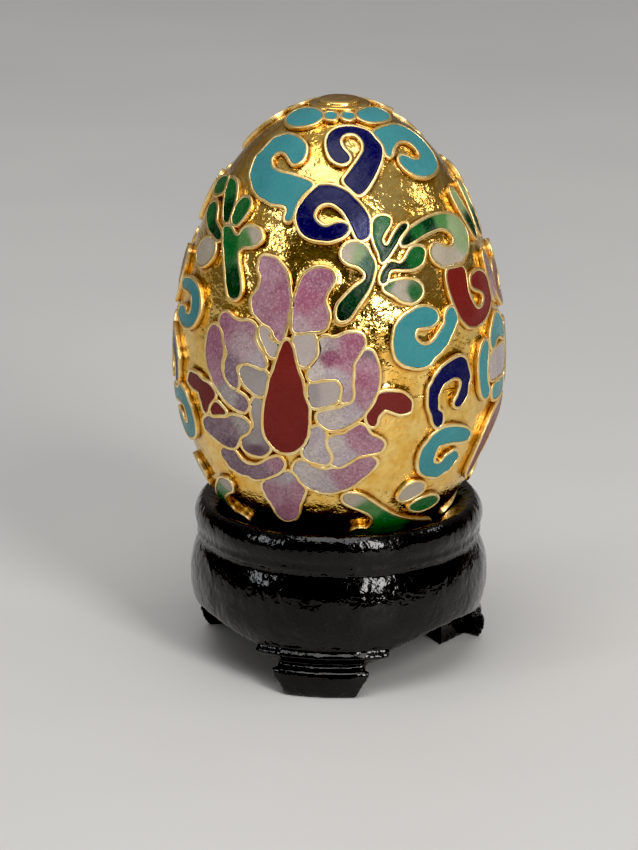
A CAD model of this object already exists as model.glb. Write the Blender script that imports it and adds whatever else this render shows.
"""Looks of a cloisonne enamel egg on its black lacquered stand."""

import math

import bpy
import numpy as np
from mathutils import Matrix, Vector
from mathutils.geometry import delaunay_2d_cdt
from mathutils.kdtree import KDTree


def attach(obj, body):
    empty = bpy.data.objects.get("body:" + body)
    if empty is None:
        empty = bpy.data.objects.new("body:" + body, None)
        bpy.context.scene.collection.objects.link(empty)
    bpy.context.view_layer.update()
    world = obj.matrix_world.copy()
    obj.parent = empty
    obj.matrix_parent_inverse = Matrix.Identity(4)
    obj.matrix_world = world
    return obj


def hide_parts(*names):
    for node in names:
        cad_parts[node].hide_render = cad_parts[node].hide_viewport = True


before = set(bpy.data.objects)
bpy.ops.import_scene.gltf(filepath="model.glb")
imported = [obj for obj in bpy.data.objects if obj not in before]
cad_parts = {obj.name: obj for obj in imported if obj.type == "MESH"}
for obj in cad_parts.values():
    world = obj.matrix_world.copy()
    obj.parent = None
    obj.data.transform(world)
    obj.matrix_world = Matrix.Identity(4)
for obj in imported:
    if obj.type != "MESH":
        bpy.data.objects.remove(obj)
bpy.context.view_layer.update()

# ---------------------------------------------------------------- design data
# Points on the egg are (azimuth in degrees, distance from the top along the
# surface in mm). Every motif is repeated half a turn further round.
COLOURS = {
    "turquoise": (61, 132, 137),
    "cobalt": (8, 9, 67),
    "cobaltlight": (36, 38, 98),
    "red": (111, 37, 33),
    "green": (18, 80, 37),
    "pink": (151, 108, 121),
    "white": (172, 160, 155),
    "pinkdeep": (143, 91, 110),
    "pinkpale": (161, 136, 140),
    "rose": (147, 87, 109),
    "rosedeep": (126, 59, 86),
    "lilac": (163, 149, 152),
    "mauve": (122, 97, 108),
    "mauvedark": (95, 70, 81),
    "grey": (148, 139, 136),
    "palewhite": (168, 157, 140),
    "greenpale": (135, 153, 111),
    "greenlight": (73, 121, 65),
    "greenmid": (26, 89, 40),
    "greenteal": (31, 80, 57),
    "greendark": (4, 47, 21),
    "greenblack": (2, 30, 11),
}
CELLS = {
    "lotus": [
        ("heart", "red", [[-18.4,30.5],[-18.11,30.49],[-16.7,30.99],[-15.78,32.05],[-15.02,32.81],[-14.19,33.67],[-13.39,34.21],[-12.99,34.59],[-12.59,35.27],[-12.44,35.77],[-12.06,36.25],[-11.34,36.81],[-10.68,37.37],[-10.6,37.77],[-10.66,38.37],[-10.66,38.87],[-10.75,39.16],[-10.94,39.56],[-11.31,40.44],[-12.03,41.0],[-12.68,41.45],[-14.69,42.08],[-16.2,42.45],[-18.39,42.64],[-20.67,42.6],[-22.14,42.39],[-23.42,42.08],[-24.55,41.6],[-25.51,41.09],[-26.23,40.12],[-26.17,39.33],[-26.01,38.63],[-25.65,37.94],[-25.4,37.45],[-25.19,37.05],[-24.68,36.47],[-24.32,35.99],[-24.05,35.6],[-23.66,34.81],[-22.98,34.25],[-22.21,33.6],[-22.03,33.3],[-21.32,32.64],[-20.53,31.68],[-19.93,31.22],[-19.49,30.85]]),
        ("petal_upper_left", "pink", [[-30.1,22.09],[-26.07,22.19],[-25.06,22.32],[-23.1,22.78],[-21.51,23.2],[-20.02,23.88],[-19.3,24.64],[-18.75,25.53],[-18.14,26.3],[-18.32,27.0],[-18.47,27.39],[-18.51,28.09],[-18.57,28.59],[-19.38,29.35],[-20.18,30.32],[-20.77,30.53],[-21.3,30.5],[-21.89,30.27],[-22.6,30.08],[-22.88,29.71],[-24.47,29.21],[-25.33,29.06],[-27.21,28.87],[-28.87,28.52],[-29.98,28.29],[-31.43,27.87],[-32.25,27.31],[-32.72,26.63],[-31.14,25.89],[-30.13,25.28],[-29.94,24.69],[-29.99,24.1],[-31.63,23.43],[-31.69,23.03],[-31.5,22.36]]),
        ("petal_upper_right", "pink", [[-8.11,22.84],[-7.02,22.82],[-4.6,22.97],[-3.44,23.18],[-2.34,23.86],[-3.63,24.58],[-5.08,25.29],[-5.76,26.17],[-5.08,26.82],[-4.24,27.45],[-4.11,27.95],[-4.48,28.33],[-5.28,28.88],[-7.98,29.23],[-10.26,29.23],[-12.21,29.35],[-13.52,29.4],[-14.83,29.44],[-15.7,29.34],[-16.25,28.99],[-16.17,28.1],[-16.22,27.5],[-16.17,26.6],[-15.85,26.01],[-15.02,25.03],[-14.55,24.55],[-12.9,23.55],[-11.42,23.25],[-10.22,23.02]]),
        ("petal_left", "pink", [[-43.34,28.64],[-43.02,28.64],[-41.75,28.77],[-40.55,28.97],[-38.66,29.18],[-36.68,29.22],[-35.37,29.17],[-33.8,29.05],[-30.74,29.33],[-30.43,29.82],[-30.61,30.41],[-30.42,30.91],[-29.51,31.32],[-28.63,31.75],[-27.21,32.16],[-26.0,32.86],[-25.75,33.32],[-27.42,33.54],[-29.28,33.39],[-30.87,33.32],[-32.76,33.22],[-35.23,33.42],[-36.42,33.56],[-37.5,33.9],[-37.46,34.19],[-36.45,34.92],[-36.33,35.32],[-36.72,36.08],[-39.09,35.98],[-40.11,35.74],[-41.65,35.1],[-41.92,34.71],[-41.74,34.32],[-41.75,33.72],[-40.77,32.79],[-41.94,32.08],[-42.78,31.53],[-43.26,30.84],[-45.24,30.01],[-45.7,29.63],[-45.03,28.9]]),
        ("petal_left_outer", "pink", [[-48.38,30.23],[-47.42,30.25],[-46.52,30.38],[-45.0,30.92],[-44.5,31.51],[-43.65,32.17],[-43.31,32.66],[-43.61,33.35],[-44.1,34.13],[-43.93,34.72],[-43.37,35.19],[-42.77,35.55],[-41.05,36.14],[-39.07,36.46],[-37.28,36.67],[-34.27,37.0],[-32.22,37.7],[-33.72,38.54],[-34.64,38.59],[-36.23,38.55],[-38.37,38.37],[-39.83,38.17],[-42.01,37.77],[-43.48,37.39],[-45.1,36.91],[-46.81,36.32],[-47.98,35.84],[-48.89,35.42],[-49.69,34.98],[-50.13,34.72],[-51.21,33.66],[-51.64,32.77],[-51.44,31.77],[-51.1,31.09],[-49.79,30.44]]),
        ("small_left", "white", [[-27.58,29.3],[-26.66,29.34],[-25.04,29.65],[-25.17,30.03],[-25.12,30.32],[-24.26,30.61],[-22.5,30.88],[-22.04,31.02],[-21.68,31.39],[-21.95,31.78],[-22.16,32.17],[-22.6,32.29],[-24.09,32.19],[-25.35,31.73],[-26.45,31.11],[-27.49,30.59],[-28.12,30.13],[-28.16,29.63]]),
        ("small_right", "white", [[-10.25,29.64],[-9.95,29.66],[-8.89,30.02],[-8.29,30.89],[-8.28,31.68],[-9.49,32.27],[-10.95,32.81],[-12.05,32.99],[-13.11,32.81],[-15.04,31.45],[-15.74,30.68],[-15.24,30.01],[-15.04,29.93],[-12.54,29.71]]),
        ("petal_right", "pink", [[3.21,29.53],[5.83,29.56],[7.47,29.83],[7.92,30.19],[7.84,30.69],[6.16,31.57],[5.42,31.91],[4.0,32.7],[3.97,33.2],[3.93,33.6],[3.87,34.1],[3.65,34.8],[3.97,35.59],[3.74,36.18],[3.13,36.53],[1.69,36.71],[0.83,36.63],[0.83,36.07],[1.23,35.59],[1.23,35.19],[0.71,34.72],[-0.5,34.27],[-1.38,34.16],[-3.62,34.16],[-6.48,34.27],[-9.26,34.42],[-10.11,34.15],[-10.4,33.77],[-9.62,33.22],[-8.21,32.67],[-7.28,32.25],[-6.22,31.41],[-6.32,30.72],[-6.68,30.26],[-4.93,29.88],[-3.4,30.03],[-1.81,30.07],[0.1,29.9],[1.3,29.71]]),
        ("petal_right_outer", "pink", [[8.9,31.34],[9.21,31.33],[10.56,31.55],[11.82,32.33],[12.5,32.98],[12.76,33.57],[12.78,34.17],[12.65,34.66],[12.43,35.16],[11.9,35.74],[11.34,36.1],[9.24,37.33],[8.44,37.64],[7.36,38.12],[5.47,38.64],[3.92,38.98],[2.83,39.18],[1.12,39.43],[-0.37,39.59],[-2.57,39.71],[-3.83,39.65],[-5.18,39.38],[-6.41,39.06],[-7.28,38.53],[-7.19,38.15],[-5.98,37.86],[-3.19,37.68],[-1.64,37.56],[1.39,37.28],[2.79,37.04],[4.24,36.66],[5.07,35.71],[4.93,34.91],[4.96,34.22],[5.07,33.62],[5.06,32.92],[5.69,32.46],[6.98,31.87],[7.8,31.55]]),
        ("inner_left", "white", [[-33.04,33.76],[-30.18,33.84],[-27.95,33.89],[-25.31,34.16],[-24.97,34.83],[-25.3,35.31],[-25.53,35.71],[-26.4,36.44],[-28.5,36.52],[-31.09,36.13],[-33.19,35.68],[-34.58,35.01],[-35.17,34.26],[-34.5,33.93]]),
        ("inner_right", "white", [[-2.99,34.5],[-1.14,34.6],[0.14,35.47],[-0.68,36.33],[-1.51,36.63],[-2.6,36.83],[-5.31,37.14],[-7.82,37.29],[-9.02,37.2],[-9.7,36.87],[-10.1,36.08],[-10.1,35.01],[-8.36,34.8],[-5.86,34.61]]),
        ("lower_left", "pink", [[-39.04,39.46],[-37.43,39.44],[-34.26,39.55],[-32.11,40.09],[-32.31,40.47],[-33.28,40.88],[-34.92,41.22],[-36.47,41.6],[-38.32,42.58],[-39.41,42.97],[-40.96,43.17],[-43.28,43.2],[-45.54,43.08],[-46.77,42.97],[-49.05,42.64],[-50.53,42.46],[-52.29,42.24],[-53.67,42.02],[-54.17,41.67],[-54.27,41.1],[-51.73,40.46],[-50.13,40.37],[-47.89,40.39],[-45.02,40.18],[-41.85,39.95],[-39.94,39.57]]),
        ("strip_left", "white", [[-28.97,36.99],[-27.46,37.06],[-26.79,37.49],[-27.09,38.38],[-27.43,39.27],[-27.55,39.97],[-27.46,40.57],[-26.78,41.33],[-25.61,41.93],[-25.03,42.48],[-26.14,42.96],[-27.78,43.32],[-29.36,43.49],[-31.01,43.5],[-33.57,43.31],[-34.93,43.06],[-35.83,42.55],[-34.81,41.73],[-32.53,41.14],[-30.6,40.59],[-29.97,40.13],[-29.97,39.54],[-30.65,38.67],[-30.39,38.08],[-30.38,37.58],[-29.55,37.06]]),
        ("bottom_left", "pink", [[-22.48,43.46],[-21.51,43.49],[-20.25,44.03],[-20.83,44.6],[-22.08,45.07],[-24.93,45.64],[-26.48,45.88],[-28.29,46.19],[-31.69,46.5],[-33.77,46.64],[-35.65,46.43],[-36.93,46.32],[-39.7,46.37],[-42.15,46.06],[-44.26,45.81],[-45.27,45.33],[-46.79,44.73],[-47.04,44.35],[-45.88,43.74],[-43.26,43.67],[-41.25,43.6],[-40.29,43.63],[-38.45,44.4],[-36.46,44.89],[-34.85,45.01],[-32.46,44.96],[-30.78,44.84],[-28.09,44.39],[-25.54,43.87]]),
        ("lower_right", "pink", [[-7.63,39.51],[-7.01,39.53],[-5.25,40.08],[-5.18,40.97],[-4.87,41.86],[-3.52,42.79],[-4.01,43.54],[-5.43,43.75],[-7.43,43.7],[-9.39,43.54],[-11.21,43.29],[-12.46,42.7],[-12.56,42.51],[-12.28,42.22],[-11.19,41.73],[-10.45,41.3],[-10.24,41.01],[-10.11,40.61],[-9.32,39.77]]),
        ("star_right", "pink", [[6.55,39.29],[6.85,39.28],[8.46,39.59],[9.34,40.02],[10.84,40.58],[13.15,40.98],[14.94,41.56],[13.27,42.41],[10.45,42.57],[8.54,42.67],[5.7,42.85],[4.18,43.19],[2.35,43.58],[-0.23,43.97],[-2.09,43.83],[-2.46,43.56],[-2.37,42.67],[-3.5,41.93],[-4.07,41.17],[-2.73,40.64],[-1.26,40.46],[1.56,40.32],[2.86,40.04],[4.14,39.76]]),
        ("bottom_right", "pink", [[9.61,43.06],[10.92,43.09],[12.66,43.57],[12.6,43.95],[11.13,44.55],[10.3,44.83],[9.27,45.19],[8.32,45.43],[6.96,45.83],[5.83,46.16],[5.13,46.35],[2.91,46.76],[-0.55,47.15],[-1.83,47.3],[-3.48,47.43],[-5.27,47.41],[-7.43,47.35],[-9.78,47.08],[-11.14,46.94],[-12.32,46.72],[-13.46,46.32],[-14.25,45.99],[-14.78,45.52],[-15.9,45.13],[-16.47,44.78],[-16.02,44.31],[-14.73,43.74],[-13.86,43.61],[-12.57,43.68],[-11.42,43.9],[-9.94,44.15],[-7.37,44.44],[-5.73,44.6],[-4.73,44.62],[-2.11,44.47],[-1.12,44.44],[1.1,44.28],[2.68,43.96],[3.76,43.75],[5.82,43.31],[7.68,43.15]]),
        ("petal_bottom", "pink", [[-19.06,45.17],[-17.1,45.53],[-16.01,46.04],[-14.38,46.71],[-13.44,47.25],[-13.58,47.54],[-14.81,48.47],[-15.19,48.75],[-16.76,49.65],[-17.34,50.33],[-18.22,51.1],[-19.78,51.68],[-22.78,52.21],[-24.78,52.28],[-25.13,52.23],[-26.63,51.78],[-27.4,51.33],[-27.55,50.64],[-28.03,50.16],[-28.74,49.5],[-29.65,49.09],[-29.92,48.5],[-30.3,47.62],[-28.35,46.78],[-26.52,46.45],[-23.35,46.0],[-22.43,45.85],[-21.59,45.67]]),
    ],
    "leaf_right": [
        ("leaf", "red", [[15.4,35.89],[17.32,35.88],[18.58,35.96],[20.14,36.06],[21.31,36.22],[22.34,36.46],[23.43,36.82],[24.17,37.14],[24.27,37.74],[23.62,38.17],[22.42,38.26],[20.52,38.27],[18.43,38.02],[16.39,37.73],[15.19,37.61],[13.95,37.89],[12.59,38.31],[12.24,38.69],[12.08,39.09],[11.32,39.39],[11.03,39.41],[9.9,39.12],[9.27,38.66],[9.14,38.27],[9.74,37.93],[10.74,37.53],[11.77,37.03],[12.59,36.48],[13.28,36.04]]),
    ],
    "leaf_left": [
        ("leaf", "red", [[-60.77,36.18],[-58.55,36.18],[-56.33,36.2],[-53.67,36.52],[-50.53,36.66],[-49.31,36.78],[-47.96,37.04],[-46.87,37.4],[-46.78,37.49],[-47.0,37.77],[-49.34,38.58],[-50.82,39.35],[-51.3,39.72],[-52.51,39.98],[-53.82,39.46],[-54.22,38.78],[-55.12,38.38],[-55.85,37.95],[-58.94,37.78],[-60.19,37.71],[-61.68,37.53],[-62.93,37.29],[-62.66,36.92],[-62.03,36.46],[-61.35,36.26]]),
        ("bud", "red", [[-45.94,38.44],[-45.64,38.44],[-44.77,38.56],[-43.46,38.86],[-42.12,39.23],[-43.0,39.44],[-44.57,39.55],[-45.81,39.65],[-47.07,39.74],[-48.9,39.8],[-48.91,39.26],[-48.51,38.99],[-47.39,38.63]]),
    ],
    "scroll_upper_left": [
        ("scroll", "turq", [[-44.5,8.41],[-35.77,8.52],[-31.14,8.77],[-27.35,9.16],[-24.15,9.84],[-23.37,10.97],[-24.76,11.44],[-27.21,11.7],[-29.25,11.59],[-35.78,10.64],[-40.47,10.47],[-43.21,10.62],[-45.64,11.55],[-44.11,12.1],[-40.47,12.73],[-36.43,12.94],[-32.35,13.06],[-26.79,13.19],[-25.32,13.25],[-21.46,13.42],[-16.47,13.74],[-14.51,14.06],[-16.14,14.58],[-18.66,15.27],[-20.83,16.42],[-21.52,17.62],[-22.84,18.08],[-24.0,17.89],[-24.03,17.01],[-25.51,16.46],[-30.71,16.41],[-34.63,16.31],[-37.54,16.07],[-41.05,15.89],[-43.88,15.54],[-46.39,15.25],[-49.65,14.6],[-52.83,14.04],[-54.73,13.4],[-56.32,12.61],[-57.66,11.92],[-56.57,11.43],[-55.92,10.89],[-55.48,10.52],[-54.29,9.42],[-49.84,8.81]]),
    ],
    "scroll_upper_right": [
        ("scroll", "turq", [[44.62,7.24],[56.3,7.29],[61.47,7.53],[64.89,7.87],[67.5,8.29],[69.44,8.75],[70.24,9.0],[71.86,9.87],[72.12,10.63],[71.4,11.52],[70.22,12.12],[67.74,12.84],[63.36,13.49],[58.03,13.86],[55.58,13.93],[52.64,13.94],[50.19,13.89],[46.31,13.71],[42.72,13.31],[41.54,13.09],[40.15,12.77],[38.5,12.11],[38.85,11.54],[41.22,11.2],[43.89,11.38],[48.59,11.97],[52.9,12.08],[55.51,11.93],[57.69,11.35],[57.77,10.27],[56.51,9.83],[53.05,9.41],[47.79,9.26],[43.95,9.4],[39.64,9.78],[38.19,9.94],[36.47,10.18],[35.08,10.47],[32.42,10.88],[31.94,10.86],[31.44,10.61],[32.31,10.07],[32.38,9.21],[31.66,8.61],[30.52,7.83],[37.4,7.38]]),
    ],
    "scroll_mid_right": [
        ("scroll", "turq", [[28.53,27.46],[31.86,27.51],[34.62,27.87],[35.81,28.33],[35.77,28.91],[34.46,29.19],[32.96,29.39],[30.35,29.4],[29.04,29.39],[27.44,29.41],[26.01,30.24],[27.43,31.01],[28.72,31.31],[29.93,31.44],[32.78,31.32],[35.82,30.58],[37.95,29.96],[39.36,29.54],[40.35,28.58],[43.04,28.08],[44.56,28.89],[44.62,29.48],[44.31,29.66],[42.92,30.22],[41.2,30.84],[40.17,31.23],[39.22,31.63],[37.82,31.88],[36.32,32.27],[35.22,32.48],[34.08,32.66],[33.26,32.82],[31.72,33.32],[30.84,33.43],[29.28,33.53],[27.05,33.53],[23.97,33.26],[22.45,33.11],[20.88,32.75],[19.59,32.31],[18.73,31.25],[18.69,30.55],[19.18,29.87],[19.85,29.11],[23.59,28.04],[26.03,27.74]]),
    ],
    "scroll_low_right": [
        ("scroll", "turq", [[38.1,40.88],[40.04,40.87],[41.96,40.95],[42.91,41.01],[45.11,41.18],[48.48,41.56],[49.37,41.69],[51.6,42.12],[52.36,42.45],[52.41,42.63],[51.86,42.86],[50.31,42.98],[47.02,42.91],[45.08,42.77],[43.46,42.68],[40.5,42.64],[37.88,42.68],[36.68,42.82],[35.85,43.25],[35.39,43.94],[35.3,44.43],[36.75,45.06],[40.01,44.96],[40.99,44.56],[42.06,44.34],[43.63,44.17],[45.17,43.99],[47.24,44.47],[47.91,45.02],[46.36,45.51],[45.13,46.08],[43.54,46.26],[41.93,46.45],[39.66,46.69],[36.59,46.5],[33.67,46.19],[31.98,45.87],[30.76,45.54],[29.91,44.91],[29.54,44.42],[29.45,43.93],[29.81,43.34],[30.19,42.85],[31.83,42.22],[33.72,41.52],[35.69,41.17]]),
    ],
    "scroll_edge_left": [
        ("scroll", "turq", [[-69.68,26.73],[-68.66,26.72],[-65.28,26.82],[-63.65,26.95],[-61.35,27.34],[-59.98,27.77],[-58.71,28.57],[-58.57,29.55],[-58.89,29.84],[-59.49,30.2],[-60.83,30.78],[-62.05,31.11],[-64.11,31.41],[-65.67,31.55],[-67.57,31.66],[-69.84,31.64],[-72.05,31.48],[-73.0,31.41],[-74.48,31.2],[-76.15,30.88],[-76.63,30.64],[-75.99,30.33],[-74.88,30.13],[-72.73,29.9],[-71.1,29.85],[-69.34,30.08],[-68.32,30.33],[-65.76,30.35],[-64.89,30.22],[-64.15,29.89],[-63.8,29.11],[-64.1,28.72],[-65.04,28.32],[-66.74,28.01],[-68.66,27.84],[-70.0,27.82],[-72.68,27.88],[-75.67,27.9],[-77.36,27.52],[-75.6,27.13],[-74.33,27.0],[-72.69,26.88]]),
    ],
    "scroll_foot_left": [
        ("scroll", "turq", [[-72.19,38.59],[-69.06,38.69],[-67.61,38.9],[-66.18,39.12],[-64.6,39.62],[-64.04,39.87],[-62.38,40.48],[-61.8,41.16],[-61.54,41.56],[-61.56,42.05],[-61.95,42.53],[-62.7,43.18],[-63.35,43.4],[-64.66,43.69],[-66.7,44.01],[-69.91,44.29],[-72.22,44.38],[-74.67,44.06],[-77.16,43.79],[-78.63,43.15],[-79.99,42.75],[-79.58,42.28],[-77.41,41.7],[-75.89,41.84],[-73.48,42.14],[-72.05,42.67],[-70.49,42.81],[-68.58,42.72],[-67.35,42.06],[-67.53,41.46],[-67.78,41.07],[-68.48,40.62],[-68.94,40.48],[-71.13,40.35],[-72.09,40.34],[-74.35,40.34],[-77.54,40.49],[-80.72,40.68],[-83.88,40.57],[-84.46,40.36],[-83.74,39.83],[-81.56,39.4],[-80.08,39.23],[-78.38,39.43],[-75.88,39.25],[-73.73,39.06]]),
    ],
    "cobalt_top": [
        ("scroll", "cobalt", [[3.66,6.6],[10.94,6.6],[15.99,6.79],[21.05,7.11],[26.26,7.87],[27.14,8.52],[28.27,8.94],[29.2,9.58],[29.12,9.97],[27.79,10.56],[25.95,11.13],[22.6,12.03],[19.14,12.87],[18.2,13.13],[14.76,14.03],[11.74,14.7],[8.88,14.97],[7.09,14.65],[4.73,14.13],[2.36,13.49],[3.62,12.98],[5.21,12.6],[8.43,11.82],[10.87,11.27],[16.61,9.94],[17.84,9.26],[17.97,8.66],[14.79,7.81],[12.32,7.57],[7.6,7.47],[3.16,7.65],[-0.36,8.36],[0.04,9.15],[1.52,9.62],[3.93,10.12],[5.63,10.86],[2.55,11.36],[-0.83,11.3],[-3.5,11.03],[-5.6,10.62],[-8.14,9.65],[-9.13,8.46],[-7.01,7.5],[-1.89,6.84]]),
    ],
    "cobalt_mid": [
        ("scroll", "cobalt", [[-8.16,14.05],[-4.75,14.05],[-1.91,14.19],[0.69,14.44],[3.42,14.8],[6.52,15.49],[8.77,16.06],[11.31,17.04],[12.49,17.95],[12.26,18.54],[12.03,19.14],[11.09,19.59],[8.54,19.81],[7.11,19.52],[6.23,18.98],[4.61,17.99],[2.9,17.21],[0.96,16.57],[-1.76,16.08],[-3.78,15.88],[-6.02,15.86],[-8.61,15.99],[-11.15,16.5],[-12.0,17.14],[-11.77,17.54],[-10.4,18.05],[-7.6,18.49],[-5.19,18.52],[-0.58,18.1],[2.96,18.43],[2.69,19.0],[1.61,19.3],[-0.46,19.61],[-4.21,19.89],[-5.38,19.91],[-10.84,19.79],[-12.36,19.66],[-14.93,19.36],[-18.12,18.4],[-19.39,17.33],[-18.73,16.68],[-16.98,15.82],[-16.15,15.49],[-14.38,14.95],[-13.46,14.74],[-11.36,14.25]]),
    ],
    "cobalt_right": [
        ("scroll", "cobalt", [[43.66,33.43],[45.25,33.45],[47.18,33.79],[48.02,34.2],[48.51,34.78],[49.45,35.73],[49.17,36.21],[48.58,36.57],[48.31,37.06],[47.93,37.64],[46.62,38.21],[44.65,38.68],[42.32,38.3],[43.66,37.66],[44.51,37.13],[44.98,36.86],[45.25,35.9],[43.33,35.41],[41.45,35.34],[39.29,35.51],[37.5,35.72],[36.74,35.9],[35.24,36.54],[34.54,36.97],[34.44,37.37],[34.62,37.86],[34.65,38.55],[35.89,38.84],[36.93,39.33],[36.64,40.2],[35.92,40.38],[35.01,40.36],[33.46,39.75],[32.97,39.17],[32.51,38.8],[31.43,37.97],[31.37,37.07],[31.37,36.47],[31.58,35.97],[31.69,35.88],[32.95,35.45],[33.43,35.08],[35.02,34.6],[36.13,34.25],[37.54,34.02],[40.23,33.69]]),
    ],
    "sprig_right": [
        ("leaf_lower", "green", [[5.59,20.17],[9.52,20.57],[11.3,21.35],[11.93,21.72],[12.7,22.19],[12.93,22.88],[12.71,23.17],[11.62,24.01],[11.17,24.28],[9.76,25.08],[9.24,25.33],[7.17,26.11],[6.15,26.5],[4.96,26.98],[2.82,27.85],[0.79,28.13],[-0.15,28.04],[-0.84,27.7],[-0.47,26.73],[0.79,26.16],[3.07,25.45],[5.64,24.81],[6.81,24.61],[8.54,24.28],[9.74,23.93],[10.09,23.66],[9.72,23.28],[7.49,22.6],[5.79,22.39],[3.28,22.16],[1.1,21.6],[1.17,20.92],[1.93,20.6],[3.07,20.36]]),
        ("leaf_upper", "green", [[18.01,17.54],[20.46,17.62],[21.9,17.94],[20.96,18.57],[19.84,18.87],[17.75,19.49],[16.79,20.22],[18.5,20.81],[20.09,20.59],[22.36,19.76],[24.57,19.16],[26.49,18.76],[28.43,18.59],[29.38,18.69],[28.77,19.02],[27.1,19.33],[24.66,19.88],[22.96,20.45],[20.88,21.05],[18.9,21.67],[16.47,22.22],[15.93,22.02],[15.78,21.42],[14.79,20.66],[14.29,20.17],[13.88,19.38],[14.33,18.69],[14.47,18.29],[15.76,17.79]]),
        ("leaf_small", "green", [[31.16,21.17],[33.36,21.24],[34.43,21.47],[34.65,21.85],[33.09,22.67],[31.56,22.97],[29.09,23.17],[26.91,23.2],[24.75,23.16],[22.6,23.08],[20.43,23.06],[18.74,23.21],[17.64,23.83],[16.98,24.29],[15.75,24.4],[15.24,23.99],[16.6,23.17],[18.07,22.73],[19.89,22.42],[22.63,22.67],[23.7,22.69],[24.06,22.66],[25.92,22.33],[27.2,21.94],[29.03,21.41]]),
        ("leaf_round", "green", [[23.65,24.37],[25.06,24.38],[28.09,24.62],[29.28,24.82],[30.41,25.17],[30.79,25.75],[29.75,26.27],[26.61,26.66],[24.26,26.57],[22.69,26.39],[21.04,26.03],[19.39,25.68],[16.79,25.18],[16.41,24.93],[17.73,24.66],[19.77,24.48]]),
    ],
    "sprig_comma": [
        ("comma", "green", [[44.14,18.36],[47.42,18.35],[50.65,18.45],[52.24,18.52],[55.27,18.76],[58.65,19.21],[60.98,19.82],[62.2,20.5],[62.2,21.19],[61.09,21.85],[58.53,22.63],[55.2,23.31],[51.82,23.67],[50.41,23.63],[48.28,23.57],[45.07,23.64],[42.28,23.47],[39.43,22.85],[38.49,22.42],[38.33,21.93],[39.67,21.48],[41.38,21.32],[43.76,21.61],[45.72,21.89],[48.22,22.05],[51.93,21.63],[52.57,20.87],[51.39,20.27],[49.62,19.9],[48.25,19.72],[45.97,19.59],[43.21,19.61],[40.88,19.69],[37.44,19.87],[34.84,20.05],[32.33,20.28],[30.53,20.43],[26.95,20.71],[25.59,20.65],[26.01,20.35],[27.58,19.95],[29.25,19.57],[30.77,19.3],[33.63,19.0],[37.73,18.63],[42.1,18.41]]),
    ],
    "sprig_edge": [
        ("leaf_a", "green", [[65.81,16.21],[66.21,16.21],[67.11,16.41],[67.65,16.8],[68.38,17.69],[68.64,17.98],[69.26,18.77],[69.49,19.07],[69.8,19.46],[70.24,20.05],[70.6,20.75],[70.63,21.15],[70.56,21.45],[70.26,21.74],[69.59,21.94],[69.26,21.95],[68.44,21.77],[67.88,21.5],[67.25,21.13],[66.27,20.47],[65.93,20.18],[65.06,19.4],[64.55,18.81],[64.07,18.11],[63.87,17.51],[64.02,16.82],[64.6,16.45]]),
        ("leaf_b", "green", [[79.07,16.21],[80.38,16.41],[81.14,16.97],[81.29,17.46],[81.14,17.96],[80.9,18.36],[80.38,19.06],[79.89,19.55],[79.39,20.04],[78.64,20.62],[77.8,21.18],[76.97,21.64],[76.01,21.93],[75.69,21.95],[74.61,21.49],[74.43,20.9],[74.75,20.2],[75.11,19.71],[75.4,19.31],[75.69,18.92],[76.05,18.53],[76.33,18.13],[76.69,17.63],[76.99,17.24],[77.35,16.84],[77.91,16.46]]),
    ],
    "sprig_left": [
        ("stem", "green", [[-39.73,19.33],[-38.54,19.33],[-36.28,19.44],[-34.82,19.71],[-33.96,20.11],[-34.31,20.69],[-37.73,21.19],[-39.26,21.25],[-41.83,21.45],[-43.38,22.02],[-43.26,22.71],[-42.92,22.98],[-41.63,23.66],[-40.5,24.37],[-39.4,25.18],[-38.69,25.93],[-39.35,26.68],[-42.24,26.88],[-43.7,26.51],[-45.31,25.55],[-46.2,24.91],[-46.8,24.45],[-47.87,23.84],[-49.39,22.95],[-50.99,22.19],[-51.81,21.87],[-52.89,21.24],[-53.33,20.97],[-54.57,20.48],[-54.72,20.11],[-52.28,19.91],[-49.81,20.17],[-47.21,20.56],[-45.02,20.56],[-44.23,20.33],[-43.11,19.68]]),
        ("leaf_mid", "green", [[-67.54,15.12],[-65.26,15.11],[-62.53,15.25],[-59.48,15.7],[-56.96,16.4],[-55.09,17.39],[-54.44,18.47],[-54.35,19.34],[-55.78,19.45],[-56.86,19.34],[-58.01,19.07],[-59.97,18.43],[-62.32,17.72],[-65.13,16.81],[-66.27,16.5],[-66.63,16.12],[-68.17,15.63],[-67.88,15.17]]),
        ("leaf_in", "green", [[-49.21,16.49],[-47.45,16.48],[-45.64,16.71],[-45.09,16.96],[-44.81,17.55],[-45.6,18.24],[-47.06,18.99],[-48.53,19.34],[-51.11,19.23],[-51.95,18.79],[-52.16,18.09],[-52.36,17.49],[-51.36,16.83],[-50.05,16.55]]),
        ("leaf_out", "green", [[-71.6,18.16],[-69.15,18.24],[-66.33,18.68],[-64.69,19.27],[-62.8,19.92],[-60.36,20.24],[-58.93,20.4],[-57.88,20.52],[-55.73,20.93],[-55.44,21.27],[-56.69,21.44],[-58.92,21.36],[-62.59,21.11],[-65.19,20.93],[-66.99,20.74],[-68.76,20.51],[-71.59,20.12],[-74.28,19.64],[-75.75,19.03],[-74.12,18.43]]),
        ("leaf_low", "white", [[-63.08,21.76],[-60.85,21.8],[-58.78,22.02],[-57.73,22.3],[-57.19,22.97],[-58.75,23.87],[-60.37,24.26],[-63.88,24.69],[-68.91,24.06],[-69.59,23.0],[-68.53,22.49],[-66.27,22.01],[-64.54,21.84]]),
        ("leaf_tip", "green", [[-73.77,15.28],[-71.98,15.32],[-71.24,15.77],[-69.97,16.2],[-68.8,16.6],[-71.7,17.08],[-73.68,17.23],[-77.37,17.35],[-81.2,17.07],[-82.82,16.68],[-82.99,16.59],[-82.71,16.23],[-80.0,15.69],[-76.86,15.4]]),
    ],
    "scroll_red": [
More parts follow.
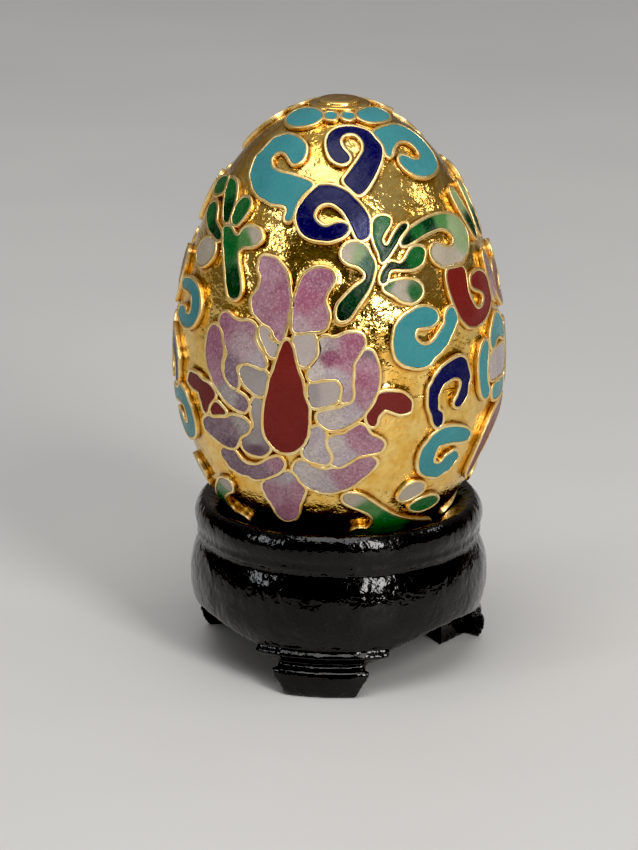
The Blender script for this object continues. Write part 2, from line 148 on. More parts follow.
        ("scroll", "red", [[44.96,24.15],[49.2,24.2],[51.66,24.21],[53.11,24.47],[53.22,25.45],[52.79,26.24],[52.73,26.83],[53.18,27.42],[54.48,28.34],[54.99,28.6],[56.64,29.08],[57.88,29.21],[59.82,29.13],[62.27,28.61],[62.99,27.97],[61.54,27.33],[56.99,26.69],[55.92,26.32],[56.53,25.67],[58.02,25.44],[61.8,25.31],[64.43,25.54],[65.65,25.71],[67.09,26.12],[67.98,26.64],[68.34,27.63],[68.52,28.22],[68.42,28.62],[67.93,28.88],[65.93,29.42],[65.13,29.6],[62.9,30.05],[60.79,30.33],[58.58,30.51],[55.68,30.65],[54.05,30.63],[51.2,30.42],[50.05,30.22],[47.16,29.27],[45.59,28.26],[44.25,27.22],[43.51,26.23],[43.39,25.63],[43.37,24.93],[43.74,24.45],[44.35,24.23]]),
    ],
    "leaf_edge_red": [
        ("leaf", "red", [[78.8,40.33],[81.6,40.49],[82.96,41.24],[81.62,41.88],[78.51,42.4],[76.69,42.63],[74.93,42.9],[73.57,43.18],[71.13,43.86],[70.02,44.23],[68.7,44.7],[67.65,45.09],[66.26,45.68],[65.41,46.12],[64.47,46.67],[63.64,47.24],[62.26,48.07],[61.25,48.34],[60.35,48.11],[59.89,47.54],[60.11,46.44],[61.25,45.16],[62.31,44.3],[63.63,43.48],[64.88,42.88],[65.9,42.47],[67.75,41.9],[70.39,41.3],[71.23,41.15],[74.45,40.68],[75.36,40.58],[77.21,40.4]]),
    ],
    "leaf_edge_mauve": [
        ("leaf", "pink", [[72.0,23.96],[72.68,23.96],[73.78,24.44],[74.03,24.93],[74.16,25.43],[74.26,25.83],[74.5,26.53],[74.6,26.93],[74.6,27.33],[74.5,27.73],[74.09,28.32],[73.62,28.7],[72.83,29.01],[72.55,29.04],[71.45,28.75],[70.86,28.07],[70.58,27.47],[70.46,27.07],[70.4,26.67],[70.33,26.17],[70.25,25.67],[70.24,25.26],[70.33,24.66],[70.75,24.28]]),
    ],
    "sprig_low": [
        ("stem", "green", [[3.2,47.71],[8.17,48.07],[10.29,48.54],[13.15,49.23],[16.35,50.0],[19.7,50.76],[20.55,50.95],[22.62,51.39],[23.91,51.62],[26.64,52.05],[29.16,52.39],[33.4,52.89],[35.39,53.11],[38.7,53.43],[43.47,53.84],[45.26,53.98],[50.3,54.4],[52.87,54.79],[54.99,55.38],[52.48,55.66],[47.96,55.5],[45.47,55.4],[42.03,55.26],[39.6,55.15],[35.79,54.97],[29.7,54.76],[25.02,54.73],[20.39,54.77],[16.76,55.32],[11.48,55.39],[8.42,55.04],[7.13,54.69],[6.31,54.08],[7.12,53.61],[9.64,53.45],[13.37,53.57],[15.71,52.71],[15.89,52.41],[15.29,51.65],[14.46,51.22],[12.86,50.71],[10.86,50.3],[6.33,49.56],[2.89,48.95],[1.72,48.4],[1.94,47.92]]),
        ("leaf_white", "white", [[29.03,47.08],[30.46,47.07],[33.03,47.4],[34.15,48.12],[33.15,48.51],[31.63,48.79],[28.97,49.16],[26.01,49.24],[24.44,48.99],[24.26,48.91],[24.09,48.62],[25.17,47.76],[26.7,47.33]]),
        ("leaf_green", "green", [[38.44,49.5],[40.34,49.53],[43.51,49.95],[45.32,50.62],[43.81,51.12],[41.68,51.34],[38.1,51.44],[36.47,51.41],[33.39,51.13],[32.37,50.96],[30.85,50.41],[33.02,49.89],[35.47,49.63]]),
    ],
    "rosette_a": [
        ("petal", "turq", [[-51.24,3.94],[-42.44,3.96],[-31.23,4.27],[-27.5,4.49],[-25.4,4.68],[-23.44,5.45],[-28.13,6.2],[-34.97,6.69],[-44.58,6.98],[-49.75,7.01],[-58.49,6.8],[-61.97,6.61],[-66.03,6.25],[-69.34,5.79],[-70.5,4.94],[-64.45,4.35],[-60.38,4.15]]),
    ],
    "rosette_b": [
        ("petal", "turq", [[44.09,3.89],[54.6,3.9],[66.89,4.26],[71.59,4.92],[69.46,5.61],[68.72,5.7],[63.17,6.08],[58.19,6.2],[51.4,6.28],[46.6,6.25],[39.79,6.15],[34.8,6.04],[28.01,5.64],[25.08,5.16],[25.3,4.7],[32.02,4.13],[39.68,3.93]]),
    ],
    "cobalt_left": [
        ("scroll", "cobalt", [[-86.61,33.13],[-83.14,33.28],[-80.98,33.47],[-79.5,33.66],[-78.35,33.83],[-77.54,33.99],[-76.44,34.35],[-75.21,34.66],[-74.42,35.2],[-73.16,35.63],[-72.98,35.92],[-72.91,36.82],[-72.95,37.52],[-73.51,38.08],[-74.64,38.22],[-75.78,38.19],[-76.2,37.63],[-76.1,37.23],[-76.21,36.54],[-77.31,36.07],[-78.62,35.51],[-80.35,35.27],[-82.48,35.06],[-84.07,35.05],[-85.57,35.2],[-86.87,35.62],[-86.78,36.4],[-85.95,36.94],[-85.39,37.29],[-83.92,38.02],[-86.29,38.37],[-88.04,37.96],[-89.54,37.32],[-89.91,36.64],[-90.56,35.88],[-90.52,35.48],[-90.52,34.88],[-89.87,34.21],[-89.22,33.65]]),
    ],
    "rosette_c": [
        ("drop_a", "turq", [[-15.33,4.15],[-11.3,4.14],[-7.44,4.26],[-6.67,4.31],[-4.82,4.78],[-9.09,5.26],[-14.59,5.21],[-15.32,5.17],[-17.13,4.98],[-18.63,4.62],[-18.21,4.29]]),
        ("drop_b", "turq", [[9.0,4.15],[16.14,4.3],[18.18,4.79],[16.23,5.14],[13.17,5.3],[10.77,5.33],[7.41,5.16],[4.41,4.67],[6.22,4.26]]),
    ],
    "sprig_low_left": [
        ("stem", "green", [[-50.67,48.01],[-47.99,48.24],[-48.43,49.04],[-50.35,49.55],[-54.07,50.09],[-55.56,50.35],[-59.04,51.03],[-60.42,51.47],[-61.59,52.07],[-61.97,52.84],[-61.67,53.14],[-59.35,53.89],[-55.99,53.76],[-53.41,53.87],[-52.43,54.33],[-52.7,54.7],[-55.41,55.49],[-60.33,55.74],[-62.32,55.66],[-64.14,55.47],[-66.93,55.03],[-71.65,55.04],[-76.88,55.08],[-79.74,55.17],[-83.56,55.34],[-86.48,55.49],[-93.48,55.77],[-97.08,55.94],[-98.6,55.96],[-101.07,55.67],[-98.08,54.93],[-96.77,54.74],[-91.67,54.3],[-88.05,54.02],[-84.56,53.71],[-82.45,53.51],[-76.84,52.9],[-74.59,52.61],[-70.71,52.04],[-67.84,51.51],[-64.93,50.87],[-62.7,50.36],[-61.33,50.05],[-59.75,49.66],[-57.66,49.15],[-54.23,48.36]]),
        ("leaf_white", "white", [[-76.97,47.38],[-74.82,47.39],[-72.84,47.63],[-72.0,47.82],[-70.94,48.23],[-70.3,48.7],[-70.3,49.19],[-72.77,49.56],[-76.39,49.31],[-77.37,49.16],[-79.19,48.82],[-80.14,48.54],[-80.19,48.24],[-78.9,47.64]]),
        ("leaf_green", "green", [[-85.75,49.8],[-83.48,49.83],[-80.56,50.02],[-79.17,50.18],[-77.87,50.39],[-76.96,50.69],[-77.26,50.96],[-79.42,51.41],[-82.5,51.71],[-84.13,51.74],[-85.76,51.72],[-88.47,51.59],[-91.0,51.19],[-91.41,50.84],[-90.86,50.57],[-88.36,50.02]]),
    ],
    "scroll_red_left": [
        ("scroll", "red", [[-87.67,24.38],[-85.55,24.37],[-82.94,24.57],[-82.45,24.82],[-82.18,25.61],[-82.22,26.01],[-82.56,26.81],[-83.52,27.88],[-84.02,28.26],[-84.93,28.91],[-86.0,29.53],[-87.05,29.92],[-88.07,30.17],[-89.25,30.35],[-91.46,30.52],[-93.09,30.49],[-94.7,30.41],[-96.27,30.28],[-98.66,29.94],[-100.53,29.52],[-102.05,29.13],[-102.93,28.82],[-103.36,28.35],[-103.26,27.95],[-103.02,26.96],[-102.19,26.32],[-100.52,25.85],[-97.98,25.56],[-96.61,25.55],[-93.38,25.85],[-92.9,26.59],[-93.86,26.85],[-95.66,27.13],[-97.41,27.42],[-98.69,28.08],[-97.84,28.71],[-96.52,29.01],[-94.0,29.15],[-92.07,28.63],[-90.8,27.82],[-90.11,27.05],[-90.08,26.65],[-90.41,25.85],[-90.69,25.16],[-90.43,24.78],[-89.35,24.53]]),
    ],
    "flower": [
        ("petal_side_a", "turq", [[59.77,32.69],[60.67,32.73],[61.22,32.96],[61.45,33.45],[61.39,33.75],[60.83,34.74],[60.43,35.22],[60.24,35.51],[59.95,36.41],[60.31,37.1],[61.02,37.65],[62.08,38.27],[62.02,38.65],[61.3,38.83],[59.75,38.89],[57.87,38.55],[56.59,37.87],[55.74,37.01],[55.34,36.32],[55.25,36.02],[55.23,35.22],[55.43,34.62],[55.68,34.23],[56.65,33.5],[57.69,33.12]]),
        ("petal_top", "turq", [[71.18,30.61],[73.67,30.78],[75.55,31.17],[77.02,31.56],[78.29,32.01],[79.02,32.56],[79.11,33.16],[78.58,33.52],[78.34,33.58],[77.44,33.61],[75.94,33.44],[73.29,33.08],[72.03,33.01],[69.83,33.12],[68.12,33.4],[66.77,33.67],[65.58,33.8],[65.28,33.78],[64.61,33.58],[64.19,33.1],[64.34,32.61],[64.78,32.23],[65.55,31.92],[66.93,31.5],[68.39,31.1]]),
        ("petal_low", "turq", [[67.44,38.01],[69.02,38.01],[71.2,38.17],[72.46,38.15],[75.27,37.99],[77.61,38.25],[78.1,38.5],[77.65,39.16],[75.96,39.6],[73.48,39.78],[70.92,39.79],[69.96,39.78],[67.75,39.67],[65.92,39.3],[65.32,38.74],[65.6,38.36]]),
        ("centre", "white", [[70.6,34.2],[72.53,34.19],[74.44,34.25],[75.7,34.32],[78.75,34.61],[80.76,35.09],[81.26,35.45],[81.35,36.25],[80.76,36.82],[79.29,37.18],[75.83,37.34],[72.65,37.39],[68.81,37.37],[66.9,37.32],[64.38,37.2],[63.02,36.95],[62.24,36.52],[61.89,36.04],[61.98,35.44],[62.61,34.98],[63.75,34.64],[67.11,34.34]]),
        ("petal_side_b", "turq", [[82.93,32.69],[83.85,32.73],[85.17,33.0],[86.44,33.44],[87.17,33.88],[87.65,34.36],[87.86,34.85],[87.51,35.44],[87.87,36.22],[87.68,36.72],[87.17,37.41],[86.49,37.97],[85.33,38.56],[84.05,38.84],[82.48,38.88],[81.17,38.64],[81.1,38.35],[82.22,37.64],[82.65,37.37],[83.09,36.89],[83.26,36.19],[83.12,35.79],[82.61,35.01],[82.22,34.52],[81.77,33.53],[81.92,33.03],[82.64,32.72]]),
    ],
    "foot_rosette_a": [
        ("petal", "turq", [[-79.4,60.8],[-71.9,60.93],[-65.25,61.36],[-60.03,61.97],[-59.17,62.56],[-60.49,63.09],[-66.31,63.91],[-75.28,64.36],[-82.89,64.31],[-88.04,64.07],[-93.89,63.44],[-97.18,62.51],[-96.71,62.12],[-94.17,61.67],[-86.13,61.02]]),
    ],
    "foot_rosette_b": [
        ("petal", "turq", [[-19.4,60.8],[-11.9,60.93],[-5.25,61.36],[-0.03,61.97],[0.83,62.56],[-0.49,63.09],[-6.31,63.91],[-15.28,64.36],[-22.89,64.31],[-28.04,64.07],[-33.89,63.44],[-37.18,62.51],[-36.71,62.12],[-34.17,61.67],[-26.13,61.02]]),
    ],
    "foot_rosette_c": [
        ("petal", "turq", [[40.6,60.8],[48.1,60.93],[54.75,61.36],[59.97,61.97],[60.83,62.56],[59.51,63.09],[53.69,63.91],[44.72,64.36],[37.11,64.31],[31.96,64.07],[26.11,63.44],[22.82,62.51],[23.29,62.12],[25.83,61.67],[33.87,61.02]]),
    ],
}
WIRES = {
    "lotus": [
        (1, [[-18.59,30.277],[-19.2,30.395],[-19.71,30.549],[-20.13,30.725],[-20.44,30.923],[-20.65,31.133],[-20.91,31.338],[-21.19,31.54],[-21.39,31.75],[-21.57,31.963],[-21.73,32.178],[-21.89,32.391],[-22.08,32.603],[-22.31,32.811],[-22.53,33.019],[-22.75,33.228],[-22.89,33.444],[-23.05,33.657],[-23.29,33.864],[-23.55,34.068],[-23.83,34.268],[-24.1,34.471],[-24.33,34.678],[-24.48,34.893],[-24.59,35.11],[-24.69,35.328],[-24.79,35.545],[-24.92,35.761],[-25.09,35.975],[-25.24,36.189],[-25.4,36.404],[-25.59,36.615],[-25.78,36.827],[-25.95,37.04],[-26.07,37.257],[-26.17,37.474],[-26.28,37.692],[-26.39,37.909],[-26.52,38.125],[-26.64,38.342],[-26.73,38.56],[-26.8,38.779],[-26.87,38.998],[-26.88,39.218],[-26.95,39.437],[-26.96,39.656],[-26.97,39.876],[-26.98,40.096],[-26.92,40.315],[-26.82,40.532],[-26.67,40.746],[-26.48,40.957],[-26.24,41.163],[-25.94,41.36],[-25.59,41.55],[-25.2,41.733],[-24.81,41.915],[-24.39,42.093],[-23.91,42.255],[-23.4,42.408],[-22.82,42.536],[-22.21,42.653],[-21.57,42.754],[-20.89,42.825],[-20.18,42.87],[-19.45,42.88],[-18.72,42.88],[-18.0,42.862],[-17.29,42.822],[-16.59,42.762],[-15.93,42.675],[-15.32,42.561],[-14.77,42.421],[-14.24,42.274],[-13.71,42.128],[-13.19,41.982],[-12.69,41.827],[-12.23,41.661],[-11.84,41.479],[-11.55,41.281],[-11.3,41.076],[-11.01,40.878],[-10.75,40.675],[-10.55,40.465],[-10.41,40.25],[-10.32,40.033],[-10.26,39.814],[-10.2,39.596],[-10.1,39.379],[-9.99,39.162],[-9.92,38.943],[-9.93,38.723],[-9.94,38.504],[-9.93,38.284],[-9.89,38.065],[-9.89,37.845],[-9.83,37.626],[-9.9,37.407],[-10.06,37.193],[-10.29,36.985],[-10.56,36.783],[-10.83,36.58],[-11.1,36.377],[-11.35,36.172],[-11.55,35.961],[-11.69,35.746],[-11.76,35.528],[-11.82,35.309],[-11.91,35.091],[-12.03,34.875],[-12.16,34.659],[-12.33,34.446],[-12.54,34.236],[-12.81,34.034],[-13.12,33.837],[-13.41,33.638],[-13.65,33.431],[-13.86,33.222],[-14.05,33.01],[-14.24,32.799],[-14.44,32.589],[-14.68,32.383],[-14.89,32.173],[-15.07,31.96],[-15.2,31.745],[-15.34,31.529],[-15.5,31.315],[-15.7,31.105],[-15.99,30.906],[-16.35,30.715],[-16.77,30.54],[-17.28,30.385],[-17.88,30.27]]),
        (0, [[-19.37,30.332],[-19.17,30.121],[-19.01,29.907],[-18.85,29.693],[-18.69,29.479],[-18.48,29.268],[-18.24,29.06],[-18.0,28.853],[-17.8,28.641],[-17.72,28.423],[-17.74,28.205],[-17.75,27.985],[-17.75,27.765],[-17.73,27.546],[-17.67,27.327],[-17.58,27.109],[-17.46,26.892],[-17.38,26.674],[-17.37,26.454],[-17.37,26.234],[-17.47,26.018],[-17.64,25.804],[-17.84,25.593],[-18.02,25.38],[-18.17,25.164],[-18.29,24.948],[-18.41,24.731],[-18.53,24.515],[-18.68,24.299],[-18.87,24.086],[-19.12,23.879],[-19.42,23.676],[-19.78,23.481],[-20.21,23.295],[-20.67,23.116],[-21.19,22.948],[-21.76,22.793],[-22.37,22.648],[-22.98,22.503],[-23.59,22.356],[-24.2,22.209],[-24.86,22.075],[-25.61,21.981],[-26.41,21.929],[-27.22,21.893],[-28.03,21.863],[-28.85,21.858],[-29.67,21.858],[-30.48,21.867],[-31.24,21.934],[-31.86,22.063],[-32.27,22.241],[-32.47,22.448],[-32.52,22.665],[-32.52,22.884],[-32.58,23.101],[-32.6,23.32],[-32.36,23.532],[-31.93,23.724],[-31.43,23.902],[-30.96,24.084],[-30.67,24.29],[-30.71,24.508],[-30.79,24.724],[-30.83,24.943],[-30.9,25.16],[-31.09,25.369],[-31.4,25.564],[-31.81,25.743],[-32.26,25.912],[-32.69,26.084],[-33.1,26.263],[-33.41,26.457],[-33.52,26.671],[-33.48,26.89],[-33.33,27.107],[-33.08,27.317],[-32.82,27.526],[-32.55,27.735],[-32.22,27.935],[-31.77,28.115],[-31.25,28.274],[-30.68,28.421],[-30.08,28.55],[-29.47,28.678],[-28.88,28.813],[-28.29,28.947],[-27.66,29.061],[-26.99,29.151],[-26.3,29.219],[-25.6,29.281],[-24.97,29.39],[-24.4,29.528],[-23.87,29.68],[-23.53,29.872],[-23.4,30.088],[-23.07,30.281],[-22.51,30.421],[-22.05,30.591],[-21.51,30.733],[-20.82,30.772],[-20.47,30.742]]),
        (0, [[-16.97,26.95],[-16.98,27.17],[-16.99,27.39],[-17.0,27.61],[-16.94,27.828],[-16.94,28.048],[-16.97,28.268],[-17.02,28.487],[-17.03,28.706],[-17.04,28.926],[-16.94,29.143],[-16.67,29.346],[-16.2,29.511],[-15.6,29.627],[-14.9,29.674],[-14.18,29.663],[-13.46,29.635],[-12.74,29.612],[-12.02,29.579],[-11.31,29.53],[-10.6,29.48],[-9.88,29.455],[-9.16,29.471],[-8.44,29.475],[-7.72,29.454],[-7.0,29.414],[-6.3,29.345],[-5.64,29.251],[-5.03,29.121],[-4.51,28.96],[-4.14,28.766],[-3.89,28.557],[-3.68,28.343],[-3.45,28.13],[-3.34,27.913],[-3.3,27.693],[-3.39,27.477],[-3.58,27.268],[-3.83,27.066],[-4.12,26.869],[-4.41,26.672],[-4.69,26.474],[-4.89,26.266],[-4.97,26.05],[-4.85,25.831],[-4.64,25.617],[-4.38,25.405],[-4.05,25.2],[-3.67,25.002],[-3.23,24.812],[-2.76,24.626],[-2.29,24.44],[-1.89,24.244],[-1.61,24.032],[-1.5,23.813],[-1.6,23.599],[-1.85,23.4],[-2.22,23.215],[-2.68,23.049],[-3.21,22.898],[-3.86,22.789],[-4.59,22.715],[-5.35,22.66],[-6.13,22.616],[-6.92,22.595],[-7.72,22.595],[-8.53,22.626],[-9.32,22.682],[-10.09,22.753],[-10.82,22.852],[-11.5,22.98],[-12.17,23.103],[-12.85,23.225],[-13.44,23.379],[-13.94,23.553],[-14.31,23.75],[-14.66,23.95],[-14.94,24.156],[-15.2,24.365],[-15.44,24.575],[-15.65,24.788],[-15.84,25.002],[-16.02,25.217],[-16.21,25.43],[-16.39,25.645],[-16.56,25.86],[-16.73,26.075],[-16.86,26.292],[-16.9,26.401]]),
        (1, [[-43.89,28.433],[-44.56,28.51],[-45.17,28.614],[-45.68,28.76],[-46.07,28.934],[-46.31,29.136],[-46.45,29.348],[-46.44,29.567],[-46.38,29.788],[-46.15,29.999],[-45.74,30.188],[-45.27,30.365],[-44.8,30.541],[-44.35,30.722],[-43.98,30.917],[-43.75,31.129],[-43.64,31.347],[-43.53,31.566],[-43.33,31.78],[-43.01,31.982],[-42.64,32.174],[-42.22,32.358],[-41.81,32.543],[-41.55,32.749],[-41.63,32.965],[-41.88,33.168],[-42.17,33.366],[-42.41,33.571],[-42.55,33.785],[-42.55,34.005],[-42.5,34.225],[-42.55,34.443],[-42.66,34.66],[-42.66,34.879],[-42.48,35.093],[-42.16,35.291],[-41.78,35.476],[-41.34,35.651],[-40.89,35.82],[-40.39,35.977],[-39.85,36.116],[-39.22,36.217],[-38.57,36.298],[-37.89,36.351],[-37.19,36.354],[-36.51,36.31],[-35.97,36.173],[-35.68,35.974],[-35.57,35.757],[-35.58,35.537],[-35.58,35.316],[-35.59,35.096],[-35.71,34.878],[-35.95,34.671],[-36.24,34.468],[-36.54,34.267],[-36.79,34.061],[-36.48,33.875],[-35.92,33.746],[-35.26,33.671],[-34.6,33.602],[-33.93,33.537],[-33.25,33.478],[-32.55,33.455],[-31.85,33.488],[-31.16,33.541],[-30.46,33.574],[-29.76,33.599],[-29.08,33.657],[-28.41,33.725],[-27.71,33.77],[-27.01,33.77],[-26.32,33.721],[-25.69,33.626],[-25.19,33.474],[-24.92,33.273],[-24.97,33.055],[-25.2,32.845],[-25.48,32.642],[-25.76,32.44],[-26.11,32.246],[-26.5,32.061],[-26.99,31.901],[-27.52,31.75],[-28.05,31.599],[-28.44,31.414],[-28.81,31.222],[-29.24,31.043],[-29.65,30.86],[-29.84,30.648],[-29.84,30.429],[-29.79,30.21],[-29.71,29.992],[-29.64,29.773],[-29.65,29.553],[-29.81,29.339],[-30.23,29.156],[-30.83,29.026],[-31.5,28.93],[-32.21,28.866],[-32.93,28.831],[-33.66,28.814],[-34.38,28.834],[-35.08,28.888],[-35.77,28.952],[-36.49,28.984],[-37.21,28.994],[-37.94,28.975],[-38.67,28.941],[-39.38,28.876],[-40.07,28.788],[-40.72,28.677],[-41.38,28.567],[-42.08,28.482],[-42.8,28.421],[-43.53,28.415]]),
        (0, [[-42.99,34.864],[-43.21,34.653],[-43.34,34.436],[-43.37,34.217],[-43.28,33.999],[-43.14,33.784],[-42.99,33.57],[-42.83,33.357],[-42.69,33.142],[-42.6,32.925],[-42.59,32.705],[-42.61,32.485],[-42.75,32.267]]),
        (0, [[-46.08,30.198],[-46.71,30.081],[-47.42,30.013],[-48.14,30.004],[-48.86,30.014],[-49.52,30.089],[-50.1,30.202],[-50.61,30.346],[-51.04,30.512],[-51.4,30.694],[-51.7,30.887],[-51.92,31.091],[-52.06,31.303],[-52.15,31.52],[-52.21,31.738],[-52.26,31.956],[-52.32,32.174],[-52.36,32.393],[-52.38,32.612],[-52.34,32.833],[-52.31,33.053],[-52.25,33.273],[-52.11,33.491],[-51.95,33.707],[-51.76,33.922],[-51.56,34.135],[-51.35,34.348],[-51.12,34.559],[-50.88,34.767],[-50.58,34.968],[-50.22,35.161],[-49.87,35.354],[-49.52,35.546],[-49.14,35.733],[-48.73,35.914],[-48.32,36.094],[-47.89,36.271],[-47.45,36.443],[-47.01,36.613],[-46.54,36.777],[-46.06,36.937],[-45.56,37.093],[-45.07,37.249],[-44.55,37.398],[-44.05,37.549],[-43.53,37.695],[-42.99,37.834],[-42.43,37.965],[-41.85,38.087],[-41.25,38.198],[-40.65,38.305],[-40.02,38.404],[-39.39,38.498],[-38.74,38.579],[-38.08,38.65],[-37.41,38.712],[-36.73,38.763],[-36.03,38.795],[-35.33,38.806],[-34.63,38.824],[-33.93,38.817],[-33.28,38.729],[-32.76,38.58],[-32.3,38.413],[-31.93,38.223],[-31.65,38.022],[-31.48,37.807],[-31.52,37.588],[-31.73,37.38],[-32.13,37.198],[-32.63,37.045],[-33.2,36.918],[-33.81,36.807],[-34.45,36.717],[-35.1,36.637],[-35.77,36.567],[-36.44,36.503],[-37.11,36.439]]),
        (0, [[-27.83,29.08],[-28.41,29.209],[-28.75,29.4],[-28.94,29.611],[-28.96,29.831],[-28.94,30.052],[-28.79,30.268],[-28.54,30.476],[-28.21,30.675],[-27.84,30.867],[-27.45,31.055],[-27.08,31.246],[-26.73,31.44],[-26.38,31.633],[-26.05,31.83],[-25.67,32.019],[-25.22,32.19],[-24.7,32.344],[-24.08,32.453],[-23.4,32.517],[-22.69,32.522],[-22.01,32.467]]),
        (0, [[-22.4,30.63],[-23.06,30.539],[-23.7,30.437],[-24.26,30.3],[-24.42,30.092],[-24.24,29.879],[-24.24,29.658]]),
        (0, [[-15.33,29.715],[-15.86,29.861],[-16.12,30.066],[-16.31,30.277],[-16.45,30.493],[-16.46,30.602]]),
        (0, [[-13.74,32.944],[-13.26,33.101],[-12.64,33.204],[-11.94,33.219],[-11.27,33.161],[-10.68,33.042],[-10.17,32.888],[-9.69,32.726],[-9.24,32.553],[-8.81,32.378],[-8.36,32.205],[-7.96,32.022],[-7.64,31.825],[-7.46,31.612],[-7.39,31.394],[-7.44,31.176],[-7.49,30.958],[-7.57,30.741],[-7.65,30.524],[-7.76,30.309],[-7.94,30.098],[-8.22,29.899],[-8.61,29.72],[-9.1,29.565]]),
        (0, [[-10.11,33.033],[-10.51,33.216],[-10.84,33.411],[-11.08,33.619],[-11.11,33.838],[-11.04,34.055],[-10.78,34.258],[-10.42,34.444],[-9.89,34.587],[-9.24,34.661],[-8.54,34.663],[-7.84,34.624],[-7.16,34.57],[-6.48,34.513],[-5.8,34.467],[-5.1,34.429],[-4.4,34.407],[-3.7,34.39],[-3.0,34.386],[-2.3,34.386],[-1.6,34.388],[-0.95,34.464],[-0.45,34.614],[-0.04,34.791],[0.28,34.985],[0.46,35.196],[0.52,35.414],[0.43,35.631],[0.24,35.843],[0.07,36.057],[-0.01,36.275],[-0.02,36.494],[0.12,36.707],[0.56,36.872],[1.22,36.944],[1.92,36.939],[2.59,36.885],[3.23,36.793],[3.77,36.656],[4.18,36.48],[4.43,36.274],[4.6,36.061],[4.7,35.843],[4.71,35.623],[4.66,35.405],[4.56,35.188],[4.45,34.971],[4.38,34.754],[4.45,34.535],[4.53,34.316],[4.61,34.098],[4.63,33.878],[4.65,33.658],[4.68,33.439],[4.7,33.219],[4.67,33.0],[4.71,32.781],[4.96,32.573],[5.32,32.379],[5.71,32.19],[6.11,32.003],[6.52,31.817],[6.93,31.631],[7.34,31.444],[7.73,31.254],[8.11,31.06],[8.44,30.859],[8.67,30.647],[8.73,30.428],[8.72,30.209],[8.58,29.998],[8.34,29.798],[7.94,29.625],[7.4,29.494],[6.77,29.399],[6.09,29.333],[5.39,29.292],[4.67,29.286],[3.94,29.286],[3.22,29.295],[2.5,29.335],[1.79,29.399],[1.1,29.483],[0.45,29.588],[-0.21,29.688],[-0.9,29.767],[-1.61,29.822],[-2.33,29.846],[-3.04,29.816],[-3.68,29.724],[-4.35,29.656],[-5.07,29.651],[-5.77,29.713],[-6.41,29.821],[-6.96,29.968],[-7.35,30.156],[-7.45,30.262]]),
        (0, [[1.28,37.038],[0.62,37.116],[-0.05,37.18],[-0.72,37.238],[-1.4,37.295],[-2.07,37.352],[-2.75,37.407],[-3.44,37.452],[-4.13,37.488],[-4.82,37.525],[-5.5,37.57],[-6.18,37.629],[-6.81,37.721],[-7.37,37.85],[-7.81,38.018],[-8.04,38.224],[-8.05,38.444],[-7.95,38.661],[-7.68,38.866],[-7.34,39.06],[-6.9,39.232],[-6.39,39.388],[-5.82,39.524],[-5.24,39.654],[-4.65,39.777],[-4.01,39.878],[-3.33,39.937],[-2.62,39.946],[-1.92,39.926],[-1.22,39.893],[-0.54,39.848],[0.14,39.794],[0.8,39.726],[1.45,39.645],[2.09,39.56],[2.71,39.463],[3.33,39.364],[3.94,39.26],[4.52,39.141],[5.09,39.019],[5.66,38.893],[6.21,38.764],[6.76,38.63],[7.27,38.485],[7.76,38.33],[8.21,38.166],[8.6,37.986],[8.99,37.806],[9.44,37.639],[9.86,37.465],[10.22,37.277],[10.57,37.086],[10.88,36.89],[11.22,36.697],[11.54,36.501],[11.85,36.304],[12.17,36.107],[12.49,35.909],[12.74,35.704],[12.95,35.492],[13.12,35.278],[13.25,35.061],[13.33,34.842],[13.41,34.623],[13.49,34.404],[13.52,34.184],[13.55,33.964],[13.52,33.745],[13.51,33.526],[13.45,33.308],[13.35,33.091],[13.21,32.878],[13.02,32.669],[12.8,32.465],[12.57,32.261],[12.33,32.058],[12.09,31.856],[11.79,31.663],[11.42,31.483],[10.94,31.329],[10.37,31.212],[9.73,31.123],[9.03,31.106],[8.33,31.168],[8.01,31.223]]),
        (0, [[-34.84,33.712],[-35.35,33.862],[-35.74,34.041],[-35.89,34.253],[-35.88,34.473]]),
        (0, [[-35.27,35.103],[-34.97,35.303],[-34.62,35.494],[-34.21,35.675],[-33.73,35.836],[-33.22,35.985],[-32.64,36.111],[-32.04,36.227],[-31.44,36.34],[-30.83,36.449],[-30.22,36.555],[-29.59,36.649],[-28.93,36.724],[-28.25,36.777],[-27.55,36.797],[-26.86,36.772],[-26.21,36.69],[-25.93,36.625]]),
        (0, [[-24.2,34.424],[-24.36,34.21],[-24.71,34.021],[-25.24,33.876],[-25.87,33.777],[-26.21,33.744]]),
        (0, [[-9.88,34.669],[-10.46,34.795],[-10.86,34.973],[-11.03,35.186],[-11.04,35.406],[-11.04,35.627],[-10.96,35.846],[-10.86,36.064],[-10.78,36.283]]),
        (0, [[-9.72,37.31],[-9.17,37.445],[-8.5,37.509],[-7.79,37.512],[-7.09,37.509],[-6.4,37.471],[-5.72,37.42]]),
        (0, [[-5.72,37.42],[-5.04,37.362],[-4.37,37.298],[-3.71,37.223],[-3.05,37.147],[-2.41,37.062],[-1.78,36.964],[-1.18,36.848],[-0.65,36.704],[-0.21,36.533]]),
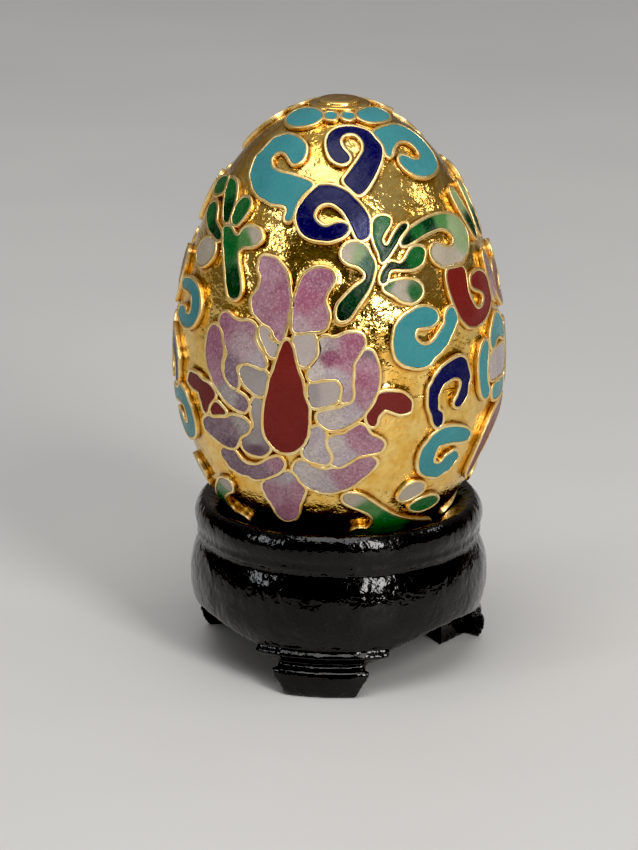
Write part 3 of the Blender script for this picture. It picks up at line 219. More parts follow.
        (1, [[-38.43,39.219],[-39.14,39.228],[-39.82,39.288],[-40.44,39.394],[-41.02,39.525],[-41.62,39.65],[-42.26,39.749],[-42.94,39.814],[-43.64,39.86],[-44.34,39.901],[-45.04,39.943],[-45.74,39.995],[-46.43,40.053],[-47.12,40.11],[-47.82,40.153],[-48.53,40.159],[-49.24,40.158],[-49.94,40.139],[-50.65,40.139],[-51.35,40.175],[-52.03,40.254],[-52.68,40.353],[-53.3,40.475],[-53.88,40.615],[-54.42,40.773],[-54.85,40.957],[-55.09,41.168],[-55.16,41.388],[-55.05,41.601],[-54.87,41.806],[-54.64,42.006],[-54.26,42.178],[-53.75,42.312],[-53.13,42.402],[-52.48,42.483],[-51.84,42.561],[-51.2,42.643],[-50.55,42.721],[-49.9,42.798],[-49.26,42.881],[-48.63,42.976],[-48.01,43.067],[-47.38,43.158],[-46.72,43.234],[-46.04,43.294],[-45.34,43.341],[-44.64,43.381],[-43.93,43.417],[-43.21,43.439],[-42.48,43.439],[-41.75,43.439],[-41.01,43.409],[-40.29,43.353],[-39.6,43.268],[-38.95,43.149],[-38.39,42.997],[-37.92,42.819],[-37.54,42.626],[-37.18,42.428],[-36.84,42.229],[-36.48,42.032],[-36.1,41.84],[-35.65,41.662],[-35.08,41.523],[-34.46,41.406],[-33.83,41.292],[-33.23,41.166],[-32.69,41.017],[-32.2,40.853],[-31.81,40.667],[-31.48,40.469],[-31.33,40.255],[-31.37,40.037],[-31.68,39.841],[-32.14,39.677],[-32.68,39.541],[-33.28,39.429],[-33.91,39.339],[-34.58,39.274],[-35.27,39.233],[-35.97,39.219],[-36.67,39.219],[-37.38,39.219],[-38.08,39.219]]),
        (0, [[-29.12,36.766],[-29.78,36.82],[-30.29,36.97],[-30.66,37.156],[-30.96,37.354],[-31.13,37.567]]),
        (0, [[-31.14,37.896],[-31.16,38.115],[-31.29,38.331],[-31.39,38.549],[-31.36,38.767],[-31.26,38.983],[-31.07,39.193],[-30.87,39.403],[-30.7,39.615],[-30.62,39.832],[-30.69,40.05],[-30.87,40.263],[-31.03,40.362]]),
        (0, [[-36.49,42.236],[-36.55,42.455],[-36.56,42.674],[-36.35,42.879],[-36.0,43.064],[-35.53,43.222],[-34.99,43.359],[-34.37,43.464],[-33.72,43.551],[-33.03,43.616],[-32.33,43.67],[-31.62,43.713],[-30.9,43.742],[-30.17,43.746],[-29.43,43.73],[-28.71,43.684],[-28.01,43.612],[-27.35,43.515],[-26.72,43.396],[-26.13,43.264],[-25.59,43.113],[-25.06,42.958],[-24.62,42.783],[-24.32,42.583],[-24.26,42.364],[-24.3,42.256]]),
        (0, [[-45.47,43.448],[-46.18,43.533],[-46.77,43.682],[-47.25,43.865],[-47.58,44.072],[-47.76,44.29],[-47.85,44.51],[-47.74,44.72],[-47.42,44.904],[-47.0,45.067],[-46.58,45.232],[-46.16,45.396],[-45.8,45.575],[-45.48,45.76],[-45.08,45.928],[-44.53,46.059],[-43.88,46.147],[-43.18,46.216],[-42.49,46.289],[-41.85,46.387],[-41.2,46.483],[-40.52,46.564],[-39.78,46.601],[-39.01,46.613],[-38.23,46.593],[-37.46,46.564],[-36.69,46.571],[-36.01,46.655],[-35.35,46.752],[-34.65,46.831],[-33.9,46.875],[-33.12,46.863],[-32.36,46.809],[-31.6,46.734],[-30.85,46.67],[-30.09,46.607],[-29.34,46.542],[-28.59,46.473],[-27.87,46.388],[-27.17,46.282],[-26.51,46.163],[-25.85,46.044],[-25.17,45.94],[-24.49,45.834],[-23.82,45.722],[-23.17,45.605],[-22.54,45.479],[-21.94,45.343],[-21.38,45.197],[-20.87,45.034],[-20.43,44.855],[-20.04,44.668],[-19.7,44.471],[-19.49,44.261],[-19.47,44.041],[-19.63,43.828],[-19.97,43.633],[-20.44,43.466],[-20.98,43.316],[-21.63,43.224],[-22.36,43.219],[-23.07,43.268],[-23.76,43.346],[-24.43,43.436],[-25.09,43.535],[-25.75,43.635],[-26.38,43.752],[-27.01,43.875],[-27.62,44.004],[-28.23,44.136],[-28.85,44.263],[-29.49,44.381],[-30.15,44.492],[-30.83,44.593],[-31.54,44.672],[-32.28,44.717],[-33.02,44.744],[-33.77,44.77],[-34.52,44.779],[-35.25,44.756],[-35.94,44.69],[-36.57,44.587],[-37.14,44.459],[-37.64,44.306],[-38.06,44.137],[-38.45,43.96],[-38.83,43.781],[-39.24,43.61],[-39.72,43.457],[-40.02,43.4]]),
        (0, [[-12.78,42.011],[-13.11,42.204],[-13.29,42.414],[-13.28,42.633],[-13.1,42.846],[-12.77,43.044],[-12.39,43.233],[-11.93,43.406],[-11.36,43.549],[-10.7,43.653],[-10.01,43.73],[-9.29,43.792],[-8.58,43.852],[-7.86,43.908],[-7.13,43.955],[-6.4,43.98],[-5.66,43.98],[-4.93,43.967],[-4.26,43.896],[-3.65,43.783],[-3.21,43.619],[-2.9,43.427],[-2.73,43.218],[-2.67,43.001],[-2.75,42.782],[-2.93,42.568],[-3.22,42.361],[-3.56,42.163],[-3.89,41.963],[-4.17,41.758],[-4.37,41.545],[-4.47,41.327],[-4.44,41.108],[-4.38,40.891],[-4.3,40.674],[-4.26,40.456],[-4.34,40.238],[-4.51,40.025],[-4.85,39.83]]),
        (0, [[-7.03,39.285],[-7.73,39.282],[-8.41,39.33],[-9.05,39.416],[-9.64,39.534],[-9.88,39.612]]),
        (0, [[-3.19,43.702],[-2.89,43.906],[-2.32,44.058],[-1.64,44.154],[-0.9,44.204],[-0.17,44.207],[0.54,44.161],[1.21,44.084],[1.83,43.982],[2.41,43.866],[2.99,43.747],[3.57,43.63],[4.14,43.508],[4.7,43.381],[5.22,43.243],[5.77,43.117],[6.41,43.032],[7.1,42.981],[7.8,42.945],[8.51,42.913],[9.21,42.878],[9.91,42.835],[10.61,42.803],[11.33,42.791],[12.04,42.772],[12.74,42.736],[13.4,42.664],[14.0,42.564],[14.52,42.429],[14.97,42.274],[15.33,42.099],[15.59,41.905],[15.72,41.695],[15.64,41.476],[15.36,41.268],[14.89,41.089],[14.32,40.942],[13.71,40.815],[13.06,40.706],[12.41,40.607],[11.77,40.496],[11.16,40.37],[10.65,40.207],[10.22,40.027],[9.86,39.831],[9.51,39.635],[9.08,39.456],[8.53,39.312],[7.93,39.188],[7.3,39.086],[6.61,39.052],[5.96,39.12],[5.36,39.23],[4.78,39.346],[4.2,39.462],[3.61,39.578],[3.04,39.698],[2.48,39.826],[1.96,39.966],[1.38,40.083],[0.71,40.143],[0.02,40.176],[-0.68,40.199],[-1.38,40.228],[-2.07,40.273],[-2.71,40.356],[-3.3,40.472],[-3.82,40.611],[-4.07,40.689]]),
        (0, [[-1.93,44.224],[-2.65,44.258],[-3.37,44.301],[-4.08,44.344],[-4.8,44.383],[-5.54,44.373],[-6.27,44.31],[-6.98,44.234],[-7.69,44.16],[-8.39,44.085],[-9.09,44.003],[-9.79,43.918],[-10.12,43.865]]),
        (0, [[-12.0,43.506],[-12.68,43.418],[-13.4,43.383],[-14.14,43.386],[-14.82,43.459],[-15.37,43.597],[-15.84,43.766],[-16.25,43.946],[-16.61,44.135],[-16.94,44.332],[-17.18,44.539],[-17.22,44.757],[-17.13,44.974],[-16.79,45.172],[-16.3,45.342],[-15.8,45.507],[-15.4,45.697],[-15.19,45.909],[-14.93,46.118],[-14.53,46.307],[-14.05,46.483],[-13.57,46.662],[-13.06,46.832],[-12.48,46.985],[-11.8,47.106],[-11.07,47.196],[-10.32,47.269],[-9.58,47.356],[-8.84,47.45],[-8.09,47.536],[-7.32,47.596],[-6.52,47.623],[-5.73,47.641],[-4.94,47.646],[-4.14,47.663],[-3.35,47.663],[-2.59,47.627],[-1.86,47.563],[-1.15,47.486],[-0.45,47.405],[0.25,47.33],[0.95,47.255],[1.65,47.181],[2.35,47.104],[3.03,47.02],[3.68,46.923],[4.32,46.824],[4.93,46.712],[5.51,46.589],[6.05,46.457],[6.55,46.312],[7.06,46.169],[7.55,46.023],[8.02,45.871],[8.51,45.727],[9.03,45.588],[9.56,45.457],[10.05,45.311],[10.5,45.155],[10.94,45.0],[11.39,44.844],[11.84,44.688],[12.28,44.533],[12.7,44.371],[13.09,44.202],[13.41,44.019],[13.58,43.816],[13.5,43.598],[13.16,43.393],[12.66,43.212],[12.08,43.057],[11.46,42.922],[11.12,42.869]]),
        (0, [[-28.75,46.575],[-29.33,46.731],[-29.86,46.902],[-30.34,47.084],[-30.74,47.28],[-31.04,47.489],[-31.14,47.708],[-31.2,47.928],[-31.09,48.143],[-30.93,48.354],[-30.78,48.566],[-30.71,48.783],[-30.64,49.0],[-30.44,49.208],[-30.08,49.396],[-29.64,49.574],[-29.34,49.772],[-29.14,49.981],[-28.95,50.191],[-28.74,50.4],[-28.53,50.608],[-28.44,50.824],[-28.42,51.042],[-28.38,51.261],[-28.27,51.476],[-28.01,51.68],[-27.6,51.868],[-27.09,52.04],[-26.54,52.208],[-25.96,52.369],[-25.24,52.492],[-24.32,52.509],[-23.4,52.492],[-22.5,52.432],[-21.65,52.341],[-20.86,52.225],[-20.15,52.088],[-19.48,51.94],[-18.85,51.782],[-18.29,51.61],[-17.82,51.426],[-17.41,51.233],[-17.1,51.029],[-16.83,50.822],[-16.61,50.61],[-16.45,50.395],[-16.31,50.179],[-16.15,49.965],[-15.94,49.754],[-15.63,49.552],[-15.28,49.355],[-14.94,49.158],[-14.58,48.965],[-14.26,48.766],[-13.99,48.561],[-13.73,48.356],[-13.46,48.153],[-13.19,47.949],[-12.93,47.745],[-12.68,47.539],[-12.6,47.323],[-12.73,47.106],[-12.87,47.002]]),
        (0, [[-17.18,45.161],[-17.79,45.029],[-18.49,44.954],[-19.24,44.95],[-19.96,45.003],[-20.6,45.116]]),
    ],
    "leaf_right": [
        (1, [[15.88,35.651],[15.18,35.66],[14.48,35.677],[13.79,35.714],[13.14,35.793],[12.59,35.925],[12.21,36.108],[11.97,36.314],[11.74,36.52],[11.45,36.72],[11.12,36.914],[10.76,37.102],[10.37,37.285],[9.96,37.463],[9.52,37.634],[9.09,37.808],[8.7,37.989],[8.43,38.192],[8.41,38.411],[8.47,38.629],[8.65,38.841],[8.9,39.045],[9.23,39.236],[9.69,39.401],[10.23,39.539],[10.85,39.639],[11.54,39.621],[12.1,39.487],[12.54,39.315],[12.85,39.118],[12.94,38.901],[13.0,38.683],[13.17,38.471],[13.61,38.301],[14.13,38.155],[14.65,38.007],[15.19,37.87],[15.86,37.907],[16.48,38.004],[17.12,38.095],[17.76,38.184],[18.4,38.275],[19.04,38.365],[19.69,38.448],[20.37,38.499],[21.07,38.511],[21.77,38.511],[22.46,38.492],[23.16,38.47],[23.82,38.404],[24.36,38.268],[24.74,38.084],[24.94,37.875],[25.05,37.659],[25.05,37.439],[25.02,37.22],[24.81,37.011],[24.44,36.825],[23.99,36.659],[23.5,36.501],[23.03,36.339],[22.51,36.195],[21.94,36.067],[21.33,35.96],[20.69,35.87],[20.03,35.806],[19.34,35.765],[18.65,35.722],[17.97,35.676],[17.28,35.651],[16.58,35.651]]),
    ],
    "leaf_left": [
        (1, [[-60.36,35.949],[-61.06,35.959],[-61.7,36.049],[-62.25,36.184],[-62.7,36.352],[-63.02,36.548],[-63.27,36.755],[-63.53,36.959],[-63.67,37.174],[-63.59,37.391],[-63.16,37.562],[-62.56,37.672],[-61.91,37.756],[-61.26,37.838],[-60.6,37.917],[-59.93,37.979],[-59.23,38.008],[-58.54,38.022],[-57.83,38.033],[-57.14,38.062],[-56.46,38.119],[-56.04,38.285],[-55.78,38.489],[-55.39,38.672],[-54.97,38.847],[-54.78,39.058],[-54.7,39.277],[-54.57,39.493],[-54.33,39.7],[-54.01,39.896],[-53.56,40.066],[-52.97,40.186],[-52.27,40.207],[-51.6,40.14],[-51.07,39.995],[-50.62,39.827],[-50.33,39.627],[-50.09,39.419],[-49.8,39.219],[-49.45,39.028],[-49.06,38.846],[-48.6,38.677],[-48.14,38.513],[-47.64,38.357],[-47.15,38.201],[-46.68,38.037],[-46.3,37.854],[-46.07,37.646],[-46.05,37.427],[-46.34,37.227],[-46.81,37.065],[-47.31,36.909],[-47.85,36.769],[-48.45,36.653],[-49.07,36.554],[-49.73,36.477],[-50.41,36.429],[-51.11,36.405],[-51.81,36.383],[-52.5,36.353],[-53.19,36.315],[-53.86,36.25],[-54.52,36.169],[-55.16,36.079],[-55.81,36.001],[-56.5,35.952],[-57.2,35.949],[-57.9,35.949],[-58.61,35.949],[-59.31,35.949],[-60.01,35.949]]),
        (0, [[-49.8,39.481],[-49.79,39.701],[-49.58,39.908],[-49.04,40.043],[-48.34,40.073],[-47.64,40.037],[-46.96,39.978],[-46.28,39.922],[-45.59,39.877],[-44.91,39.82],[-44.22,39.769],[-43.53,39.73],[-42.85,39.671],[-42.2,39.587],[-41.66,39.452],[-41.41,39.252],[-41.58,39.041],[-42.06,38.879],[-42.64,38.749],[-43.22,38.623],[-43.78,38.491],[-44.36,38.364],[-44.99,38.263],[-45.67,38.214],[-46.37,38.229],[-47.02,38.304]]),
    ],
    "scroll_upper_left": [
        (1, [[-43.23,8.164],[-44.88,8.174],[-46.42,8.23],[-47.84,8.314],[-49.13,8.42],[-50.31,8.539],[-51.49,8.655],[-52.65,8.769],[-53.74,8.892],[-54.7,9.029],[-55.48,9.186],[-56.03,9.364],[-56.41,9.556],[-56.63,9.758],[-56.76,9.964],[-56.85,10.173],[-56.93,10.382],[-57.1,10.586],[-57.34,10.785],[-57.51,10.99],[-57.7,11.192],[-58.09,11.378],[-58.59,11.552],[-58.94,11.74],[-58.92,11.952],[-58.6,12.172],[-58.16,12.39],[-57.62,12.605],[-57.12,12.821],[-56.67,13.038],[-56.24,13.255],[-55.8,13.472],[-55.3,13.685],[-54.71,13.891],[-54.03,14.086],[-53.22,14.261],[-52.37,14.422],[-51.47,14.569],[-50.58,14.715],[-49.77,14.875],[-48.99,15.041],[-48.19,15.2],[-47.39,15.356],[-46.55,15.497],[-45.63,15.608],[-44.7,15.706],[-43.8,15.817],[-42.93,15.934],[-42.04,16.041],[-41.12,16.129],[-40.17,16.189],[-39.2,16.232],[-38.24,16.275],[-37.3,16.334],[-36.39,16.412],[-35.49,16.491],[-34.58,16.559],[-33.64,16.605],[-32.69,16.627],[-31.74,16.644],[-30.78,16.644],[-29.82,16.631],[-28.86,16.624],[-27.9,16.624],[-26.94,16.63],[-26.02,16.678],[-25.34,16.811],[-25.07,17.014],[-25.03,17.232],[-25.11,17.452],[-25.12,17.671],[-25.05,17.888],[-24.73,18.086],[-24.15,18.24],[-23.34,18.317],[-22.44,18.286],[-21.68,18.148],[-21.09,17.966],[-20.7,17.757],[-20.43,17.54],[-20.31,17.32],[-20.18,17.1],[-20.09,16.88],[-20.0,16.661],[-19.81,16.441],[-19.57,16.223],[-19.23,16.007],[-18.82,15.795],[-18.34,15.586],[-17.79,15.384],[-17.17,15.187],[-16.49,14.997],[-15.76,14.812],[-14.99,14.631],[-14.26,14.442],[-13.63,14.24],[-13.34,14.021],[-13.59,13.825],[-14.24,13.682],[-15.11,13.582],[-16.05,13.5],[-17.02,13.427],[-18.01,13.358],[-19.03,13.298],[-20.05,13.237],[-21.1,13.185],[-22.16,13.135],[-23.24,13.09],[-24.32,13.044],[-25.4,12.998],[-26.5,12.958],[-27.62,12.928],[-28.74,12.904],[-29.87,12.881],[-31.01,12.855],[-32.14,12.826],[-33.27,12.796],[-34.41,12.763],[-35.55,12.727],[-36.7,12.694],[-37.85,12.658],[-38.98,12.602],[-40.05,12.505],[-41.03,12.373],[-41.9,12.215],[-42.74,12.045],[-43.55,11.869],[-44.2,11.673],[-44.21,11.457],[-43.86,11.253],[-43.34,11.062],[-42.66,10.884],[-41.72,10.746],[-40.44,10.705],[-39.12,10.708],[-37.82,10.754],[-36.59,10.836],[-35.48,10.953],[-34.47,11.088],[-33.5,11.229],[-32.6,11.377],[-31.72,11.528],[-30.83,11.673],[-29.91,11.808],[-28.87,11.909],[-27.69,11.944],[-26.48,11.897],[-25.34,11.795],[-24.3,11.652],[-23.34,11.489],[-22.6,11.292],[-22.14,11.078],[-21.91,10.857],[-21.8,10.639],[-21.84,10.423],[-21.95,10.21],[-22.2,10.004],[-22.53,9.802],[-23.0,9.609],[-23.61,9.426],[-24.37,9.257],[-25.29,9.102],[-26.31,8.96],[-27.42,8.825],[-28.62,8.702],[-29.9,8.588],[-31.27,8.488],[-32.73,8.404],[-34.25,8.332],[-35.82,8.273],[-37.44,8.227],[-39.07,8.186],[-40.73,8.165],[-42.4,8.164]]),
    ],
    "scroll_upper_right": [
        (1, [[45.37,7.005],[43.48,7.014],[41.62,7.037],[39.78,7.067],[37.99,7.109],[36.26,7.159],[34.56,7.212],[32.93,7.277],[31.4,7.356],[30.09,7.464],[29.07,7.604],[28.51,7.781],[28.51,7.99],[29.0,8.21],[29.5,8.43],[30.11,8.649],[30.44,8.868],[30.66,9.086],[30.81,9.303],[30.91,9.519],[30.93,9.733],[30.82,9.94],[30.51,10.136],[30.14,10.327],[29.96,10.53],[30.26,10.75],[30.84,10.963],[32.0,11.103],[33.25,11.096],[34.23,10.988],[35.1,10.852],[35.93,10.709],[36.7,10.554],[37.42,10.39],[38.34,10.252],[39.33,10.123],[40.39,10.004],[41.51,9.892],[42.66,9.785],[43.85,9.679],[45.12,9.59],[46.47,9.522],[47.9,9.49],[49.36,9.505],[50.8,9.544],[52.17,9.614],[53.44,9.716],[54.53,9.852],[55.44,10.012],[56.07,10.202],[56.42,10.411],[56.6,10.626],[56.68,10.845],[56.65,11.064],[56.39,11.282],[55.96,11.493],[55.22,11.676],[54.16,11.794],[52.97,11.843],[51.75,11.861],[50.53,11.832],[49.35,11.771],[48.23,11.672],[47.19,11.543],[46.18,11.403],[45.15,11.263],[44.08,11.126],[42.9,11.017],[41.62,10.965],[40.35,10.99],[39.26,11.083],[38.4,11.223],[37.69,11.385],[37.26,11.577],[37.05,11.785],[37.17,12.004],[37.39,12.224],[37.81,12.439],[38.37,12.646],[39.01,12.846],[39.74,13.033],[40.54,13.208],[41.37,13.374],[42.27,13.522],[43.22,13.652],[44.19,13.769],[45.2,13.869],[46.23,13.95],[47.28,14.017],[48.34,14.068],[49.4,14.104],[50.47,14.135],[51.53,14.161],[52.6,14.165],[53.68,14.165],[54.75,14.165],[55.82,14.163],[56.89,14.139],[57.96,14.101],[59.03,14.049],[60.09,13.99],[61.15,13.918],[62.21,13.838],[63.26,13.746],[64.3,13.645],[65.31,13.524],[66.3,13.391],[67.24,13.238],[68.14,13.073],[68.98,12.894],[69.75,12.702],[70.43,12.5],[71.08,12.292],[71.65,12.079],[72.14,11.862],[72.55,11.643],[72.87,11.423],[73.09,11.204],[73.32,10.985],[73.5,10.767],[73.62,10.55],[73.67,10.336],[73.67,10.124],[73.56,9.918],[73.37,9.716],[73.1,9.519],[72.77,9.325],[72.44,9.132],[72.02,8.943],[71.56,8.756],[70.95,8.581],[70.3,8.408],[69.6,8.237],[68.8,8.073],[67.93,7.914],[66.91,7.767],[65.84,7.623],[64.62,7.492],[63.28,7.373],[61.82,7.268],[60.25,7.174],[58.54,7.104],[56.74,7.058],[54.88,7.026],[52.99,7.006],[51.09,7.005],[49.18,7.005],[47.28,7.005]]),
    ],
    "scroll_mid_right": [
        (1, [[29.35,27.206],[28.6,27.216],[27.88,27.266],[27.18,27.335],[26.51,27.421],[25.83,27.508],[25.14,27.585],[24.45,27.655],[23.78,27.741],[23.14,27.843],[22.53,27.961],[21.94,28.087],[21.38,28.224],[20.84,28.368],[20.34,28.524],[19.87,28.684],[19.44,28.858],[19.08,29.045],[18.8,29.244],[18.61,29.453],[18.49,29.669],[18.37,29.884],[18.21,30.096],[18.05,30.309],[17.93,30.524],[17.9,30.743],[17.92,30.963],[17.94,31.183],[18.03,31.401],[18.14,31.619],[18.29,31.836],[18.46,32.05],[18.69,32.26],[18.99,32.46],[19.41,32.64],[19.92,32.797],[20.45,32.943],[21.0,33.085],[21.57,33.218],[22.18,33.328],[22.84,33.409],[23.52,33.468],[24.2,33.527],[24.87,33.594],[25.55,33.657],[26.23,33.714],[26.92,33.761],[27.62,33.786],[28.32,33.786],[29.02,33.777],[29.72,33.746],[30.41,33.703],[31.1,33.655],[31.76,33.586],[32.35,33.464],[32.85,33.309],[33.32,33.145],[33.8,32.984],[34.41,32.875],[35.04,32.776],[35.67,32.67],[36.29,32.564],[36.86,32.435],[37.39,32.286],[37.93,32.144],[38.53,32.025],[39.16,31.921],[39.75,31.797],[40.23,31.631],[40.63,31.446],[41.03,31.263],[41.49,31.092],[41.96,30.924],[42.44,30.756],[42.92,30.588],[43.38,30.416],[43.84,30.242],[44.28,30.064],[44.72,29.885],[45.13,29.7],[45.4,29.494],[45.45,29.275],[45.43,29.056],[45.33,28.84],[45.18,28.627],[44.95,28.421],[44.65,28.224],[44.23,28.05],[43.7,27.908],[43.01,27.847],[42.27,27.852],[41.57,27.927],[40.93,28.042],[40.38,28.192],[39.9,28.361],[39.53,28.553],[39.25,28.758],[39.06,28.972],[38.91,29.188],[38.71,29.4],[38.3,29.581],[37.72,29.718],[37.15,29.856],[36.63,30.008],[36.11,30.164],[35.6,30.319],[35.09,30.475],[34.57,30.63],[34.04,30.778],[33.48,30.916],[32.89,31.038],[32.24,31.132],[31.55,31.189],[30.85,31.223],[30.14,31.209],[29.45,31.158],[28.82,31.052],[28.24,30.92],[27.72,30.768],[27.26,30.599],[26.91,30.406],[26.79,30.19],[26.94,29.976],[27.27,29.782],[27.77,29.63],[28.48,29.605],[29.2,29.626],[29.92,29.626],[30.64,29.633],[31.36,29.646],[32.09,29.646],[32.81,29.635],[33.52,29.589],[34.18,29.5],[34.82,29.398],[35.47,29.295],[36.06,29.168],[36.5,28.991],[36.73,28.783],[36.76,28.563],[36.65,28.347],[36.41,28.141],[36.04,27.953],[35.55,27.791],[34.98,27.654],[34.35,27.54],[33.68,27.444],[32.99,27.367],[32.29,27.299],[31.56,27.248],[30.83,27.212],[30.09,27.206]]),
    ],
    "scroll_low_right": [
        (1, [[38.84,40.63],[38.13,40.639],[37.44,40.689],[36.77,40.765],[36.11,40.853],[35.46,40.943],[34.81,41.035],[34.18,41.139],[33.57,41.258],[33.02,41.402],[32.53,41.566],[32.08,41.741],[31.64,41.917],[31.19,42.092],[30.71,42.261],[30.22,42.429],[29.78,42.608],[29.42,42.803],[29.2,43.015],[29.09,43.233],[28.94,43.451],[28.8,43.668],[28.72,43.887],[28.68,44.107],[28.69,44.326],[28.79,44.542],[28.94,44.754],[29.11,44.965],[29.31,45.173],[29.56,45.376],[29.86,45.572],[30.27,45.75],[30.78,45.904],[31.36,46.038],[31.96,46.165],[32.57,46.287],[33.23,46.392],[33.91,46.485],[34.63,46.561],[35.34,46.636],[36.08,46.7],[36.81,46.769],[37.54,46.838],[38.28,46.893],[39.05,46.924],[39.83,46.921],[40.59,46.877],[41.32,46.799],[42.01,46.7],[42.7,46.603],[43.41,46.521],[44.15,46.459],[44.88,46.395],[45.54,46.289],[46.06,46.131],[46.44,45.944],[46.79,45.753],[47.25,45.584],[47.8,45.438],[48.31,45.283],[48.67,45.095],[48.72,44.878],[48.55,44.664],[48.19,44.467],[47.75,44.287],[47.25,44.121],[46.71,43.966],[46.1,43.841],[45.4,43.766],[44.68,43.767],[43.99,43.841],[43.35,43.947],[42.67,44.029],[41.97,44.098],[41.29,44.184],[40.69,44.312],[40.22,44.479],[39.84,44.669],[39.28,44.811],[38.57,44.88],[37.82,44.89],[37.1,44.841],[36.54,44.702],[36.2,44.509],[36.06,44.296],[36.11,44.076],[36.23,43.859],[36.35,43.641],[36.5,43.425],[36.72,43.214],[37.1,43.025],[37.74,42.929],[38.46,42.892],[39.18,42.875],[39.9,42.87],[40.63,42.87],[41.36,42.87],[42.08,42.888],[42.81,42.894],[43.53,42.92],[44.25,42.955],[44.96,43.003],[45.66,43.061],[46.37,43.111],[47.09,43.152],[47.82,43.182],[48.54,43.202],[49.27,43.21],[50.0,43.21],[50.73,43.208],[51.44,43.171],[52.11,43.094],[52.65,42.955],[53.05,42.779],[53.21,42.569],[53.06,42.353],[52.71,42.157],[52.22,41.992],[51.68,41.842],[51.07,41.717],[50.45,41.603],[49.81,41.5],[49.17,41.396],[48.51,41.31],[47.84,41.228],[47.17,41.15],[46.5,41.073],[45.82,41.003],[45.14,40.936],[44.45,40.878],[43.76,40.825],[43.06,40.78],[42.37,40.733],[41.67,40.695],[40.96,40.668],[40.26,40.642],[39.55,40.63]]),
    ],
    "scroll_edge_left": [
        (1, [[-69.23,26.496],[-69.98,26.505],[-70.72,26.536],[-71.46,26.571],[-72.19,26.611],[-72.93,26.652],[-73.65,26.7],[-74.37,26.755],[-75.08,26.819],[-75.78,26.892],[-76.45,26.984],[-77.1,27.084],[-77.67,27.218],[-78.06,27.398],[-78.08,27.616],[-77.74,27.811],[-77.17,27.957],[-76.51,28.061],[-75.81,28.131],[-75.08,28.163],[-74.35,28.174],[-73.62,28.155],[-72.89,28.128],[-72.17,28.097],[-71.44,28.076],[-70.71,28.058],[-69.97,28.056],[-69.24,28.057],[-68.51,28.09],[-67.8,28.148],[-67.11,28.22],[-66.44,28.31],[-65.83,28.432],[-65.31,28.583],[-64.91,28.765],[-64.65,28.969],[-64.56,29.187],[-64.6,29.406],[-64.71,29.623],[-64.91,29.835],[-65.31,30.017],[-65.94,30.118],[-66.65,30.153],[-67.37,30.15],[-68.07,30.102],[-68.63,29.964],[-69.19,29.826],[-69.83,29.722],[-70.51,29.65],[-71.22,29.616],[-71.95,29.616],[-72.66,29.65],[-73.35,29.708],[-74.04,29.777],[-74.71,29.853],[-75.37,29.935],[-76.0,30.037],[-76.56,30.173],[-77.04,30.334],[-77.34,30.529],[-77.35,30.747],[-77.01,30.941],[-76.49,31.094],[-75.9,31.221],[-75.28,31.332],[-74.65,31.438],[-74.01,31.536],[-73.35,31.623],[-72.66,31.682],[-71.97,31.73],[-71.27,31.784],[-70.58,31.835],[-69.88,31.875],[-69.18,31.896],[-68.47,31.896],[-67.75,31.896],[-67.05,31.876],[-66.35,31.837],[-65.65,31.791],[-64.96,31.738],[-64.28,31.678],[-63.61,31.602],[-62.95,31.517],[-62.3,31.424],[-61.67,31.316],[-61.09,31.186],[-60.57,31.032],[-60.09,30.868],[-59.64,30.693],[-59.22,30.512],[-58.84,30.324],[-58.49,30.128],[-58.18,29.928],[-57.91,29.722],[-57.79,29.505],[-57.7,29.286],[-57.74,29.067],[-57.77,28.849],[-57.86,28.632],[-58.03,28.419],[-58.26,28.213],[-58.55,28.014],[-58.9,27.825],[-59.3,27.643],[-59.74,27.47],[-60.24,27.314],[-60.78,27.169],[-61.39,27.044],[-62.01,26.929],[-62.66,26.824],[-63.33,26.732],[-64.03,26.657],[-64.75,26.604],[-65.5,26.574],[-66.24,26.548],[-66.98,26.525],[-67.73,26.505],[-68.48,26.496]]),
    ],
    "scroll_foot_left": [
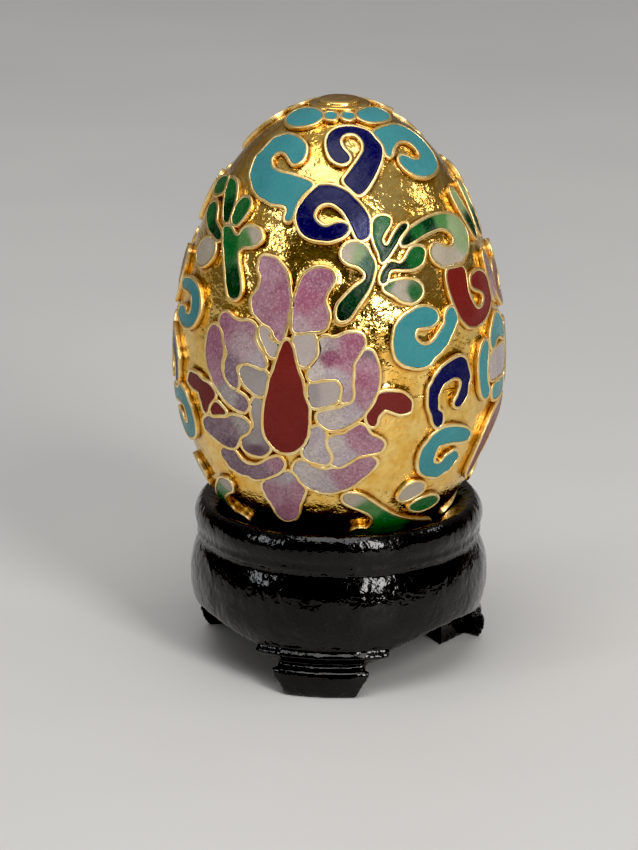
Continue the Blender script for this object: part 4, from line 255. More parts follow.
        (1, [[-71.34,38.321],[-72.04,38.331],[-72.69,38.407],[-73.25,38.541],[-73.71,38.706],[-74.19,38.867],[-74.84,38.945],[-75.53,38.985],[-76.22,39.033],[-76.89,39.101],[-77.56,39.167],[-78.25,39.195],[-78.91,39.119],[-79.55,39.032],[-80.24,39.001],[-80.93,39.038],[-81.57,39.134],[-82.19,39.24],[-82.83,39.339],[-83.44,39.453],[-83.99,39.591],[-84.49,39.749],[-84.87,39.937],[-85.13,40.143],[-85.18,40.362],[-85.03,40.573],[-84.55,40.728],[-83.91,40.82],[-83.23,40.871],[-82.52,40.901],[-81.82,40.921],[-81.1,40.921],[-80.39,40.902],[-79.69,40.879],[-78.98,40.838],[-78.29,40.787],[-77.59,40.738],[-76.9,40.689],[-76.2,40.646],[-75.5,40.611],[-74.79,40.583],[-74.09,40.565],[-73.38,40.561],[-72.67,40.561],[-71.96,40.569],[-71.25,40.581],[-70.54,40.608],[-69.84,40.647],[-69.19,40.725],[-68.82,40.914],[-68.54,41.118],[-68.37,41.331],[-68.25,41.549],[-68.12,41.766],[-68.1,41.986],[-68.26,42.199],[-68.6,42.391],[-69.12,42.538],[-69.83,42.581],[-70.55,42.577],[-71.26,42.533],[-71.81,42.397],[-72.23,42.216],[-72.7,42.051],[-73.24,41.904],[-73.87,41.801],[-74.54,41.726],[-75.23,41.66],[-75.89,41.578],[-76.55,41.493],[-77.25,41.462],[-77.95,41.507],[-78.57,41.618],[-79.12,41.761],[-79.63,41.92],[-80.09,42.093],[-80.47,42.283],[-80.76,42.486],[-80.82,42.704],[-80.59,42.909],[-80.11,43.07],[-79.56,43.209],[-79.07,43.368],[-78.7,43.555],[-78.33,43.743],[-77.86,43.907],[-77.3,44.047],[-76.64,44.138],[-75.93,44.199],[-75.22,44.257],[-74.52,44.333],[-73.86,44.431],[-73.2,44.529],[-72.5,44.604],[-71.76,44.621],[-71.01,44.611],[-70.29,44.567],[-69.57,44.509],[-68.86,44.452],[-68.14,44.394],[-67.43,44.334],[-66.73,44.267],[-66.05,44.188],[-65.39,44.097],[-64.75,43.992],[-64.14,43.875],[-63.55,43.751],[-62.98,43.619],[-62.45,43.473],[-62.02,43.302],[-61.73,43.105],[-61.5,42.9],[-61.28,42.692],[-61.08,42.484],[-60.9,42.273],[-60.78,42.058],[-60.73,41.839],[-60.75,41.619],[-60.86,41.401],[-61.01,41.184],[-61.14,40.966],[-61.27,40.749],[-61.47,40.537],[-61.78,40.337],[-62.19,40.154],[-62.66,39.985],[-63.15,39.826],[-63.61,39.657],[-64.01,39.474],[-64.47,39.303],[-64.94,39.139],[-65.48,38.995],[-66.05,38.867],[-66.68,38.767],[-67.33,38.68],[-67.96,38.582],[-68.6,38.495],[-69.26,38.418],[-69.94,38.359],[-70.63,38.323]]),
    ],
    "cobalt_top": [
        (1, [[5.83,6.348],[3.76,6.357],[1.77,6.396],[-0.13,6.458],[-1.86,6.544],[-3.45,6.648],[-4.86,6.77],[-6.09,6.907],[-7.21,7.052],[-8.12,7.213],[-8.95,7.379],[-9.64,7.554],[-10.15,7.739],[-10.5,7.934],[-10.78,8.132],[-10.9,8.339],[-10.94,8.548],[-10.86,8.762],[-10.68,8.979],[-10.41,9.197],[-10.01,9.417],[-9.62,9.637],[-9.24,9.857],[-8.73,10.076],[-8.16,10.292],[-7.53,10.505],[-6.79,10.712],[-5.96,10.909],[-5.01,11.088],[-3.94,11.243],[-2.81,11.376],[-1.63,11.485],[-0.41,11.568],[0.84,11.608],[2.08,11.608],[3.29,11.573],[4.39,11.485],[5.39,11.362],[6.22,11.204],[6.81,11.013],[7.08,10.801],[6.95,10.582],[6.52,10.371],[5.87,10.173],[5.08,9.984],[4.22,9.801],[3.32,9.618],[2.49,9.426],[1.85,9.218],[1.42,9.002],[1.15,8.783],[1.21,8.566],[1.55,8.359],[2.19,8.168],[3.09,7.996],[4.29,7.853],[5.75,7.75],[7.44,7.708],[9.18,7.714],[10.89,7.762],[12.45,7.849],[13.59,8.006],[14.49,8.184],[15.3,8.368],[15.92,8.565],[16.35,8.77],[16.45,8.987],[16.33,9.207],[16.09,9.426],[15.76,9.643],[15.23,9.852],[14.54,10.05],[13.77,10.238],[12.97,10.421],[12.17,10.603],[11.36,10.779],[10.56,10.955],[9.77,11.129],[8.99,11.302],[8.23,11.474],[7.48,11.647],[6.76,11.82],[6.04,11.991],[5.34,12.163],[4.65,12.335],[3.96,12.505],[3.29,12.675],[2.6,12.84],[1.91,13.005],[1.39,13.19],[1.19,13.4],[1.33,13.619],[1.84,13.822],[2.53,14.002],[3.3,14.168],[4.1,14.324],[4.89,14.48],[5.62,14.645],[6.31,14.817],[7.01,14.984],[7.8,15.126],[8.76,15.203],[9.77,15.192],[10.73,15.119],[11.62,15.006],[12.46,14.876],[13.24,14.726],[14.0,14.57],[14.72,14.404],[15.42,14.231],[16.11,14.055],[16.79,13.876],[17.49,13.696],[18.18,13.513],[18.88,13.33],[19.57,13.144],[20.28,12.958],[21.02,12.775],[21.79,12.591],[22.55,12.406],[23.33,12.219],[24.09,12.029],[24.85,11.835],[25.6,11.639],[26.32,11.438],[27.05,11.236],[27.78,11.032],[28.46,10.823],[29.12,10.611],[29.71,10.396],[30.22,10.178],[30.63,9.958],[30.85,9.74],[30.81,9.529],[30.66,9.324],[30.43,9.123],[30.12,8.926],[29.71,8.735],[29.19,8.551],[28.82,8.356],[28.69,8.148],[28.47,7.944],[28.07,7.749],[27.44,7.568],[26.6,7.402],[25.59,7.248],[24.43,7.106],[23.13,6.975],[21.71,6.854],[20.16,6.747],[18.51,6.649],[16.77,6.559],[14.95,6.477],[13.04,6.408],[11.02,6.362],[8.95,6.348],[6.87,6.348]]),
    ],
    "cobalt_mid": [
        (1, [[-7.44,13.812],[-8.52,13.821],[-9.59,13.851],[-10.63,13.904],[-11.58,13.991],[-12.42,14.112],[-13.12,14.266],[-13.79,14.422],[-14.4,14.587],[-15.05,14.743],[-15.7,14.899],[-16.25,15.068],[-16.79,15.24],[-17.29,15.416],[-17.74,15.598],[-18.16,15.785],[-18.55,15.973],[-18.94,16.161],[-19.31,16.352],[-19.66,16.543],[-19.97,16.739],[-20.24,16.939],[-20.38,17.149],[-20.34,17.368],[-20.21,17.588],[-20.06,17.808],[-19.79,18.025],[-19.45,18.238],[-19.05,18.446],[-18.6,18.649],[-18.11,18.846],[-17.55,19.032],[-16.95,19.208],[-16.31,19.374],[-15.59,19.516],[-14.83,19.641],[-14.03,19.742],[-13.21,19.825],[-12.39,19.908],[-11.56,19.984],[-10.72,20.032],[-9.86,20.062],[-9.01,20.088],[-8.15,20.105],[-7.3,20.114],[-6.44,20.132],[-5.59,20.132],[-4.73,20.132],[-3.88,20.113],[-3.05,20.063],[-2.22,20.006],[-1.39,19.942],[-0.57,19.873],[0.23,19.789],[1.01,19.686],[1.75,19.564],[2.44,19.425],[3.07,19.266],[3.58,19.079],[3.91,18.872],[4.03,18.653],[4.07,18.433],[3.72,18.242],[3.08,18.094],[2.32,17.981],[1.48,17.907],[0.58,17.872],[-0.34,17.872],[-1.25,17.889],[-2.14,17.948],[-2.99,18.027],[-3.82,18.118],[-4.64,18.209],[-5.48,18.291],[-6.36,18.326],[-7.24,18.271],[-8.08,18.181],[-8.86,18.06],[-9.59,17.919],[-10.21,17.749],[-10.69,17.555],[-10.99,17.343],[-10.97,17.125],[-10.79,16.912],[-10.44,16.713],[-9.94,16.533],[-9.3,16.378],[-8.52,16.253],[-7.65,16.165],[-6.7,16.115],[-5.73,16.092],[-4.75,16.092],[-3.79,16.126],[-2.88,16.206],[-2.05,16.319],[-1.26,16.445],[-0.51,16.58],[0.18,16.728],[0.78,16.894],[1.33,17.069],[1.81,17.253],[2.28,17.438],[2.71,17.627],[3.15,17.816],[3.53,18.01],[3.86,18.21],[4.19,18.407],[4.59,18.597],[4.91,18.796],[5.22,18.998],[5.52,19.2],[5.82,19.4],[6.17,19.596],[6.63,19.774],[7.21,19.923],[7.95,20.018],[8.79,20.052],[9.65,20.022],[10.48,19.947],[11.26,19.835],[11.95,19.685],[12.48,19.496],[12.83,19.286],[12.99,19.067],[13.1,18.846],[13.16,18.627],[13.25,18.407],[13.37,18.187],[13.48,17.967],[13.41,17.752],[13.23,17.545],[12.99,17.342],[12.67,17.147],[12.32,16.955],[11.94,16.766],[11.52,16.583],[11.08,16.401],[10.62,16.222],[10.1,16.05],[9.56,15.882],[8.98,15.72],[8.35,15.565],[7.71,15.409],[7.07,15.253],[6.42,15.098],[5.76,14.942],[5.08,14.789],[4.34,14.647],[3.56,14.512],[2.7,14.396],[1.8,14.289],[0.87,14.191],[-0.07,14.092],[-1.05,14.005],[-2.06,13.929],[-3.1,13.87],[-4.17,13.831],[-5.25,13.812],[-6.34,13.812]]),
    ],
    "cobalt_right": [
        (1, [[44.21,33.19],[43.51,33.199],[42.81,33.236],[42.12,33.283],[41.43,33.336],[40.75,33.394],[40.07,33.457],[39.41,33.53],[38.75,33.607],[38.09,33.689],[37.45,33.776],[36.8,33.863],[36.17,33.959],[35.59,34.084],[35.09,34.239],[34.6,34.395],[34.08,34.543],[33.55,34.686],[33.06,34.842],[32.69,35.027],[32.43,35.232],[32.08,35.419],[31.6,35.58],[31.11,35.737],[30.83,35.935],[30.73,36.153],[30.65,36.371],[30.62,36.591],[30.62,36.811],[30.62,37.032],[30.62,37.252],[30.62,37.472],[30.61,37.692],[30.64,37.912],[30.78,38.127],[30.99,38.336],[31.26,38.54],[31.56,38.737],[31.87,38.934],[32.15,39.134],[32.31,39.348],[32.46,39.563],[32.67,39.772],[32.96,39.971],[33.32,40.159],[33.74,40.333],[34.25,40.486],[34.86,40.595],[35.55,40.63],[36.25,40.592],[36.85,40.477],[37.3,40.307],[37.57,40.103],[37.71,39.887],[37.73,39.667],[37.73,39.447],[37.63,39.23],[37.39,39.024],[37.0,38.841],[36.5,38.688],[35.91,38.569],[35.35,38.441],[35.27,38.225],[35.32,38.006],[35.33,37.786],[35.3,37.566],[35.19,37.348],[35.21,37.13],[35.41,36.92],[35.75,36.728],[36.13,36.544],[36.54,36.364],[36.95,36.187],[37.41,36.02],[38.01,35.908],[38.66,35.827],[39.33,35.757],[39.99,35.688],[40.67,35.627],[41.35,35.583],[42.05,35.571],[42.74,35.604],[43.41,35.674],[44.02,35.78],[44.48,35.942],[44.64,36.155],[44.61,36.375],[44.48,36.591],[44.24,36.797],[43.9,36.99],[43.61,37.19],[43.32,37.391],[42.92,37.571],[42.45,37.735],[42.0,37.902],[41.66,38.094],[41.58,38.311],[41.82,38.515],[42.3,38.676],[42.89,38.794],[43.55,38.874],[44.24,38.91],[44.94,38.905],[45.61,38.834],[46.18,38.708],[46.67,38.552],[47.13,38.387],[47.58,38.217],[48.01,38.046],[48.41,37.864],[48.71,37.666],[48.9,37.455],[49.01,37.238],[49.08,37.019],[49.16,36.801],[49.37,36.59],[49.7,36.397],[50.0,36.198],[50.16,35.984],[50.17,35.764],[50.11,35.546],[49.92,35.334],[49.7,35.125],[49.46,34.919],[49.23,34.711],[49.04,34.499],[48.89,34.285],[48.68,34.076],[48.38,33.878],[47.96,33.703],[47.45,33.552],[46.88,33.425],[46.26,33.321],[45.61,33.237],[44.92,33.191]]),
    ],
    "sprig_right": [
        (1, [[5.3,19.95],[4.44,19.96],[3.64,20.021],[2.89,20.108],[2.18,20.212],[1.57,20.347],[1.02,20.499],[0.57,20.669],[0.26,20.863],[0.08,21.07],[0.04,21.286],[0.13,21.506],[0.37,21.72],[0.82,21.914],[1.42,22.078],[2.06,22.228],[2.79,22.345],[3.54,22.442],[4.32,22.519],[5.1,22.579],[5.89,22.642],[6.65,22.725],[7.32,22.855],[7.92,23.008],[8.44,23.18],[8.92,23.362],[9.23,23.565],[9.06,23.773],[8.61,23.945],[8.03,24.087],[7.42,24.214],[6.78,24.331],[6.14,24.442],[5.48,24.548],[4.87,24.672],[4.28,24.805],[3.72,24.945],[3.17,25.086],[2.65,25.236],[2.11,25.381],[1.61,25.537],[1.11,25.692],[0.61,25.847],[0.15,26.011],[-0.33,26.169],[-0.75,26.342],[-1.08,26.532],[-1.34,26.731],[-1.53,26.939],[-1.64,27.153],[-1.69,27.37],[-1.64,27.59],[-1.55,27.808],[-1.24,28.013],[-0.76,28.187],[-0.13,28.307],[0.59,28.363],[1.31,28.348],[2.0,28.285],[2.64,28.188],[3.22,28.065],[3.72,27.911],[4.21,27.753],[4.63,27.578],[5.03,27.398],[5.42,27.217],[5.81,27.037],[6.24,26.862],[6.68,26.691],[7.13,26.521],[7.57,26.35],[8.03,26.181],[8.48,26.009],[8.94,25.84],[9.4,25.669],[9.85,25.497],[10.27,25.318],[10.62,25.126],[10.95,24.931],[11.3,24.738],[11.64,24.545],[11.98,24.35],[12.32,24.155],[12.61,23.953],[12.88,23.749],[13.15,23.545],[13.41,23.339],[13.65,23.131],[13.77,22.915],[13.8,22.696],[13.74,22.477],[13.64,22.259],[13.44,22.045],[13.14,21.84],[12.76,21.643],[12.4,21.443],[12.08,21.238],[11.75,21.034],[11.37,20.835],[10.92,20.645],[10.38,20.47],[9.75,20.318],[9.03,20.191],[8.25,20.089],[7.43,20.012],[6.58,19.961],[5.72,19.95]]),
        (1, [[18.42,17.312],[17.48,17.321],[16.6,17.388],[15.77,17.489],[15.06,17.627],[14.44,17.787],[13.95,17.97],[13.59,18.17],[13.45,18.385],[13.39,18.603],[13.26,18.82],[13.1,19.035],[12.98,19.251],[13.01,19.471],[13.03,19.691],[13.14,19.909],[13.31,20.126],[13.5,20.342],[13.72,20.555],[13.98,20.766],[14.3,20.971],[14.6,21.177],[14.84,21.388],[14.97,21.605],[15.03,21.824],[15.06,22.044],[15.31,22.252],[15.87,22.409],[16.65,22.449],[17.4,22.373],[18.04,22.239],[18.63,22.088],[19.2,21.929],[19.75,21.763],[20.29,21.596],[20.82,21.424],[21.37,21.254],[21.93,21.088],[22.52,20.928],[23.1,20.763],[23.66,20.591],[24.19,20.414],[24.71,20.233],[25.26,20.056],[25.84,19.887],[26.5,19.735],[27.21,19.593],[27.94,19.461],[28.69,19.333],[29.39,19.182],[29.95,19.001],[30.3,18.793],[30.27,18.578],[29.71,18.423],[28.88,18.359],[27.98,18.37],[27.1,18.429],[26.26,18.527],[25.5,18.653],[24.79,18.798],[24.12,18.954],[23.47,19.109],[22.83,19.267],[22.23,19.433],[21.67,19.606],[21.16,19.788],[20.67,19.973],[20.19,20.158],[19.7,20.34],[19.14,20.508],[18.41,20.521],[17.92,20.344],[17.68,20.135],[17.84,19.92],[18.24,19.726],[18.74,19.544],[19.29,19.371],[19.86,19.203],[20.47,19.039],[21.11,18.883],[21.69,18.714],[22.19,18.526],[22.58,18.325],[22.83,18.111],[22.86,17.892],[22.53,17.692],[21.92,17.535],[21.13,17.428],[20.26,17.354],[19.35,17.312]]),
        (0, [[17.98,22.436],[17.41,22.592],[16.84,22.747],[16.27,22.904],[15.79,23.077],[15.35,23.26],[14.98,23.453],[14.67,23.655],[14.47,23.866],[14.44,24.085],[14.51,24.303],[14.88,24.496],[15.51,24.622],[16.27,24.639],[17.01,24.576],[17.62,24.442],[18.03,24.255],[18.3,24.049],[18.51,23.837],[18.77,23.629],[19.15,23.436],[19.81,23.321],[20.6,23.289],[21.39,23.285],[22.17,23.303],[22.96,23.33],[23.74,23.361],[24.52,23.39],[25.3,23.409],[26.09,23.421],[26.87,23.436],[27.66,23.441],[28.45,23.421],[29.24,23.398],[30.03,23.353],[30.81,23.29],[31.57,23.215],[32.32,23.122],[33.02,23.0],[33.63,22.841],[34.15,22.661],[34.6,22.466],[34.99,22.263],[35.32,22.054],[35.54,21.837],[35.57,21.618],[35.37,21.414],[34.96,21.237],[34.36,21.104],[33.64,21.01],[32.86,20.952],[32.03,20.941],[31.2,20.941],[30.36,20.978],[29.56,21.058],[28.82,21.173],[28.13,21.312],[27.54,21.476],[26.98,21.647],[26.45,21.824],[25.94,22.003],[25.35,22.162],[24.67,22.292],[23.97,22.41],[23.19,22.457],[22.43,22.394],[21.7,22.306],[20.95,22.228],[20.15,22.189],[19.35,22.208],[18.61,22.298],[18.27,22.361]]),
        (0, [[16.21,24.643],[15.71,24.808],[15.61,25.023],[15.86,25.228],[16.39,25.387],[16.98,25.524],[17.62,25.643],[18.27,25.759],[18.91,25.872],[19.54,25.994],[20.14,26.125],[20.72,26.263],[21.31,26.399],[21.91,26.527],[22.56,26.634],[23.23,26.724],[23.94,26.792],[24.66,26.846],[25.39,26.884],[26.13,26.901],[26.87,26.884],[27.61,26.839],[28.33,26.769],[29.03,26.68],[29.69,26.568],[30.3,26.429],[30.84,26.269],[31.25,26.077],[31.53,25.868],[31.59,25.649],[31.58,25.43],[31.4,25.221],[31.1,25.025],[30.64,24.857],[30.13,24.703],[29.54,24.571],[28.9,24.459],[28.2,24.373],[27.48,24.303],[26.74,24.243],[25.99,24.19],[25.23,24.147],[24.45,24.141],[23.67,24.141],[22.89,24.15],[22.12,24.165],[21.34,24.187],[20.56,24.21],[19.79,24.241],[19.02,24.283],[18.27,24.343],[17.91,24.383]]),
    ],
    "sprig_comma": [
        (1, [[44.73,18.121],[43.83,18.13],[42.92,18.147],[42.02,18.177],[41.12,18.207],[40.23,18.245],[39.35,18.288],[38.48,18.336],[37.61,18.39],[36.76,18.452],[35.92,18.521],[35.1,18.597],[34.28,18.673],[33.48,18.754],[32.67,18.833],[31.87,18.911],[31.07,18.991],[30.31,19.083],[29.59,19.19],[28.92,19.317],[28.29,19.452],[27.68,19.591],[27.07,19.729],[26.47,19.869],[25.89,20.012],[25.34,20.162],[24.9,20.335],[24.68,20.536],[24.86,20.753],[25.52,20.905],[26.35,20.941],[27.19,20.94],[27.99,20.901],[28.78,20.843],[29.56,20.777],[30.33,20.708],[31.11,20.638],[31.89,20.57],[32.68,20.505],[33.46,20.432],[34.24,20.36],[35.03,20.29],[35.83,20.223],[36.64,20.164],[37.47,20.115],[38.29,20.064],[39.13,20.018],[39.96,19.974],[40.8,19.935],[41.65,19.898],[42.5,19.865],[43.36,19.841],[44.22,19.821],[45.08,19.821],[45.94,19.824],[46.79,19.86],[47.62,19.918],[48.41,19.998],[49.14,20.107],[49.82,20.231],[50.47,20.368],[51.0,20.531],[51.42,20.716],[51.68,20.921],[51.76,21.139],[51.55,21.354],[51.06,21.535],[50.36,21.657],[49.59,21.745],[48.79,21.798],[47.97,21.82],[47.17,21.78],[46.4,21.71],[45.65,21.62],[44.93,21.515],[44.21,21.408],[43.5,21.295],[42.76,21.194],[41.99,21.111],[41.16,21.082],[40.34,21.116],[39.59,21.206],[38.93,21.331],[38.34,21.481],[37.84,21.651],[37.51,21.848],[37.37,22.063],[37.47,22.282],[37.68,22.496],[38.01,22.7],[38.45,22.888],[38.99,23.053],[39.57,23.208],[40.16,23.36],[40.8,23.492],[41.47,23.612],[42.17,23.715],[42.9,23.796],[43.66,23.845],[44.45,23.861],[45.23,23.861],[46.02,23.861],[46.8,23.84],[47.58,23.818],[48.37,23.801],[49.15,23.815],[49.92,23.844],[50.68,23.89],[51.46,23.901],[52.25,23.886],[53.02,23.833],[53.77,23.755],[54.5,23.665],[55.23,23.566],[55.94,23.456],[56.63,23.335],[57.31,23.203],[57.96,23.064],[58.59,22.913],[59.21,22.757],[59.83,22.601],[60.41,22.434],[60.98,22.261],[61.51,22.079],[62.0,21.889],[62.42,21.687],[62.77,21.478],[63.03,21.263],[63.16,21.043],[63.25,20.823],[63.21,20.606],[63.07,20.396],[62.84,20.193],[62.53,20.001],[62.15,19.818],[61.7,19.645],[61.21,19.481],[60.66,19.328],[60.08,19.181],[59.45,19.046],[58.76,18.927],[58.05,18.815],[57.3,18.716],[56.52,18.625],[55.72,18.543],[54.91,18.467],[54.08,18.397],[53.23,18.335],[52.37,18.282],[51.49,18.241],[50.6,18.208],[49.71,18.175],[48.82,18.144],[47.92,18.122],[47.01,18.121],[46.1,18.121],[45.19,18.121]]),
    ],
    "sprig_edge": [
        (1, [[65.37,15.994],[64.57,16.108],[63.92,16.263],[63.4,16.437],[63.09,16.639],[62.96,16.854],[62.9,17.073],[62.87,17.292],[62.91,17.512],[62.98,17.732],[63.06,17.953],[63.13,18.174],[63.28,18.393],[63.44,18.612],[63.6,18.831],[63.78,19.05],[63.97,19.268],[64.19,19.485],[64.43,19.7],[64.67,19.915],[64.93,20.129],[65.18,20.343],[65.44,20.556],[65.73,20.767],[66.05,20.974],[66.37,21.181],[66.71,21.386],[67.07,21.589],[67.44,21.789],[67.96,21.962],[68.57,22.113],[69.34,22.177],[70.12,22.127],[70.71,21.979],[71.14,21.794],[71.38,21.583],[71.48,21.365],[71.48,21.144],[71.47,20.924],[71.47,20.703],[71.39,20.483],[71.3,20.264],[71.17,20.046],[71.02,19.828],[70.87,19.611],[70.7,19.393],[70.53,19.176],[70.37,18.959],[70.2,18.741],[70.04,18.524],[69.89,18.305],[69.72,18.088],[69.54,17.871],[69.35,17.653],[69.18,17.436],[69.01,17.218],[68.84,16.999],[68.66,16.781],[68.47,16.564],[68.14,16.354],[67.57,16.171],[66.81,16.025],[65.85,15.978]]),
        (1, [[78.56,16.005],[77.73,16.129],[77.13,16.307],[76.69,16.508],[76.42,16.721],[76.22,16.938],[76.04,17.155],[75.88,17.373],[75.72,17.591],[75.57,17.809],[75.41,18.027],[75.28,18.246],[75.13,18.463],[74.93,18.679],[74.74,18.895],[74.58,19.112],[74.43,19.33],[74.29,19.548],[74.13,19.765],[73.96,19.981],[73.83,20.199],[73.72,20.418],[73.64,20.637],[73.56,20.856],[73.56,21.076],[73.55,21.296],[73.7,21.512],[74.01,21.715],[74.4,21.908],[74.91,22.078],[75.59,22.185],[76.38,22.146],[76.99,21.996],[77.53,21.827],[77.99,21.641],[78.35,21.44],[78.68,21.233],[78.99,21.026],[79.3,20.818],[79.6,20.609],[79.9,20.399],[80.16,20.186],[80.41,19.972],[80.63,19.756],[80.86,19.54],[81.08,19.324],[81.29,19.108],[81.48,18.89],[81.64,18.671],[81.8,18.452],[81.95,18.233],[82.1,18.014],[82.18,17.794],[82.25,17.573],[82.28,17.354],[82.24,17.135],[82.15,16.919],[81.98,16.706],[81.74,16.498],[81.36,16.303],[80.78,16.136],[80.01,16.015],[79.05,15.989]]),
    ],
    "sprig_left": [
        (1, [[-39.13,19.099],[-40.02,19.108],[-40.9,19.156],[-41.77,19.224],[-42.6,19.321],[-43.38,19.444],[-44.02,19.608],[-44.5,19.803],[-44.8,20.015],[-45.05,20.23],[-45.68,20.366],[-46.52,20.356],[-47.3,20.29],[-48.02,20.187],[-48.71,20.07],[-49.4,19.948],[-50.1,19.835],[-50.87,19.745],[-51.69,19.691],[-52.55,19.679],[-53.42,19.697],[-54.25,19.758],[-55.01,19.866],[-55.59,20.029],[-55.73,20.244],[-55.61,20.459],[-55.24,20.653],[-54.79,20.836],[-54.31,21.013],[-53.91,21.203],[-53.61,21.404],[-53.29,21.604],[-52.95,21.801],[-52.57,21.991],[-52.13,22.172],[-51.67,22.348],[-51.24,22.528],[-50.85,22.715],[-50.47,22.903],[-50.11,23.094],[-49.76,23.287],[-49.44,23.483],[-49.09,23.676],[-48.78,23.872],[-48.44,24.064],[-48.09,24.255],[-47.74,24.447],[-47.44,24.643],[-47.18,24.846],[-46.92,25.048],[-46.65,25.249],[-46.37,25.449],[-46.07,25.646],[-45.77,25.842],[-45.47,26.039],[-45.15,26.231],[-44.82,26.423],[-44.46,26.61],[-44.05,26.787],[-43.56,26.943],[-42.96,27.061],[-42.26,27.118],[-41.52,27.137],[-40.78,27.113],[-40.05,27.055],[-39.35,26.961],[-38.74,26.822],[-38.28,26.64],[-38.01,26.43],[-37.87,26.212],[-37.87,25.993],[-37.92,25.777],[-38.08,25.567],[-38.27,25.361],[-38.52,25.16],[-38.78,24.962],[-39.04,24.762],[-39.32,24.566],[-39.57,24.366],[-39.85,24.169],[-40.15,23.976],[-40.44,23.781],[-40.77,23.59],[-41.11,23.402],[-41.47,23.216],[-41.83,23.03],[-42.17,22.841],[-42.41,22.639],[-42.54,22.427],[-42.6,22.21],[-42.46,21.992],[-42.05,21.793],[-41.4,21.643],[-40.61,21.556],[-39.79,21.504],[-38.96,21.477],[-38.13,21.448],[-37.3,21.392],[-36.49,21.315],[-35.69,21.217],[-34.91,21.105],[-34.2,20.962],[-33.57,20.791],[-33.13,20.588],[-32.95,20.369],[-32.94,20.153],[-33.15,19.952],[-33.45,19.763],[-33.9,19.598],[-34.41,19.445],[-35.04,19.319],[-35.76,19.224],[-36.56,19.163],[-37.39,19.122],[-38.25,19.099]]),
        (0, [[-54.35,19.627],[-53.67,19.486],[-53.28,19.289],[-53.18,19.071],[-53.24,18.853],[-53.36,18.637],[-53.49,18.421],[-53.6,18.205],[-53.7,17.988],[-53.8,17.771],[-53.92,17.554],[-54.1,17.341],[-54.35,17.132],[-54.66,16.927],[-55.01,16.726],[-55.44,16.533],[-55.9,16.342],[-56.4,16.156],[-56.95,15.977],[-57.56,15.807],[-58.22,15.643],[-58.94,15.491],[-59.71,15.35],[-60.54,15.22],[-61.43,15.109],[-62.36,15.012],[-63.35,14.94],[-64.37,14.897],[-65.4,14.883],[-66.43,14.883],[-67.46,14.883],[-68.42,14.938],[-68.99,15.103],[-69.27,15.307],[-69.26,15.524],[-69.08,15.742],[-68.55,15.937],[-67.89,16.112],[-67.45,16.312],[-67.29,16.53],[-66.83,16.729],[-66.14,16.891],[-65.51,17.063],[-64.93,17.244],[-64.37,17.427],[-63.84,17.612],[-63.3,17.795],[-62.74,17.973],[-62.16,18.148],[-61.58,18.319],[-61.0,18.49],[-60.45,18.666],[-59.91,18.841],[-59.38,19.019],[-58.83,19.191],[-58.26,19.356],[-57.59,19.497],[-56.86,19.614],[-56.04,19.679],[-55.18,19.683],[-54.35,19.627]]),
        (0, [[-52.76,19.008],[-52.44,19.207],[-51.89,19.371],[-51.21,19.495],[-50.4,19.564],[-49.55,19.585],[-48.69,19.582],[-47.85,19.513],[-47.14,19.377],[-46.53,19.207],[-46.06,19.012],[-45.63,18.811],[-45.23,18.607],[-44.85,18.4],[-44.51,18.19],[-44.19,17.977],[-43.97,17.76],[-43.86,17.542],[-43.81,17.324],[-43.89,17.11],[-44.07,16.902],[-44.37,16.704],[-44.9,16.539],[-45.57,16.402],[-46.39,16.304],[-47.29,16.246],[-48.26,16.245],[-49.23,16.254],[-50.18,16.312],[-51.04,16.425],[-51.76,16.579],[-52.34,16.759],[-52.78,16.958],[-53.11,17.167],[-53.27,17.383],[-53.31,17.602]]),
        (0, [[-55.68,20.607],[-56.35,20.475],[-57.08,20.365],[-57.84,20.266],[-58.62,20.177],[-59.4,20.089],[-60.2,20.004],[-61.0,19.921],[-61.77,19.819],[-62.47,19.683],[-63.03,19.511],[-63.5,19.322],[-63.96,19.129],[-64.4,18.933],[-64.89,18.744],[-65.48,18.57],[-66.14,18.413],[-66.88,18.274],[-67.68,18.155],[-68.52,18.055],[-69.41,17.977],[-70.32,17.932],[-71.23,17.93],[-72.14,17.94],[-73.0,17.996],[-73.8,18.083],[-74.53,18.193],[-75.19,18.322],[-75.8,18.464],[-76.28,18.633],[-76.61,18.824],[-76.64,19.039],[-76.48,19.259],[-76.05,19.464],[-75.48,19.647],[-74.82,19.809],[-74.13,19.963],[-73.4,20.1],[-72.65,20.225],[-71.87,20.339],[-71.1,20.45],[-70.32,20.557],[-69.55,20.662],[-68.77,20.764],[-68.01,20.87],[-67.23,20.964],[-66.45,21.056],[-65.65,21.132],[-64.85,21.201],[-64.04,21.259],[-63.22,21.313],[-62.41,21.366],[-61.6,21.42],[-60.8,21.473],[-60.0,21.531],[-59.2,21.585],[-58.39,21.638],[-57.58,21.67],[-56.76,21.67],[-55.95,21.635],[-55.21,21.538],[-54.67,21.371],[-54.49,21.158],[-54.52,21.048]]),
